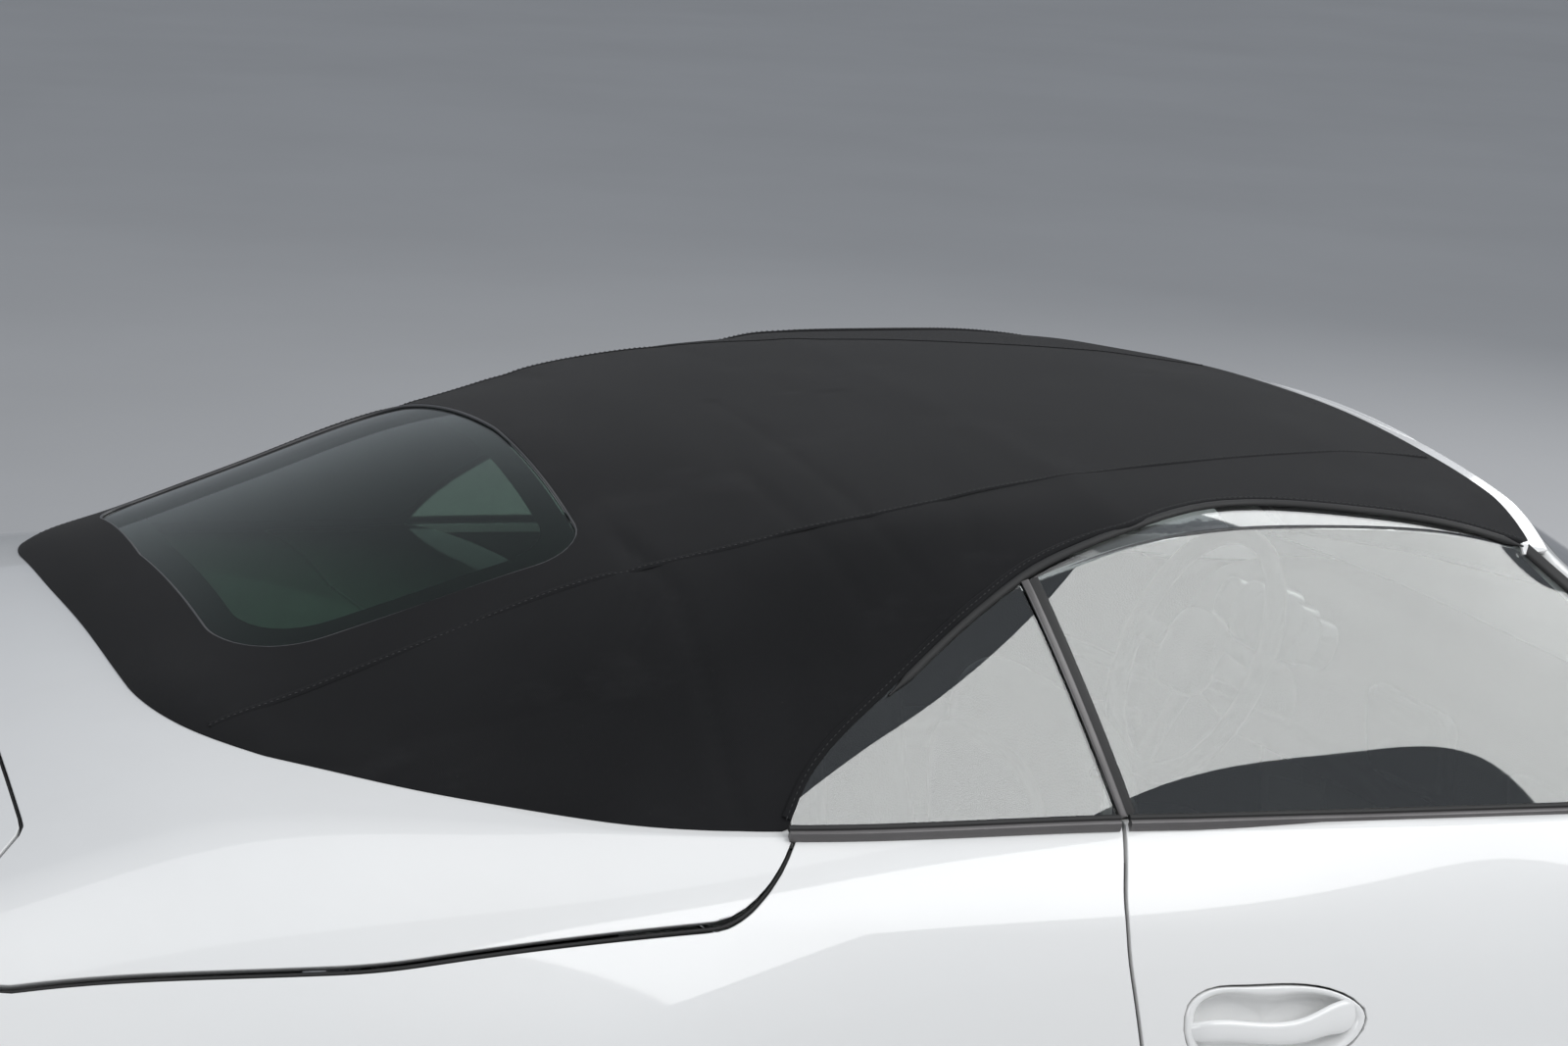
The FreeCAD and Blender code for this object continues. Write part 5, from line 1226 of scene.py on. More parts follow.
sealed = hem_line[:, 0] > REAR + 0.45
seal_path, seal_up = laid(roof_at, "side", hem_line[sealed], ROOF_RUNS, SIDE_TURNS, -0.0022)
seal_path = seal_path - hem_aside[sealed] * 0.0042 * inwards
count = np.arange(len(seal_path))
ends = np.clip(np.minimum(count, count[::-1]) / 3, 0.25, 1)
seal_section = ring_section(0.0052, 0.0048)[None] * ends[:, None, None]
seal = sweep(seal_path, seal_up, seal_section)
put("soft_top_seal", both(seal), "root", rubber, sharp=50)

# %% [markdown]
# The rear glass is a dark green pane that lies a little below the cloth. Its rim is
# printed black inside, wider at the lower corners, and a fine pale line runs round it.
# The side panes are light green. All lie 4 mm under the roof surface, as in the frame.

# %% Glass
def pane(turns, runs, rule):
    """Pane of the roof surface, a little under it."""
    return cut_panel(roof_at, runs, turns, rule, wall=0.005, lip=0.0006, depth=0.004)


WINDOW_RUNS = ROOF_RUNS[(ROOF_RUNS > 1.35) & (ROOF_RUNS < 2.12)]
MIDDLE_TURNS = ROOF_TURNS[(ROOF_TURNS > 1.6) & (ROOF_TURNS < 4.4)]
rear_window = pane(MIDDLE_TURNS, WINDOW_RUNS, drawn_in("plan", WINDOW_LINE, -0.0008))
put("rear_window_pane", rear_window, "root", dark_glass, ["rear_window"])
frit_in = drawn_in("plan", [(R + 168, -372, 50), (R + 182, 0, 0), (R + 168, 372, 50), (R - 168, 344, 100),
                            (R - 184, 0, 0), (R - 168, -344, 100)])
frit_rule = inside_all(drawn_in("plan", WINDOW_LINE, -0.002), outside(frit_in))
frit = cut_panel(roof_at, WINDOW_RUNS, MIDDLE_TURNS, frit_rule, wall=0.0008, lip=0.0003, depth=0.0096)
frit_black = finish("Black printed rim", (0.008, 0.008, 0.008), (0.014, 0.014, 0.014),
                    rough=(0.35, 0.5), scale=20.0,
                    grain_scale=800.0, grain_depth=0.00002)
put("rear_window_rim", frit, "root", frit_black)
window_outline = evenly_round(rounded(WINDOW_LINE, 10), 0.012)[:-1]
bead_path, bead_up = laid(roof_at, "plan", window_outline, WINDOW_RUNS, MIDDLE_TURNS, -0.0024)
bead = sweep(bead_path, bead_up, ring_section(0.0021, 0.0022, 8), loop=True)
put("rear_window_bead", bead, "root", moulding, sharp=60)

DOOR_GLASS = [(R + 749, 850, 0), (R + 612, 1240, 0), (F - 1060, 1240, 0), (F - 1050, 1180, 20),
              (F - 700, 900, 0), (F - 700, 850, 0)]
QUARTER_GLASS = [(R + 741, 850, 0), (R + 611, 1220, 0), (R + 500, 1220, 0), (R + 325, 960, 0),
                 (R + 325, 850, 0)]
GLASS_RUNS = np.linspace(0.0, 1.75, 160)
GLASS_TURNS = np.linspace(0.0, 1.6, 40)
below_hem = inside_all(outside(drawn_in("side", HEM_LINE, 0.0006)), lambda p: over_deck(p, 0.001))
door_pane, quarter_pane = (pane(GLASS_TURNS, GLASS_RUNS, inside_all(drawn_in("side", line), below_hem))
                           for line in (DOOR_GLASS, QUARTER_GLASS))
put("door_pane_left", door_pane, "door_left", side_glass, ["door_glass_left"])
put("door_pane_right", mirrored(door_pane), "door_right", side_glass, ["door_glass_right"])
put("quarter_panes", both(quarter_pane), "root", side_glass, ["quarter_glass"])


# %% [markdown]
# Many smaller pieces are turned on an axis, drawn out of rings, or rounded blocks. Three
# helpers make them: a profile turned round an axis, a chain of rings closed at both
# ends, and a block whose faces bulge softly (a superellipsoid). Points that coincide at
# a pole are made one, so that every piece is a closed skin.

# %% Turned, ringed and blocked forms
def welded(shell):
    """The same shell with coinciding points made one; a quad that loses a corner becomes a triangle."""
    p, q, t, n = shell
    _, first, back = np.unique(np.round(p, 6), axis=0, return_index=True, return_inverse=True)
    back = back.ravel()
    p, n, q, t = p[first], n[first], back[q], back[t].reshape(-1, 3)
    same = q == np.roll(q, -1, axis=1)
    cut, at = q[same.sum(1) == 1], same[same.sum(1) == 1].argmax(1)
    short = np.stack([cut[np.arange(len(cut)), (at + k) % 4] for k in (1, 2, 3)], -1)
    t = np.concatenate([t, short])
    whole = (t[:, 0] != t[:, 1]) & (t[:, 1] != t[:, 2]) & (t[:, 2] != t[:, 0])
    return p, q[same.sum(1) == 0], t[whole], n


def turned(profile, centre, steps=64, axis=(0, 1, 0), start=(1, 0, 0), loop=True):
    """Surface of revolution: every (radius, height) of the profile goes round the axis."""
    profile, axis, start = (np.asarray(part, float) for part in (profile, axis, start))
    angle = np.linspace(0, 2 * np.pi, steps, endpoint=False)
    spoke = start * np.cos(angle)[:, None] + np.cross(axis, start) * np.sin(angle)[:, None]
    points = np.asarray(centre) + spoke[:, None] * profile[None, :, :1] + axis * profile[None, :, 1:]
    return facing_out(welded(net(points, close_u=True, close_v=loop)))


def ringed(rings):
    """Closed shell through a chain of rings, each a closed loop of points, with flat ends."""
    rings = np.asarray(rings, float)
    ends = [rings[k].mean(0) + (rings[k] - rings[k].mean(0)) * 1e-4 for k in (0, -1)]
    return facing_out(welded(net(np.concatenate([[ends[0]], rings, [ends[1]]]), close_v=True)))


def block(centre, half, power=6.0, turn=None, count=24):
    """Superellipsoid |x/a|^n + |y/b|^n + |z/c|^n = 1: an oval for n = 2, a rounded box for a high n."""
    u = np.linspace(-np.pi / 2, np.pi / 2, count)[:, None]
    v = np.linspace(-np.pi, np.pi, 2 * count, endpoint=False)[None]
    shape = np.stack(np.broadcast_arrays(np.cos(u) * np.cos(v), np.cos(u) * np.sin(v), np.sin(u)), -1)
    size = (np.abs(shape) ** power).sum(-1, keepdims=True) ** (-1 / power)
    points = shape * size * np.asarray(half)
    if turn is not None:
        points = points @ np.asarray(turn).T
    return facing_out(welded(net(points + np.asarray(centre), close_v=True)))


def turn_about(axis, degrees):
    """Rotation matrix about a coordinate axis."""
    return np.array(Matrix.Rotation(math.radians(degrees), 3, axis))


def pipe(path, radius, steps=10):
    """Round tube along a path that has no sharp bend."""
    path = np.asarray(path, float)
    chord = path[-1] - path[0]
    up = np.cross(chord, [0.31, 0.52, 0.79])
    return sweep(path, up / np.linalg.norm(up), ring_section(radius, radius, steps))


def smooth_path(spots, step):
    """Even points along a natural cubic spline through some spots."""
    return evenly(curve_through(np.asarray(spots, float), 200), step)


# %% [markdown]
# Rubber seals close the gaps round the doors and lids a little below the skin, so that
# a shut line reads as one dark line. Each is a flattened tube carried along the shut
# line, narrower than the gap.

# %% Seals in the shut lines
DECK_TURNS = np.linspace(1.6, 6.4, 120)
FLANK_TURNS = np.linspace(0.05, 3.6, 110)


def gap_seal(view, corners, grow, keep, runs, turns, depth=0.010):
    """Seal below a closed shut line, where keep says so, for each unbroken stretch of it."""
    line = evenly_round(rounded(corners, 10), 0.012)
    area = (line[:-1, 0] * line[1:, 1] - line[1:, 0] * line[:-1, 1]).sum()
    line = beside(line, -grow if area > 0 else grow)
    inside = keep(line)
    start = int(np.argmin(inside)) if not inside.all() else 0
    line, inside = np.roll(line[:-1], -start, 0), np.roll(inside[:-1], -start)
    cuts = np.flatnonzero(np.diff(inside.astype(int))) + 1
    shells = []
    for part, on in zip(np.split(line, cuts), np.split(inside, cuts)):
        if on[0] and len(part) > 4:
            path, up = laid(body_at, view, part, runs, turns, -depth)
            shells.append(sweep(path, up, ring_section(0.0023, 0.0045, 10, 3.0)))
    return joined(shells)


COARSE_RUNS = np.linspace(0, BODY_RUN, 200)


def door_seal_here(q):
    """Where a door has its seal: below the glass, and not under the slab that swings across the sill."""
    under_hinge = (q[:, 0] > FRONT - 0.75) & (q[:, 1] < 0.30)
    return (q[:, 1] < 0.895) & ~under_hinge


door_seal = gap_seal("side", DOOR_LINE, 0.0032, door_seal_here, COARSE_RUNS, FLANK_TURNS)
put("door_seals", both(door_seal), "root", rubber, sharp=60)
lid_seals = [gap_seal("plan", BONNET_LINE, 0.0032, lambda q: q[:, 0] < NOSE + 1, COARSE_RUNS, DECK_TURNS),
             gap_seal("plan", ENGINE_LINE, 0.0032, lambda q: q[:, 0] > TAIL + 0.11, COARSE_RUNS, DECK_TURNS),
             gap_seal("plan", TOP_LID_LINE, 0.0032,
                      lambda q: (np.abs(q[:, 1]) > 0.776) | (q[:, 0] < REAR - 0.42), COARSE_RUNS, DECK_TURNS)]
put("lid_seals", joined(lid_seals), "root", rubber, sharp=60)

# %% [markdown]
# Inside each wheel arch a black liner keeps dirt off the body. It is a curved shell a
# little inside the arch's edge, from the chassis out to the skin.


# %% Wheel arch liners
def liner_shell(axle_x, axle_z, radius, y_in, wall=0.003):
    """Shell over one wheel: at each angle a thin rectangle between the inner wall and the skin."""
    angle = np.radians(np.linspace(-22, 202, 60))
    up = np.maximum(np.sin(angle), 0)
    x = np.where(np.sin(angle) < 0, axle_x + np.sign(np.cos(angle)) * radius, axle_x + np.cos(angle) * radius)
    z = np.where(np.sin(angle) < 0, axle_z + np.sin(angle) * radius, axle_z + up * radius)
    s, t = dropped(body_at, "side", np.stack([x, z], -1), COARSE_RUNS, FLANK_TURNS)
    y_out = body_at(s, t)[:, 1] - 0.0165
    out = np.stack([np.cos(angle), 0 * angle, up], -1)
    out /= np.linalg.norm(out, axis=1, keepdims=True)
    spots = np.stack([x, 0 * x, z], -1)
    rows = []
    for depth, y in ((0, y_in + 0 * y_out), (0, y_out), (wall, y_out), (wall, y_in + 0 * y_out)):
        rows.append(spots - out * depth + np.array([0, 1, 0]) * y[:, None])
    return ringed(np.stack(rows, 1))


AXLE_FRONT_Z, AXLE_REAR_Z = 0.3235, 0.328
liners = [liner_shell(FRONT, AXLE_FRONT_Z, ARCH_FRONT - 0.0005, 0.455),
          liner_shell(REAR, AXLE_REAR_Z, ARCH_REAR - 0.0005, 0.522)]
put("arch_liners", both(joined(liners)), "root", undercoat, sharp=40)

# %% [markdown]
# A wheel is turned: tyre, barrel, hub and brake disc are profiles turned round the
# axle. The tyre's tread is the same surface pushed in where a groove runs, so that it
# stays one closed skin. The ten spokes are short arms whose width and depth change from
# hub to rim.

# %% Wheels
RIM_SEAT = 0.2413
TREAD_BLOCKS = 68


def tyre_shell(radius, width, x, y, z, side):
    """Tyre: its profile turned, with grooves round it and slanted cuts across its tread.
    A groove's depth is d * (1 - (u / w)^4) inside its half width w, and 0 outside."""
    half = width / 2
    corner = [(RIM_SEAT + 0.0008, -half + 0.021), (RIM_SEAT + 0.010, -half + 0.016),
              (RIM_SEAT + 0.013, -half + 0.006), (RIM_SEAT + 0.022, -half + 0.0015), (RIM_SEAT + 0.034, -half),
              (radius - 0.040, -half + 0.0015), (radius - 0.026, -half + 0.0045), (radius - 0.015, -half + 0.010),
              (radius - 0.007, -half + 0.018), (radius - 0.0025, -half + 0.029)]
    edge = spline(np.arange(len(corner), dtype=float), np.array(corner))(np.linspace(0, len(corner) - 1, 14))
    grooves = np.array([-0.30, -0.10, 0.10, 0.30]) * width
    flat = np.sort(np.concatenate([[-half + 0.038, 0.0, half - 0.038]]
                                  + [g + np.array([-0.0052, -0.0040, 0.0, 0.0040, 0.0052]) for g in grooves]))
    crown_r = radius - 0.0011 * (flat / (half - 0.03)) ** 2
    outer = np.concatenate([edge, np.stack([crown_r, flat], -1), (edge * [1, -1])[::-1]])
    steps = TREAD_BLOCKS * 4
    angle = np.linspace(0, 2 * np.pi, steps, endpoint=False)
    r, h = np.broadcast_arrays(outer[None, :, 0], outer[None, :, 1])
    r = np.repeat(r, steps, 0)
    h = np.repeat(h, steps, 0)
    from_groove = np.abs(h[..., None] - grooves).min(-1)
    tread = (r > radius - 0.012).astype(float)
    groove = 0.007 * np.clip(1 - (from_groove / 0.0046) ** 4, 0, 1) * tread
    lean = np.abs(h) * 6.0 / radius
    phase = ((angle[:, None] + lean * 0.35) * TREAD_BLOCKS / (2 * np.pi)) % 1.0
    sipe = 0.0045 * (phase < 0.25) * (np.abs(h) > 0.12 * width) * tread
    r = r - np.maximum(groove, sipe)
    points = np.stack([x + r * np.cos(angle)[:, None], y + side * h, z + r * np.sin(angle)[:, None]], -1)
    return facing_out(net(points, close_u=True, close_v=True))


def barrel_shell(half, x, y, z, side):
    """Rim barrel with flanges, bead seats and well, turned round the axle."""
    seat, well = RIM_SEAT, RIM_SEAT - 0.020
    outer = [(seat + 0.009, half), (seat + 0.0095, half - 0.003), (seat + 0.009, half - 0.0065),
             (seat - 0.0002, half - 0.0095), (seat - 0.0002, half - 0.042), (well, half - 0.062),
             (well, -half + 0.048), (seat - 0.0002, -half + 0.028), (seat - 0.0002, -half + 0.0095),
             (seat + 0.009, -half + 0.0065), (seat + 0.009, -half)]
    inner = [(seat - 0.007, -half), (seat - 0.009, -half + 0.002), (seat - 0.009, -half + 0.024),
             (well - 0.009, -half + 0.044), (well - 0.009, half - 0.066), (seat - 0.009, half - 0.046),
             (seat - 0.010, half - 0.004), (seat - 0.006, half)]
    profile = np.array(outer + inner) * [1, side]
    return turned(profile, (x, y, z), 96)


def spokes_shell(half, x, y, z, side, count=10):
    """Spokes: at each share from hub to rim a rounded section, wider and flatter at both ends."""
    share = np.linspace(0, 1, 15)
    radius = 0.058 + (RIM_SEAT - 0.008 - 0.058) * share
    wide = 0.0135 + 0.006 * (1 - share) ** 3 + 0.0075 * share**5
    deep = 0.015 - 0.004 * share + 0.004 * share**6
    out = half - 0.024 - 0.016 * np.sin(np.pi * (1 - share) * 0.5) ** 2 + 0.004 * share
    section = ring_section(1.0, 1.0, 14, 3.2)
    shells = []
    for k in range(count):
        angle = 2 * np.pi * (k + 0.5) / count
        radial = np.array([np.cos(angle), 0, np.sin(angle)])
        around = np.array([-np.sin(angle), 0, np.cos(angle)])
        axle = np.array([0, side, 0])
        spine = radial * radius[:, None] + axle * (out - deep)[:, None]
        ring = (spine[:, None] + around * (section[None, :, :1] * wide[:, None, None])
                + axle * (section[None, :, 1:] * deep[:, None, None]))
        shells.append(ringed(ring + np.array([x, y, z])))
    return joined(shells)


def hub_shell(half, x, y, z, side):
    """Hub with the dish for the bolts and a plain cap."""
    face = half - 0.034
    profile = [(0.0301, -0.012), (0.0301, face - 0.004), (0.033, face), (0.036, face + 0.003), (0.044, face),
               (0.066, face - 0.002), (0.075, face - 0.008), (0.078, face - 0.020), (0.078, 0.018), (0.072, 0.016),
               (0.072, -0.012)]
    return turned(np.array(profile) * [1, side], (x, y, z), 80)


def disc_shell(x, y, z, side):
    """Vented brake disc: two rings and the slot between them."""
    profile = [(0.078, -0.012), (0.165, -0.012), (0.165, -0.003), (0.158, -0.003), (0.158, 0.007),
               (0.165, 0.007), (0.165, 0.016), (0.078, 0.016)]
    return turned(np.array(profile) * [1, side], (x, y, z), 96)


def cap_and_bolts(half, x, y, z, side):
    """Plain centre cap and five bolts, each turned with twelve sides."""
    face = half - 0.034
    cap = [(0.0, face + 0.0075), (0.018, face + 0.007), (0.029, face + 0.0045), (0.0325, face + 0.001),
           (0.0325, face - 0.012), (0.0, face - 0.012)]
    bolts = [turned(np.array(cap) * [1, side], (x, y, z), 48, loop=False)]
    for k in range(5):
        angle = 2 * np.pi * (k + 0.25) / 5
        spot = (x + 0.055 * np.cos(angle), y, z + 0.055 * np.sin(angle))
        head = [(0.0, face + 0.011), (0.0075, face + 0.011), (0.0085, face + 0.0095), (0.0085, face + 0.002),
                (0.011, face + 0.0005), (0.011, face - 0.006), (0.0, face - 0.006)]
        bolts.append(turned(np.array(head) * [1, side], spot, 12, loop=False))
    return joined(bolts)


disc_iron = finish("Brake disc", (0.46, 0.45, 0.44), (0.36, 0.34, 0.32), rough=(0.25, 0.42), scale=25.0,
                   grain_scale=900.0, grain_depth=0.00008, Metallic=1.0)
tyre_black = finish("Tyre rubber", (0.018, 0.018, 0.018), (0.028, 0.027, 0.026), rough=(0.7, 0.88), scale=6.0,
                    grain_scale=500.0, grain_depth=0.0003, dusty=0.25)
for end in ("front", "rear"):
    for side_name, side in (("left", 1), ("right", -1)):
        key = end + "_" + side_name
        body = "wheel_" + key
        at = *(float(v) for v in middle("tyre_" + key)), side
        low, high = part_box("tyre_" + key)
        radius, width = float(high.z - low.z) / 2, float(high.y - low.y)
        half = width / 2 - 0.010
        tyre = tyre_shell(radius - 0.0004, width - 0.001, *at)
        metal = joined([form(half, *at) for form in (barrel_shell, spokes_shell, hub_shell)])
        put("tyre_%s_tread" % key, tyre, body, tyre_black, ["tyre_" + key], sharp=38)
        put("rim_%s_spokes" % key, metal, body, alloy, ["rim_" + key], sharp=35)
        put("disc_" + key, disc_shell(*at), body, disc_iron, sharp=40)
        put("bolts_" + key, cap_and_bolts(half, *at), body, chrome, sharp=30)


# %% [markdown]
# A headlamp is a silver bowl with a projector lens in it, under a clear cover that goes
# on with the wing's own surface. The bowl starts on the oval where the cover ends and
# shrinks towards its floor along the lamp's axis.

# %% Headlamps
VIEWS["lamp"] = np.stack([LAMP_ALONG, LAMP_ACROSS], 1)
LAMP_RUNS = runs_between(FRONT + 0.30, NOSE - 0.05)
LAMP_TURNS = turns_between(0.8, 3.4)
around = np.linspace(0, 2 * np.pi, 72, endpoint=False)
oval_line = np.stack([np.cos(around) * (LAMP_SIZE[0] - 0.0030), np.sin(around) * (LAMP_SIZE[1] - 0.0030)], -1)
lamp_view_centre = LAMP_CENTRE @ VIEWS["lamp"]
oval_rim, _ = laid(body_at, "lamp", oval_line + lamp_view_centre, np.linspace(0.1, 1.4, 90),
                   np.linspace(1.0, 3.2, 60), -0.0045)
lamp_floor = oval_rim.mean(0) - LAMP_AXIS * 0.075


def bowl_rings(wall):
    """Rings from the rim to the floor: scale (1 - v^2)^(1/2) while the depth grows with v."""
    rings = []
    for v in np.linspace(0, 1, 14):
        centre = (oval_rim + (lamp_floor - oval_rim) * v**0.85).mean(0)
        flat_out = (oval_rim - oval_rim.mean(0)) * math.sqrt(max(1 - (0.90 * v) ** 2, 0))
        rings.append(centre + flat_out * (1 + wall * 9) - LAMP_AXIS * wall * (0.2 + v))
    return rings


bowl = ringed(bowl_rings(0.0)[::-1] + bowl_rings(0.003))
reflector = finish("Lamp reflector", (0.70, 0.71, 0.72), (0.62, 0.63, 0.64), rough=(0.12, 0.2), scale=14.0,
                   grain_scale=300.0, grain_depth=0.00003, Metallic=0.9)
put("headlamp_bowls", both(bowl), "root", reflector, sharp=50)
lens_spot = oval_rim.mean(0) - LAMP_AXIS * 0.040
lens_profile = [(0.0, 0.016), (0.014, 0.0145), (0.026, 0.009), (0.034, 0.0), (0.034, -0.004), (0.0, -0.004)]
ring_profile = [(0.034, -0.004), (0.0345, 0.002), (0.039, 0.006), (0.044, 0.004), (0.046, -0.006),
                (0.044, -0.030), (0.034, -0.030)]
projector_lens = turned(lens_profile, lens_spot, 48, LAMP_AXIS, LAMP_ALONG, loop=False)
projector_ring = turned(ring_profile, lens_spot, 48, LAMP_AXIS, LAMP_ALONG)
put("headlamp_lenses", both(projector_lens), "root", clear_cover, sharp=50)
put("headlamp_rings", both(projector_ring), "root", chrome, sharp=50)
lamp_cover = cut_panel(body_at, LAMP_RUNS, LAMP_TURNS, lambda p: oval(p) + 0.0006, 0.003, 0.0008)
put("headlamp_covers", both(lamp_cover), "root", clear_cover, ["headlamps"])

# %% Tail lamps
def tail_lamp_panel(inset, front_x, lid_gap, bumper_gap, **sizes):
    """Piece of the rear corner inside the lamp's outline, between the lid and the bumper, on both sides."""
    rule = inside_all(drawn_in("rear", TAIL_LAMP_LINE, -inset), behind(front_x), beyond(engine_plan, lid_gap),
                      beyond(rear_bumper_side, bumper_gap))
    return both(body_panel(rule, (TAIL, TAIL + 0.28), (1.0, 4.0), **sizes))


tail_outer = tail_lamp_panel(0.0006, TAIL + 0.2745, HOLE, SEAM, wall=0.004, lip=0.0008)
tail_inner = tail_lamp_panel(0.004, TAIL + 0.270, 0.008, 0.004, wall=0.012, depth=0.009)
put("tail_lamp_covers", tail_outer, "root", red_cover, ["tail_lamps"])
lamp_back = finish("Lamp back", (0.75, 0.12, 0.10), (0.62, 0.08, 0.07), rough=(0.25, 0.35), scale=60.0,
                   grain_scale=160.0, grain_depth=0.0006)
put("tail_lamp_backs", tail_inner, "root", lamp_back)

# %% [markdown]
# The air inlets in the nose have black slats that follow the bumper's shape a little
# inside it, with a black duct behind them.

# %% Inlets, plates and louvre tray
duct_rule = inside_all(lambda p: inlets(p) - 0.006, ahead(NOSE - 0.35))
ducts = body_panel(duct_rule, (NOSE - 0.36, NOSE), (-1.0, 9.0), wall=0.004, depth=0.050)
put("inlet_ducts", ducts, "root", undercoat)
NOSE_RUNS = np.linspace(-0.02, 0.7, 90)


def slat(height, low, high, turns, count, thick):
    """Level slat between two places across the nose, a little inside the bumper's surface."""
    line = np.stack([np.linspace(low, high, count), np.full(count, height)], -1)
    path, up = laid(body_at, "rear", line, NOSE_RUNS, turns, -0.026)
    return sweep(path, up, ring_section(thick, 0.011, 10, 3.0))


LEFT_TURNS, ALL_ROUND = np.linspace(-0.6, 3.2, 110), np.linspace(-1.0, 9.0, 260)
side_slats = [slat(height, low, high, LEFT_TURNS, 26, 0.0045)
              for height, low, high in ((0.270, 0.275, 0.575), (0.300, 0.285, 0.592), (0.330, 0.290, 0.604),
                                        (0.360, 0.298, 0.590), (0.386, 0.330, 0.570))]
middle_slats = [slat(height, -half, half, ALL_ROUND, 40, 0.0040)
                for height, half in ((0.245, 0.192), (0.268, 0.198), (0.291, 0.203), (0.314, 0.207))]
put("inlet_slats", joined([both(joined(side_slats)), *middle_slats]), "root", trim, sharp=60)
plate_rear = inside_all(drawn_in("rear", [(-260, 452, 12), (-260, 562, 12), (260, 562, 12), (260, 452, 12)]),
                        behind(TAIL + 0.3))
plate_white = finish("Blank plate", (0.74, 0.74, 0.73), (0.70, 0.70, 0.69), rough=(0.3, 0.4), scale=8.0,
                     grain_scale=500.0, grain_depth=0.00003)
put("blank_rear_plate", body_panel(plate_rear, (TAIL, TAIL + 0.1), (-0.9, 8.9), wall=0.003, depth=-0.0032),
    "root", plate_white)


def tray(p):
    """Signed distance to the two plates under the lid's slots, seen from above."""
    return np.maximum(np.abs(p[..., 0] - (REAR - 0.64)) - 0.112, np.abs(np.abs(p[..., 1]) - 0.203) - 0.196)


louvre_tray = body_panel(inside_all(tray, ABOVE_FLOOR), (REAR - 0.80, REAR - 0.48), (2.0, 6.0), wall=0.003,
                         depth=0.0185)
put("louvre_tray", louvre_tray, "engine_lid", trim)

# %% [markdown]
# The windscreen is one face ruled between two arcs: the scuttle below, the header above.
# A point on it has a share u across, from -1 to 1 along the arc, and a share v up. The
# white frame is a ring with rounded edges along that face's border, a black seal lies
# inside it, and the glass fills the rest.


# %% Windscreen
def screen_at(u, v, depth=0.0):
    """Point on the screen: at height share v, the arc through both sides and the middle."""
    u, v, depth = np.broadcast_arrays(np.asarray(u, float), np.asarray(v, float), np.asarray(depth, float))
    low_mid, high_mid = np.array([FRONT - 0.396, 0, 0.905]), np.array([FRONT - 0.962, 0, 1.2335])
    low_side, high_side = np.array([FRONT - 0.690, 0.688, 0.897]), np.array([FRONT - 1.016, 0.600, 1.177])
    share = v[..., None]
    centre = low_mid + (high_mid - low_mid) * share
    side = low_side + (high_side - low_side) * share
    foot = side * [1, 0, 1]
    rise = centre - foot
    height = np.linalg.norm(rise, axis=-1)
    half = side[..., 1]
    radius = (half**2 + height**2) / (2 * height)
    lean = np.arcsin(np.clip(half / radius, -1, 1)) * u
    point = foot + rise / height[..., None] * (radius * np.cos(lean) - radius + height)[..., None]
    point = point + np.array([0, 1, 0]) * (radius * np.sin(lean))[..., None]
    return point + np.array([-0.45, 0, -0.89]) * depth[..., None]


def border(margin_u, low, high, corner, count=26):
    """Closed line of (u, v) round the screen: a rectangle with rounded corners."""
    u, v, r = 1 - margin_u, (low, high), corner
    sides = []
    for k, (cu, cv) in enumerate(((u - r, v[1] - r * 1.6), (-u + r, v[1] - r * 1.6), (-u + r, v[0] + r * 1.6),
                                  (u - r, v[0] + r * 1.6))):
        turn = np.linspace(0, np.pi / 2, 7) + k * np.pi / 2
        sides.append(np.stack([cu + r * np.cos(turn), cv + r * 1.6 * np.sin(turn)], -1))
    line = []
    for k in range(4):
        line.append(sides[k])
        share = np.linspace(0, 1, count)[1:-1, None]
        line.append(sides[k][-1] + (sides[(k + 1) % 4][0] - sides[k][-1]) * share)
    return np.concatenate(line)


def screen_ring(outer, inner, profile):
    """Closed ring between two borders; the profile gives (share from outer to inner, depth)."""
    profile = np.asarray(profile, float)
    uv = outer[:, None] + (inner - outer)[:, None] * profile[None, :, :1]
    points = screen_at(uv[..., 0], uv[..., 1], np.broadcast_to(profile[:, 1], uv.shape[:2]))
    return facing_out(net(points, close_u=True, close_v=True))


outer_border, inner_border = border(0.0, -0.03, 1.0, 0.03), border(0.078, 0.062, 0.9, 0.03)
frame_profile = [(0.0, 0.004), (0.03, 0.001), (0.10, 0.0), (0.5, -0.0005), (0.90, 0.0), (0.97, 0.001),
                 (1.0, 0.004), (1.0, 0.026), (0.96, 0.030), (0.5, 0.030), (0.04, 0.030), (0.0, 0.026)]
put("screen_frame_skin", screen_ring(outer_border, inner_border, frame_profile), "root", paint,
    ["windscreen_frame"], sharp=50)
seal_inner = border(0.090, 0.078, 0.888, 0.035)
seal_profile = [(-0.1, 0.0035), (0.05, 0.0012), (0.5, 0.0006), (0.9, 0.0020), (1.0, 0.0040), (1.0, 0.0130),
                (-0.1, 0.0130)]
put("screen_seal", screen_ring(inner_border, seal_inner, seal_profile), "root", rubber, sharp=50)
glass_u, glass_v = np.linspace(-0.918, 0.918, 50), np.linspace(0.066, 0.897, 24)
front_face, back_face = (screen_at(glass_u[:, None], glass_v[None], depth) for depth in (0.0045, 0.0100))


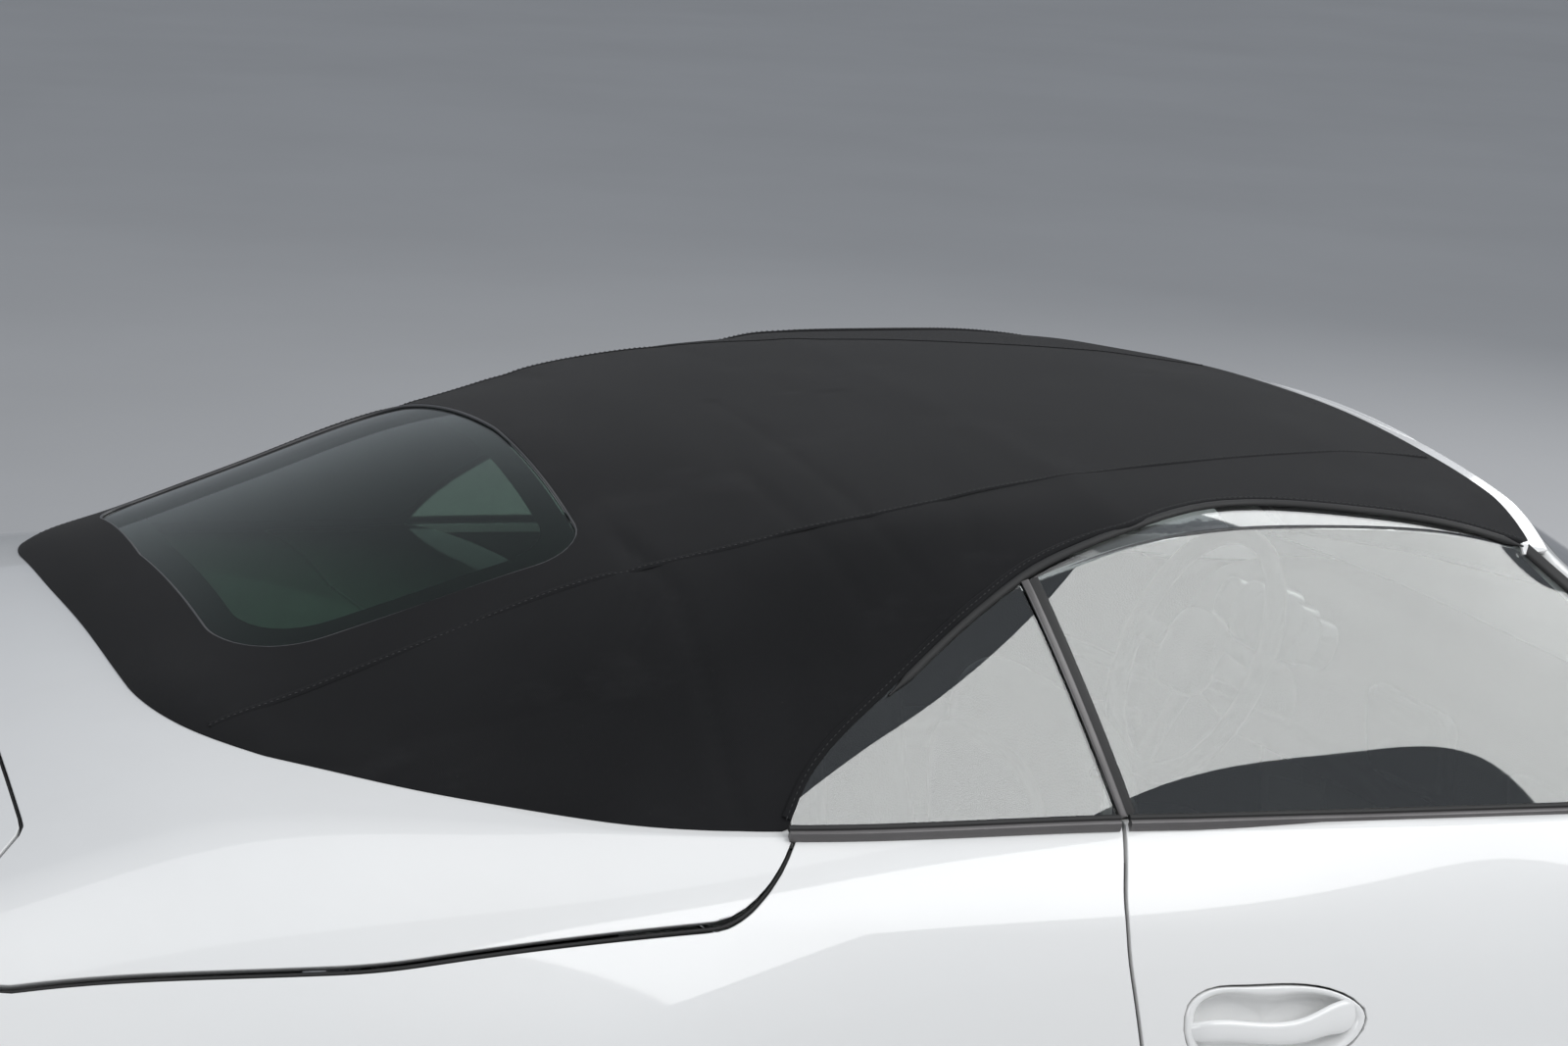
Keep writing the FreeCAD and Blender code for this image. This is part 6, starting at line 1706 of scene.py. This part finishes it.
def closed_sheet(front, back):
    """Closed shell from two facing grids."""
    rows, columns = front.shape[:2]
    rim = [(0, k) for k in range(columns)] + [(k, columns - 1) for k in range(1, rows)]
    rim += [(rows - 1, k) for k in range(columns - 2, -1, -1)] + [(k, 0) for k in range(rows - 2, 0, -1)]
    p, q, _, _ = net(front)
    count = len(p)
    ring = np.array([a * columns + b for a, b in rim])
    after = np.roll(ring, -1)
    q = np.concatenate([q, q[:, ::-1] + count, np.stack([after, ring, ring + count, after + count], -1)])
    p = np.concatenate([p, back.reshape(-1, 3)])
    return facing_out((p, q[:, ::-1], np.zeros((0, 3), int), np.zeros_like(p)))


put("windscreen_pane", closed_sheet(front_face, back_face), "root", side_glass, ["windscreen"],
    sharp=40)
header_rule = inside_all(lambda p: behind_arc(p, FRONT - 0.958), lambda p: -behind_header(p) - 0.016,
                         above(1.176))
header = cut_panel(roof_at, np.linspace(0.20, 0.46, 90), ROOF_TURNS, header_rule, 0.006, 0.001, 0.0012)
put("header_skin", header, "root", paint)
cover_rule = inside_all(drawn_in("plan", COWL_LINE, -0.003), beyond(bonnet_plan, 0.0075), above(0.6))
scuttle = body_panel(cover_rule, (FRONT - 0.72, FRONT - 0.30), (1.8, 6.2), wall=0.002, depth=-0.0022)
put("scuttle_cover", scuttle, "root", trim)


def wiper(u_from, u_to, pivot_y):
    """Arm and blade that rest along the foot of the screen."""
    u = np.linspace(u_from, u_to, 30)
    blade = screen_at(u, 0.118 + 0.02 * (1 - np.abs(np.linspace(-1, 1, 30))), -0.010)
    arm_end = screen_at(u[12], 0.13, -0.018)
    foot_z = float(deck_height(np.array(FRONT - 0.46), np.array(pivot_y))) + 0.006
    foot = np.array([FRONT - 0.46, pivot_y, foot_z])
    arm = smooth_path([foot, foot + [-0.02, 0.03 * np.sign(u_to - u_from), 0.012],
                       (foot + arm_end) / 2 + [0, 0, 0.012], arm_end], 0.010)
    up = np.array([0.45, 0, 0.89])
    return [sweep(blade, up, ring_section(0.0035, 0.0060, 8)),
            sweep(arm, up, ring_section(0.0075, 0.0040, 10, 3.0)),
            turned([(0.0, 0.012), (0.013, 0.010), (0.015, -0.010), (0.0, -0.010)], foot, 20, (0, 0, 1),
                   loop=False)]


put("wipers", joined(wiper(-0.62, 0.10, 0.10) + wiper(0.05, 0.72, 0.52)), "root", trim, sharp=50)


# %% [markdown]
# Along the foot of the side glass runs a belt moulding: a dark wiping lip on top and a
# satin strip below it, cut where the door ends. A black post stands between the door's
# glass and the small pane behind it, and a black seal runs up the screen's pillar.

# %% Belt mouldings, post and pillar seal
def belt_path(x_low, x_high, out, up):
    """Line beside the foot of the glass, some way out from it and up from the body's edge."""
    x = np.arange(x_low, x_high, 0.015)
    edge = body_edge(x)
    base = np.interp(x, roof_rows[::-1, 0], roof_rows[::-1, 1])
    y = np.minimum(edge[:, 7], base) - 0.004 + out
    return np.stack([x, y, edge[:, 8] + up], -1)


shut_x = REAR + 0.7165
belt_parts, lip_parts = {}, {}
for key, low, high in (("quarter", REAR + 0.318, shut_x - 0.0035), ("door", shut_x + 0.0035, FRONT - 0.705)):
    lean = np.array([0, 0.35, 0.94])
    belt_parts[key] = sweep(belt_path(low, high, 0.0085, 0.0005), lean, ring_section(0.0045, 0.0068, 14, 3.2))
    lip_parts[key] = sweep(belt_path(low, high, 0.0055, 0.0085), lean, ring_section(0.0038, 0.0036, 12, 2.6))
satin = finish("Satin belt strip", (0.12, 0.115, 0.115), (0.095, 0.09, 0.09), rough=(0.28, 0.38), scale=8.0,
               grain_scale=800.0, grain_depth=0.00002, Metallic=0.3)
put("quarter_belt_strips", both(belt_parts["quarter"]), "root", satin, sharp=60)
put("quarter_belt_lips", both(lip_parts["quarter"]), "root", rubber, sharp=60)
for side_name, turn in HANDS:
    put("door_belt_strip_" + side_name, turn(belt_parts["door"]), "door_" + side_name, satin,
        sharp=60)
    put("door_belt_lip_" + side_name, turn(lip_parts["door"]), "door_" + side_name, rubber, sharp=60)

post_line = evenly(np.array([(R + 724.5, 930), (R + 640, 1174)]) * MM, 0.012)
post_path, post_up = laid(roof_at, "side", post_line, ROOF_RUNS, SIDE_TURNS, -0.0035)
post = sweep(post_path, post_up, ring_section(0.0105, 0.0030, 14, 4.0))
put("glass_posts", both(post), "root", rubber, sharp=60)
bright_path, bright_up = laid(roof_at, "side", beside(post_line, 0.0062), ROOF_RUNS, SIDE_TURNS, -0.0004)
post_strips = both(sweep(bright_path, bright_up, ring_section(0.0046, 0.0010, 10, 3.0)))
put("post_strips", post_strips, "root",
    satin, sharp=60)
pillar_line = evenly(np.array([(F - 1046, 1182), (F - 716, 920)]) * MM, 0.012)
pillar_path, pillar_up = laid(roof_at, "side", pillar_line, np.linspace(0, 0.6, 60), SIDE_TURNS, -0.0040)
pillar_seals = both(sweep(pillar_path, pillar_up, ring_section(0.0085, 0.0048, 14, 3.0)))
put("pillar_seals", pillar_seals, "root",
    rubber, sharp=60)

# %% [markdown]
# The door handle is a painted dish with a pull bar across it, let into a hole in the
# door's skin with a fine dark gap round it. The dish is a chain of rings: the hole's
# outline drawn in towards its middle while the depth grows.


# %% Door handles
def dish_ring(inset, depth):
    """The handle's outline drawn in by an inset, some way under the skin."""
    flat = HANDLE_LINE
    centre = flat.mean(0)
    away = np.linalg.norm(flat - centre, axis=1, keepdims=True)
    line = centre + (flat - centre) * np.maximum(1 - inset / away, 0.02)
    path, facing = laid(body_at, "side", line, COARSE_RUNS, FLANK_TURNS)
    return path - facing * depth


dish_steps = [(0.0010, 0.0022), (0.0018, 0.0006), (0.0040, 0.0001), (0.0085, 0.0005), (0.0115, 0.0028),
              (0.0150, 0.0085), (0.0200, 0.0160), (0.0280, 0.0215), (0.0360, 0.0240), (0.0440, 0.0250)]
dish_back = [(0.0010, 0.0260), (0.0300, 0.0290)]
dish = ringed([dish_ring(*step) for step in dish_steps[::-1] + dish_back])
bar_spots = [(-297, 704, -3.0, 9.0), (-285, 705, 3.5, 11.5), (-262, 705, 7.5, 13.0), (-225, 701, 9.5, 12.5),
             (-188, 697, 10.0, 13.5), (-150, 700, 9.5, 15.0), (-120, 707, 6.5, 18.0), (-97, 709, 1.5, 18.5),
             (-86, 709, -4.0, 14.0)]
bar_table = np.array(bar_spots) * MM
bar_knots = np.concatenate([[0], np.cumsum(np.abs(np.diff(bar_table[:, 0])))])
bar_rows = spline(bar_knots, bar_table)(np.linspace(0, bar_knots[-1], 44))
bar_at, bar_out = laid(body_at, "side", bar_rows[:, :2], COARSE_RUNS, FLANK_TURNS)
bar_middle = bar_at + bar_out * (bar_rows[:, 2:3] - 0.0055)
round_section = ring_section(1.0, 1.0, 18, 2.6)
bar_section = round_section[None] * np.stack([np.full(44, 0.0058), bar_rows[:, 3]], -1)[:, None]
pull_bar = sweep(bar_middle, np.array([0, 0, 1.0]), bar_section)
for side_name, turn in HANDS:
    put("handle_dish_" + side_name, turn(dish), "door_" + side_name, paint, sharp=60)
    put("handle_bar_" + side_name, turn(pull_bar), "door_" + side_name, paint, sharp=60)

# %% [markdown]
# Inside, each door carries a padded card with an armrest and a pocket. The mirror is an
# oval housing on a short foot, cut off behind where its glass sits.

# %% Door cards and mirrors
card_rule = drawn_in("side", [(F - 600, 880, 40), (F - 590, 330, 60), (R + 850, 330, 120),
                              (R + 745, 640, 160), (R + 735, 880, 30)])
card = body_panel(card_rule, (REAR + 0.70, FRONT - 0.57), (0.0, 3.0), wall=0.008, lip=0.003, depth=0.0505)
armrest = block((FRONT - 1.13, 0.722, 0.605), (0.27, 0.045, 0.026), 3.5)
card_pull = block((FRONT - 0.93, 0.735, 0.70), (0.10, 0.026, 0.012), 3.0, turn_about("Y", 22))
pocket = block((FRONT - 1.02, 0.752, 0.400), (0.30, 0.030, 0.055), 5.0)
for side_name, turn in HANDS:
    body = "door_" + side_name
    put("door_card_" + side_name, turn(card), body, leather)
    put("door_armrest_" + side_name, turn(joined([armrest, card_pull, pocket])), body, dash_plastic,
        sharp=50)

MIRROR_AT = np.array([FRONT - 0.705, 0.893, 0.990])
MIRROR_SIZE = np.array([0.066, 0.104, 0.066])


def oval_ring(ahead_by, wide_by, count):
    """Ring of points on a unit sphere's scale: some way ahead, with a half width."""
    turn = np.linspace(0, 2 * np.pi, count, endpoint=False)
    return np.stack([np.full(count, ahead_by), wide_by * np.cos(turn), wide_by * np.sin(turn)], -1)


def mirror_housing():
    """Oval of half sizes a, b, c, from its nose back to the cut, with its rim folded in."""
    chain = [oval_ring(math.sin(lean), math.cos(lean), 64) for lean in np.radians(np.linspace(90, -18.5, 22))]
    edge = chain[-1]
    for step_x, scale in ((-0.02, 0.985), (-0.02, 0.955), (0.05, 0.940), (0.10, 0.935)):
        chain.append(edge * [1, scale, scale] + [step_x, 0, 0])
    return ringed(np.array(chain) * MIRROR_SIZE * 0.998 + MIRROR_AT)


face_rings = [(-0.275, 0.10), (-0.272, 0.6), (-0.27, 0.875), (-0.23, 0.885), (-0.20, 0.5)]
mirror_face = ringed(np.array([oval_ring(*ring, 48) for ring in face_rings]) * MIRROR_SIZE + MIRROR_AT)
foot_path = smooth_path([(FRONT - 0.690, 0.765, 0.914), (FRONT - 0.694, 0.800, 0.932),
                         (FRONT - 0.698, 0.850, 0.952)], 0.006)
mirror_foot = sweep(foot_path, np.array([1.0, 0, 0]), ring_section(0.011, 0.021, 18, 2.6))
mirror_pane_finish = finish("Mirror glass", (0.80, 0.82, 0.83), (0.77, 0.79, 0.80),
                            rough=(0.01, 0.03), scale=3.0,
                            Metallic=1.0)
for side_name, turn in HANDS:
    body = "door_" + side_name
    put("mirror_%s_housing" % side_name, turn(joined([mirror_housing(), mirror_foot])), body, paint,
        ["mirror_" + side_name], sharp=50)
    put("mirror_%s_glass" % side_name, turn(mirror_face), body, mirror_pane_finish, sharp=40)


# %% [markdown]
# Seats and bench are foam under leather. Each pad starts as an oval-ended form drawn
# from the seat's side view, gets even cells, and is then blown up a little as cloth
# with pressure inside and no gravity, which tightens its skin and crowns it. No point
# may move further than a set cap. Belt loops are added after that.


# %% Padded forms
def pad_form(profile, middle_y, half, ends=3.0, bolster=0.0, hollow=0.0, count=28):
    """Side view profile carried across the seat; (1 - |v|^n)^(1/n) draws it in at both ends,
    and bolster * bell(|v| - 0.78) lifts the front or upper face near both sides."""
    line = evenly_round(rounded(profile), 0.02)[:-1]
    centre = line.mean(0)
    v = np.sin(np.linspace(-np.pi / 2, np.pi / 2, 2 * count + 1))
    size = np.clip(1 - np.abs(v) ** (ends * 2), 0, 1) ** (1 / ends)
    facing = line - centre
    towards = np.array([0.35, 0.94]) if np.ptp(line[:, 0]) > np.ptp(line[:, 1]) else np.array([0.97, -0.2])
    front = np.clip((facing @ towards) / np.abs(facing @ towards).max(), 0, 1)
    lift = bolster * np.exp(-((np.abs(v) - 0.80) / 0.16) ** 2) - hollow * np.exp(-(v / 0.55) ** 2)
    flat = centre + facing[None] * size[:, None, None] + towards * (lift[:, None] * front[None])[..., None]
    y = np.broadcast_to((middle_y + half * v)[:, None], flat.shape[:2])
    return facing_out(welded(net(np.stack([flat[..., 0], y, flat[..., 1]], -1), close_v=True)))


PAD_CELL, PAD_PRESSURE, PAD_FRAMES = 0.015, 4.0, 20


def blown(shell, cap=0.009):
    """Even out a closed form's cells and let cloth pressure swell it, each point by at most cap."""
    p, q, t, _ = shell
    mesh = bpy.data.meshes.new("pad_start")
    mesh.from_pydata(p.tolist(), [], q.tolist() + t.tolist())
    pad = bpy.data.objects.new("pad_start", mesh)
    bpy.context.scene.collection.objects.link(pad)
    even = pad.modifiers.new("Even cells", "REMESH")
    even.mode, even.voxel_size = "VOXEL", PAD_CELL
    graph = bpy.context.evaluated_depsgraph_get()
    pad.data = bpy.data.meshes.new_from_object(pad.evaluated_get(graph))
    pad.modifiers.clear()
    count = len(pad.data.vertices)
    before = np.zeros(count * 3)
    pad.data.vertices.foreach_get("co", before)
    after = before
    cloth = pad.modifiers.new("Filling", "CLOTH")
    cloth.settings.use_pressure = True
    cloth.settings.uniform_pressure_force = PAD_PRESSURE
    cloth.settings.effector_weights.gravity = 0
    cloth.settings.quality = 4
    for frame_number in range(1, PAD_FRAMES + 1):
        bpy.context.scene.frame_set(frame_number)
    settled = pad.evaluated_get(bpy.context.evaluated_depsgraph_get()).data
    after = np.zeros(count * 3)
    settled.vertices.foreach_get("co", after)
    bpy.context.scene.frame_set(1)
    pad.modifiers.clear()
    move = (after - before).reshape(-1, 3)
    far = np.linalg.norm(move, axis=1, keepdims=True)
    points = before.reshape(-1, 3) + move * np.minimum(1, cap / np.maximum(far, 1e-9))
    corners = np.zeros(len(pad.data.loops), int)
    pad.data.loops.foreach_get("vertex_index", corners)
    quads = corners.reshape(-1, 4)
    bpy.data.objects.remove(pad)
    print("pad of", count, "points, moved up to", round(float(np.minimum(far, cap).max()), 4), "m")
    return points, quads, np.zeros((0, 3), int), np.zeros_like(points)


def padded_piece(name, shell):
    """A blown pad as a piece, with one subdivision."""
    pad = put(name, shell, "root", leather, sharp=180)
    smooth = pad.modifiers.new("Smooth", "SUBSURF")
    smooth.levels = smooth.render_levels = 1


SEAT_Y = 0.370
CUSHION = [(-178, 292, 30), (310, 302, 40), (318, 388, 40), (190, 394, 60), (-140, 338, 30)]
SEAT_BACK = [(-210, 330, 25), (-112, 352, 30), (-150, 480, 200), (-196, 700, 150), (-214, 850, 60),
             (-232, 900, 60), (-236, 990, 40), (-322, 985, 40), (-318, 780, 200), (-262, 520, 200)]
BENCH_PAD = [(R + 232, 428, 20), (R + 356, 428, 20), (R + 500, 418, 20), (R + 504, 462, 25),
             (R + 352, 488, 60), (R + 226, 484, 20)]
BENCH_REST = [(R + 224, 520, 20), (R + 284, 520, 25), (R + 226, 860, 25), (R + 196, 864, 15)]
seat_pad = blown(pad_form(CUSHION, 0, 0.240, bolster=0.022, hollow=0.012))
seat_rest = blown(pad_form(SEAT_BACK, 0, 0.228, bolster=0.026, hollow=0.010))
bench_pad = blown(pad_form(BENCH_PAD, 0.270, 0.198, hollow=0.010), cap=0.006)
bench_rest = blown(pad_form(BENCH_REST, 0.270, 0.200, hollow=0.006), cap=0.006)


def moved(shell, offset):
    """A shell moved by an offset."""
    p, q, t, n = shell
    return p + np.asarray(offset), q, t, n


def at_both_seats(shell):
    """A shell drawn on the centre line, once at each front seat."""
    return joined([moved(shell, (0, SEAT_Y, 0)), moved(shell, (0, -SEAT_Y, 0))])


seat_stand = block((0.060, 0, 0.250), (0.180, 0.175, 0.068), 6.0)
for side_name, side in (("left", 1), ("right", -1)):
    away = (0, side * SEAT_Y, 0)
    padded_piece("seat_cushion_" + side_name, moved(seat_pad, away))
    padded_piece("seat_back_" + side_name, moved(seat_rest, away))
    turn = dict(HANDS)[side_name]
    padded_piece("bench_cushion_" + side_name, turn(bench_pad))
    padded_piece("bench_back_" + side_name, turn(bench_rest))
put("seat_stands", at_both_seats(seat_stand), "root", dash_plastic, ["seats"], sharp=50)
bench_base = both(block((REAR + 0.430, 0.318, 0.292), (0.058, 0.195, 0.105), 8.0))
put("bench_base", bench_base, "root", carpet, ["rear_bench"], sharp=50)

# Belt loops on the seats' shoulders, and the backs' shells.
loop_angle = np.linspace(0, 2 * np.pi, 40, endpoint=False)
loop_path = np.stack([0 * loop_angle, 0.022 * np.cos(loop_angle), 0.040 * np.sign(np.sin(loop_angle))
                      * np.abs(np.sin(loop_angle)) ** 0.7], -1)
belt_loop = sweep(loop_path, np.array([1.0, 0, 0]), ring_section(0.0045, 0.007, 10), loop=True)
loops = [moved(belt_loop, (-0.290, side * (SEAT_Y + 0.205), 0.885)) for side in (1, -1)]
put("belt_loops", joined(loops), "root", pale_trim, sharp=60)
back_shell = block((-0.318, 0, 0.690), (0.016, 0.175, 0.225), 4.0, turn_about("Y", -7))
put("seat_back_shells", at_both_seats(back_shell), "root", dash_plastic, sharp=50)

# %% [markdown]
# The dashboard is one soft section carried across the cabin, deeper in front of the
# driver. Round instruments and the blank screen sit in it, and a console runs
# back between the seats.

# %% Dashboard and steering wheel
DASH_LINE = [(F - 440, 655, 10), (F - 440, 868, 10), (F - 620, 886, 60), (F - 770, 862, 60),
             (F - 812, 800, 40), (F - 806, 690, 50), (F - 700, 580, 60)]
dash_section = evenly_round(rounded(DASH_LINE), 0.014)[:-1]
DASH_HALF = 0.676
dash_y = np.sin(np.linspace(-np.pi / 2, np.pi / 2, 61)) * DASH_HALF
hood = np.exp(-((dash_y - SEAT_Y) / 0.17) ** 4)
dash_x, dash_z = dash_section.T
near = np.clip((dash_z - 0.82) / 0.05, 0, 1) * np.clip((FRONT - 0.60 - dash_x) / 0.1, 0, 1)
dash_rings = []
for y, swell in zip(dash_y, hood):
    fall = np.array([0.0, 0.012 * (y / DASH_HALF) ** 2])
    line = dash_section - fall + near[:, None] * swell * np.array([-0.030, 0.030])
    dash_rings.append(np.stack([line[:, 0], np.full(len(line), y), line[:, 1]], -1))
put("dashboard_skin", ringed(dash_rings), "root", dash_plastic, ["dashboard"], sharp=55)
dial_black = finish("Instrument black", (0.006, 0.006, 0.006), (0.012, 0.012, 0.012),
                    rough=(0.12, 0.2), scale=30.0,
                    Coat_Weight=0.5)
dials = []
for y, size in ((0.250, 0.036), (0.310, 0.044), (0.370, 0.055), (0.430, 0.044), (0.490, 0.036)):
    face = [(0.0, 0.006), (size * 0.88, 0.006), (size * 0.94, 0.010), (size, 0.009), (size, -0.02),
            (0.0, -0.02)]
    dials.append(turned(face, (FRONT - 0.840, y, 0.842), 36, (-0.94, 0, 0.34), (0.34, 0, 0.94), loop=False))
centre_screen = block((FRONT - 0.812, 0, 0.760), (0.012, 0.110, 0.065), 8.0, turn_about("Y", -6))
glove_lid = block((FRONT - 0.805, -0.420, 0.745), (0.012, 0.170, 0.055), 8.0, turn_about("Y", -6))
console = block((FRONT - 1.08, 0, 0.385), (0.36, 0.100, 0.095), 5.0, turn_about("Y", -9))
lever = [pipe(smooth_path([(0.165, 0, 0.46), (0.150, 0, 0.50), (0.140, 0, 0.54)], 0.008), 0.009),
         block((0.138, 0, 0.556), (0.024, 0.022, 0.028), 2.4)]
put("instruments", joined(dials + [centre_screen]), "root", dial_black, sharp=40)
put("console", joined([console, glove_lid, *lever]), "root", dash_plastic, sharp=50)
wheel_turn = turn_about("Y", -66)
wheel_centre = np.array([FRONT - 0.960, SEAT_Y, 0.800])


def wheel_spoke(angle, wide):
    """Spoke from the hub to the rim, with an oval section that narrows in the middle."""
    share = np.linspace(0, 1, 14)
    reach = np.stack([np.cos(angle) * (0.035 + 0.142 * share), np.sin(angle) * (0.035 + 0.142 * share),
                      -0.012 + 0.012 * share], -1)
    width = wide * (1 - 0.45 * np.sin(np.pi * share * 0.8)) + 0.004
    sections = ring_section(1.0, 1.0, 14, 2.6)[None] * np.stack([width, np.full(14, 0.0075)], -1)[:, None]
    return sweep(reach, np.array([0, 0, 1.0]), sections)


rim_angle = np.linspace(0, 2 * np.pi, 96, endpoint=False)
rim_path = np.stack([0.182 * np.cos(rim_angle), 0.182 * np.sin(rim_angle), 0 * rim_angle], -1)
wheel_rim = sweep(rim_path, np.array([0, 0, 1.0]), ring_section(0.0140, 0.0150, 18), loop=True)
airbag = block((0, 0, 0.004), (0.062, 0.068, 0.024), 3.0)
column = turned([(0.0, -0.010), (0.034, -0.012), (0.040, -0.035), (0.036, -0.150), (0.026, -0.228),
                 (0.0, -0.230)],
                (0, 0, 0), 40, (0, 0, 1), loop=False)
wheel_parts = joined([wheel_rim, airbag, column, wheel_spoke(np.pi / 2, 0.020),
                      wheel_spoke(-np.pi / 2, 0.020),
                      wheel_spoke(np.pi, 0.024)])
p, q, t, n = wheel_parts
put("steering_wheel_rim", (p @ wheel_turn.T + wheel_centre, q, t, n), "root", leather,
    ["steering_wheel"], sharp=50)

# %% [markdown]
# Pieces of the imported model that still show, such as the floor, structure, axles,
# engine, wheel carriers and silencer, keep their shapes and only get finishes. The pipe
# ends get a bright rolled edge.

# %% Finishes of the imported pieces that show
SHOWN = {"sills": paint, "cowl": paint, "floor_pan": carpet, "front_structure": undercoat,
         "rear_structure": undercoat, "engine": casting, "exhaust": steel, "front_axle": casting,
         "rear_axle": casting, "knuckle_left": casting, "knuckle_right": casting}
for node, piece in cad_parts.items():
    piece.data.materials.clear()
    piece.data.materials.append(SHOWN.get(node, trim))
tip_profile = [(0.046, 0.020), (0.0475, 0.008), (0.0478, -0.004), (0.0455, -0.0075), (0.0425, -0.006),
               (0.0415, 0.020), (0.0415, 0.060), (0.046, 0.060)]
tips = turned(tip_profile, (TAIL + 0.030, TIP_Y, TIP_Z), 64, (1, 0, 0), (0, 1, 0))
put("pipe_ends", both(tips), "root", chrome, sharp=60)


# %% [markdown]
# Wide pale floor, soft studio light, and the camera at the photograph's angle.

# %% Stage, light and camera
world = bpy.data.worlds.new("Studio")
bpy.context.scene.world = world
world.use_nodes = True
world.node_tree.nodes["Background"].inputs["Color"].default_value = (0.75, 0.80, 0.88, 1)
world.node_tree.nodes["Background"].inputs["Strength"].default_value = 0.42


def aimed(name, place, target, size, power):
    """Soft rectangular light at a place, aimed at a target."""
    data = bpy.data.lights.new(name, "AREA")
    data.shape, data.size, data.size_y, data.energy = "RECTANGLE", *size, power
    lamp = bpy.data.objects.new(name, data)
    bpy.context.scene.collection.objects.link(lamp)
    lamp.location = place
    lamp.rotation_euler = (Vector(target) - Vector(place)).to_track_quat("-Z", "Y").to_euler()


aimed("Overhead", (0.3, -0.6, 5.2), (0.0, 0.0, 0.6), (7.0, 4.0), 80)
aimed("Camera_side", (-4.6, -6.0, 3.6), (-0.4, -0.4, 0.7), (4.5, 3.0), 115)
aimed("Glass_side", (3.43, -4.11, 4.49), (-0.1, -0.7, 1.05), (6.6, 3.3), 226)
aimed("Far_side", (5.0, 4.6, 3.6), (0.0, 0.4, 0.8), (4.0, 2.6), 60)


FLAT_TO, FLOOR_END, FLOOR_RISE = 26, 40, 6


def stage_sheet():
    """Wide floor that rises far away on every side: at a distance d from the middle the height is
    h (1 - cos(pi (d - a) / (b - a))) / 2 between a and b, and 0 up to a."""
    angle = np.linspace(0, 2 * np.pi, 97)
    away = np.concatenate([[0.02], np.linspace(2, FLAT_TO, 13), np.linspace(FLAT_TO + 1, FLOOR_END, 14)])
    share = np.clip((away - FLAT_TO) / (FLOOR_END - FLAT_TO), 0, 1)
    rise = FLOOR_RISE / 2 * (1 - np.cos(np.pi * share))
    spots = np.broadcast_arrays(np.cos(angle)[:, None] * away, np.sin(angle)[:, None] * away, rise[None])
    return np.stack(spots, -1)


floor_points, floor_quads, _, _ = net(stage_sheet())
floor_mesh = bpy.data.meshes.new("Floor")
floor_mesh.from_pydata(floor_points.tolist(), [], floor_quads.tolist())
floor_mesh.shade_smooth()
floor_finish = finish("Pale floor", (0.62, 0.62, 0.62), (0.59, 0.59, 0.59), rough=(0.6, 0.75), scale=0.6,
                      grain_scale=60.0, grain_depth=0.0003)
floor_mesh.materials.append(floor_finish)
floor = bpy.data.objects.new("Floor", floor_mesh)
bpy.context.scene.collection.objects.link(floor)


FILM, FOCAL_PIXELS, PHOTO_WIDTH = 36.0, 4169.1, 1600


def photo_camera():
    """Camera from its azimuth, elevation and roll, which were worked out from the photograph."""
    azimuth, elevation, roll = (math.radians(angle) for angle in (-21.926, 12.347, 3.403))
    back = np.array([math.sin(azimuth) * math.cos(elevation), -math.cos(azimuth) * math.cos(elevation),
                     math.sin(elevation)])
    right = np.array([math.cos(azimuth), math.sin(azimuth), 0.0])
    up = np.cross(back, right)
    turned_right = right * math.cos(roll) + up * math.sin(roll)
    turned_up = up * math.cos(roll) - right * math.sin(roll)
    data = bpy.data.cameras.new("Photo_camera")
    data.sensor_width = FILM
    data.lens = FILM * FOCAL_PIXELS / PHOTO_WIDTH
    camera = bpy.data.objects.new("Photo_camera", data)
    bpy.context.scene.collection.objects.link(camera)
    turn = Matrix(np.stack([turned_right, turned_up, back], 1).tolist()).to_4x4()
    camera.matrix_world = Matrix.Translation((-2.3475, -4.6635, 2.1936)) @ turn
    bpy.context.scene.camera = camera


photo_camera()
bpy.context.scene.view_settings.view_transform = "Standard"
bpy.context.view_layer.update()
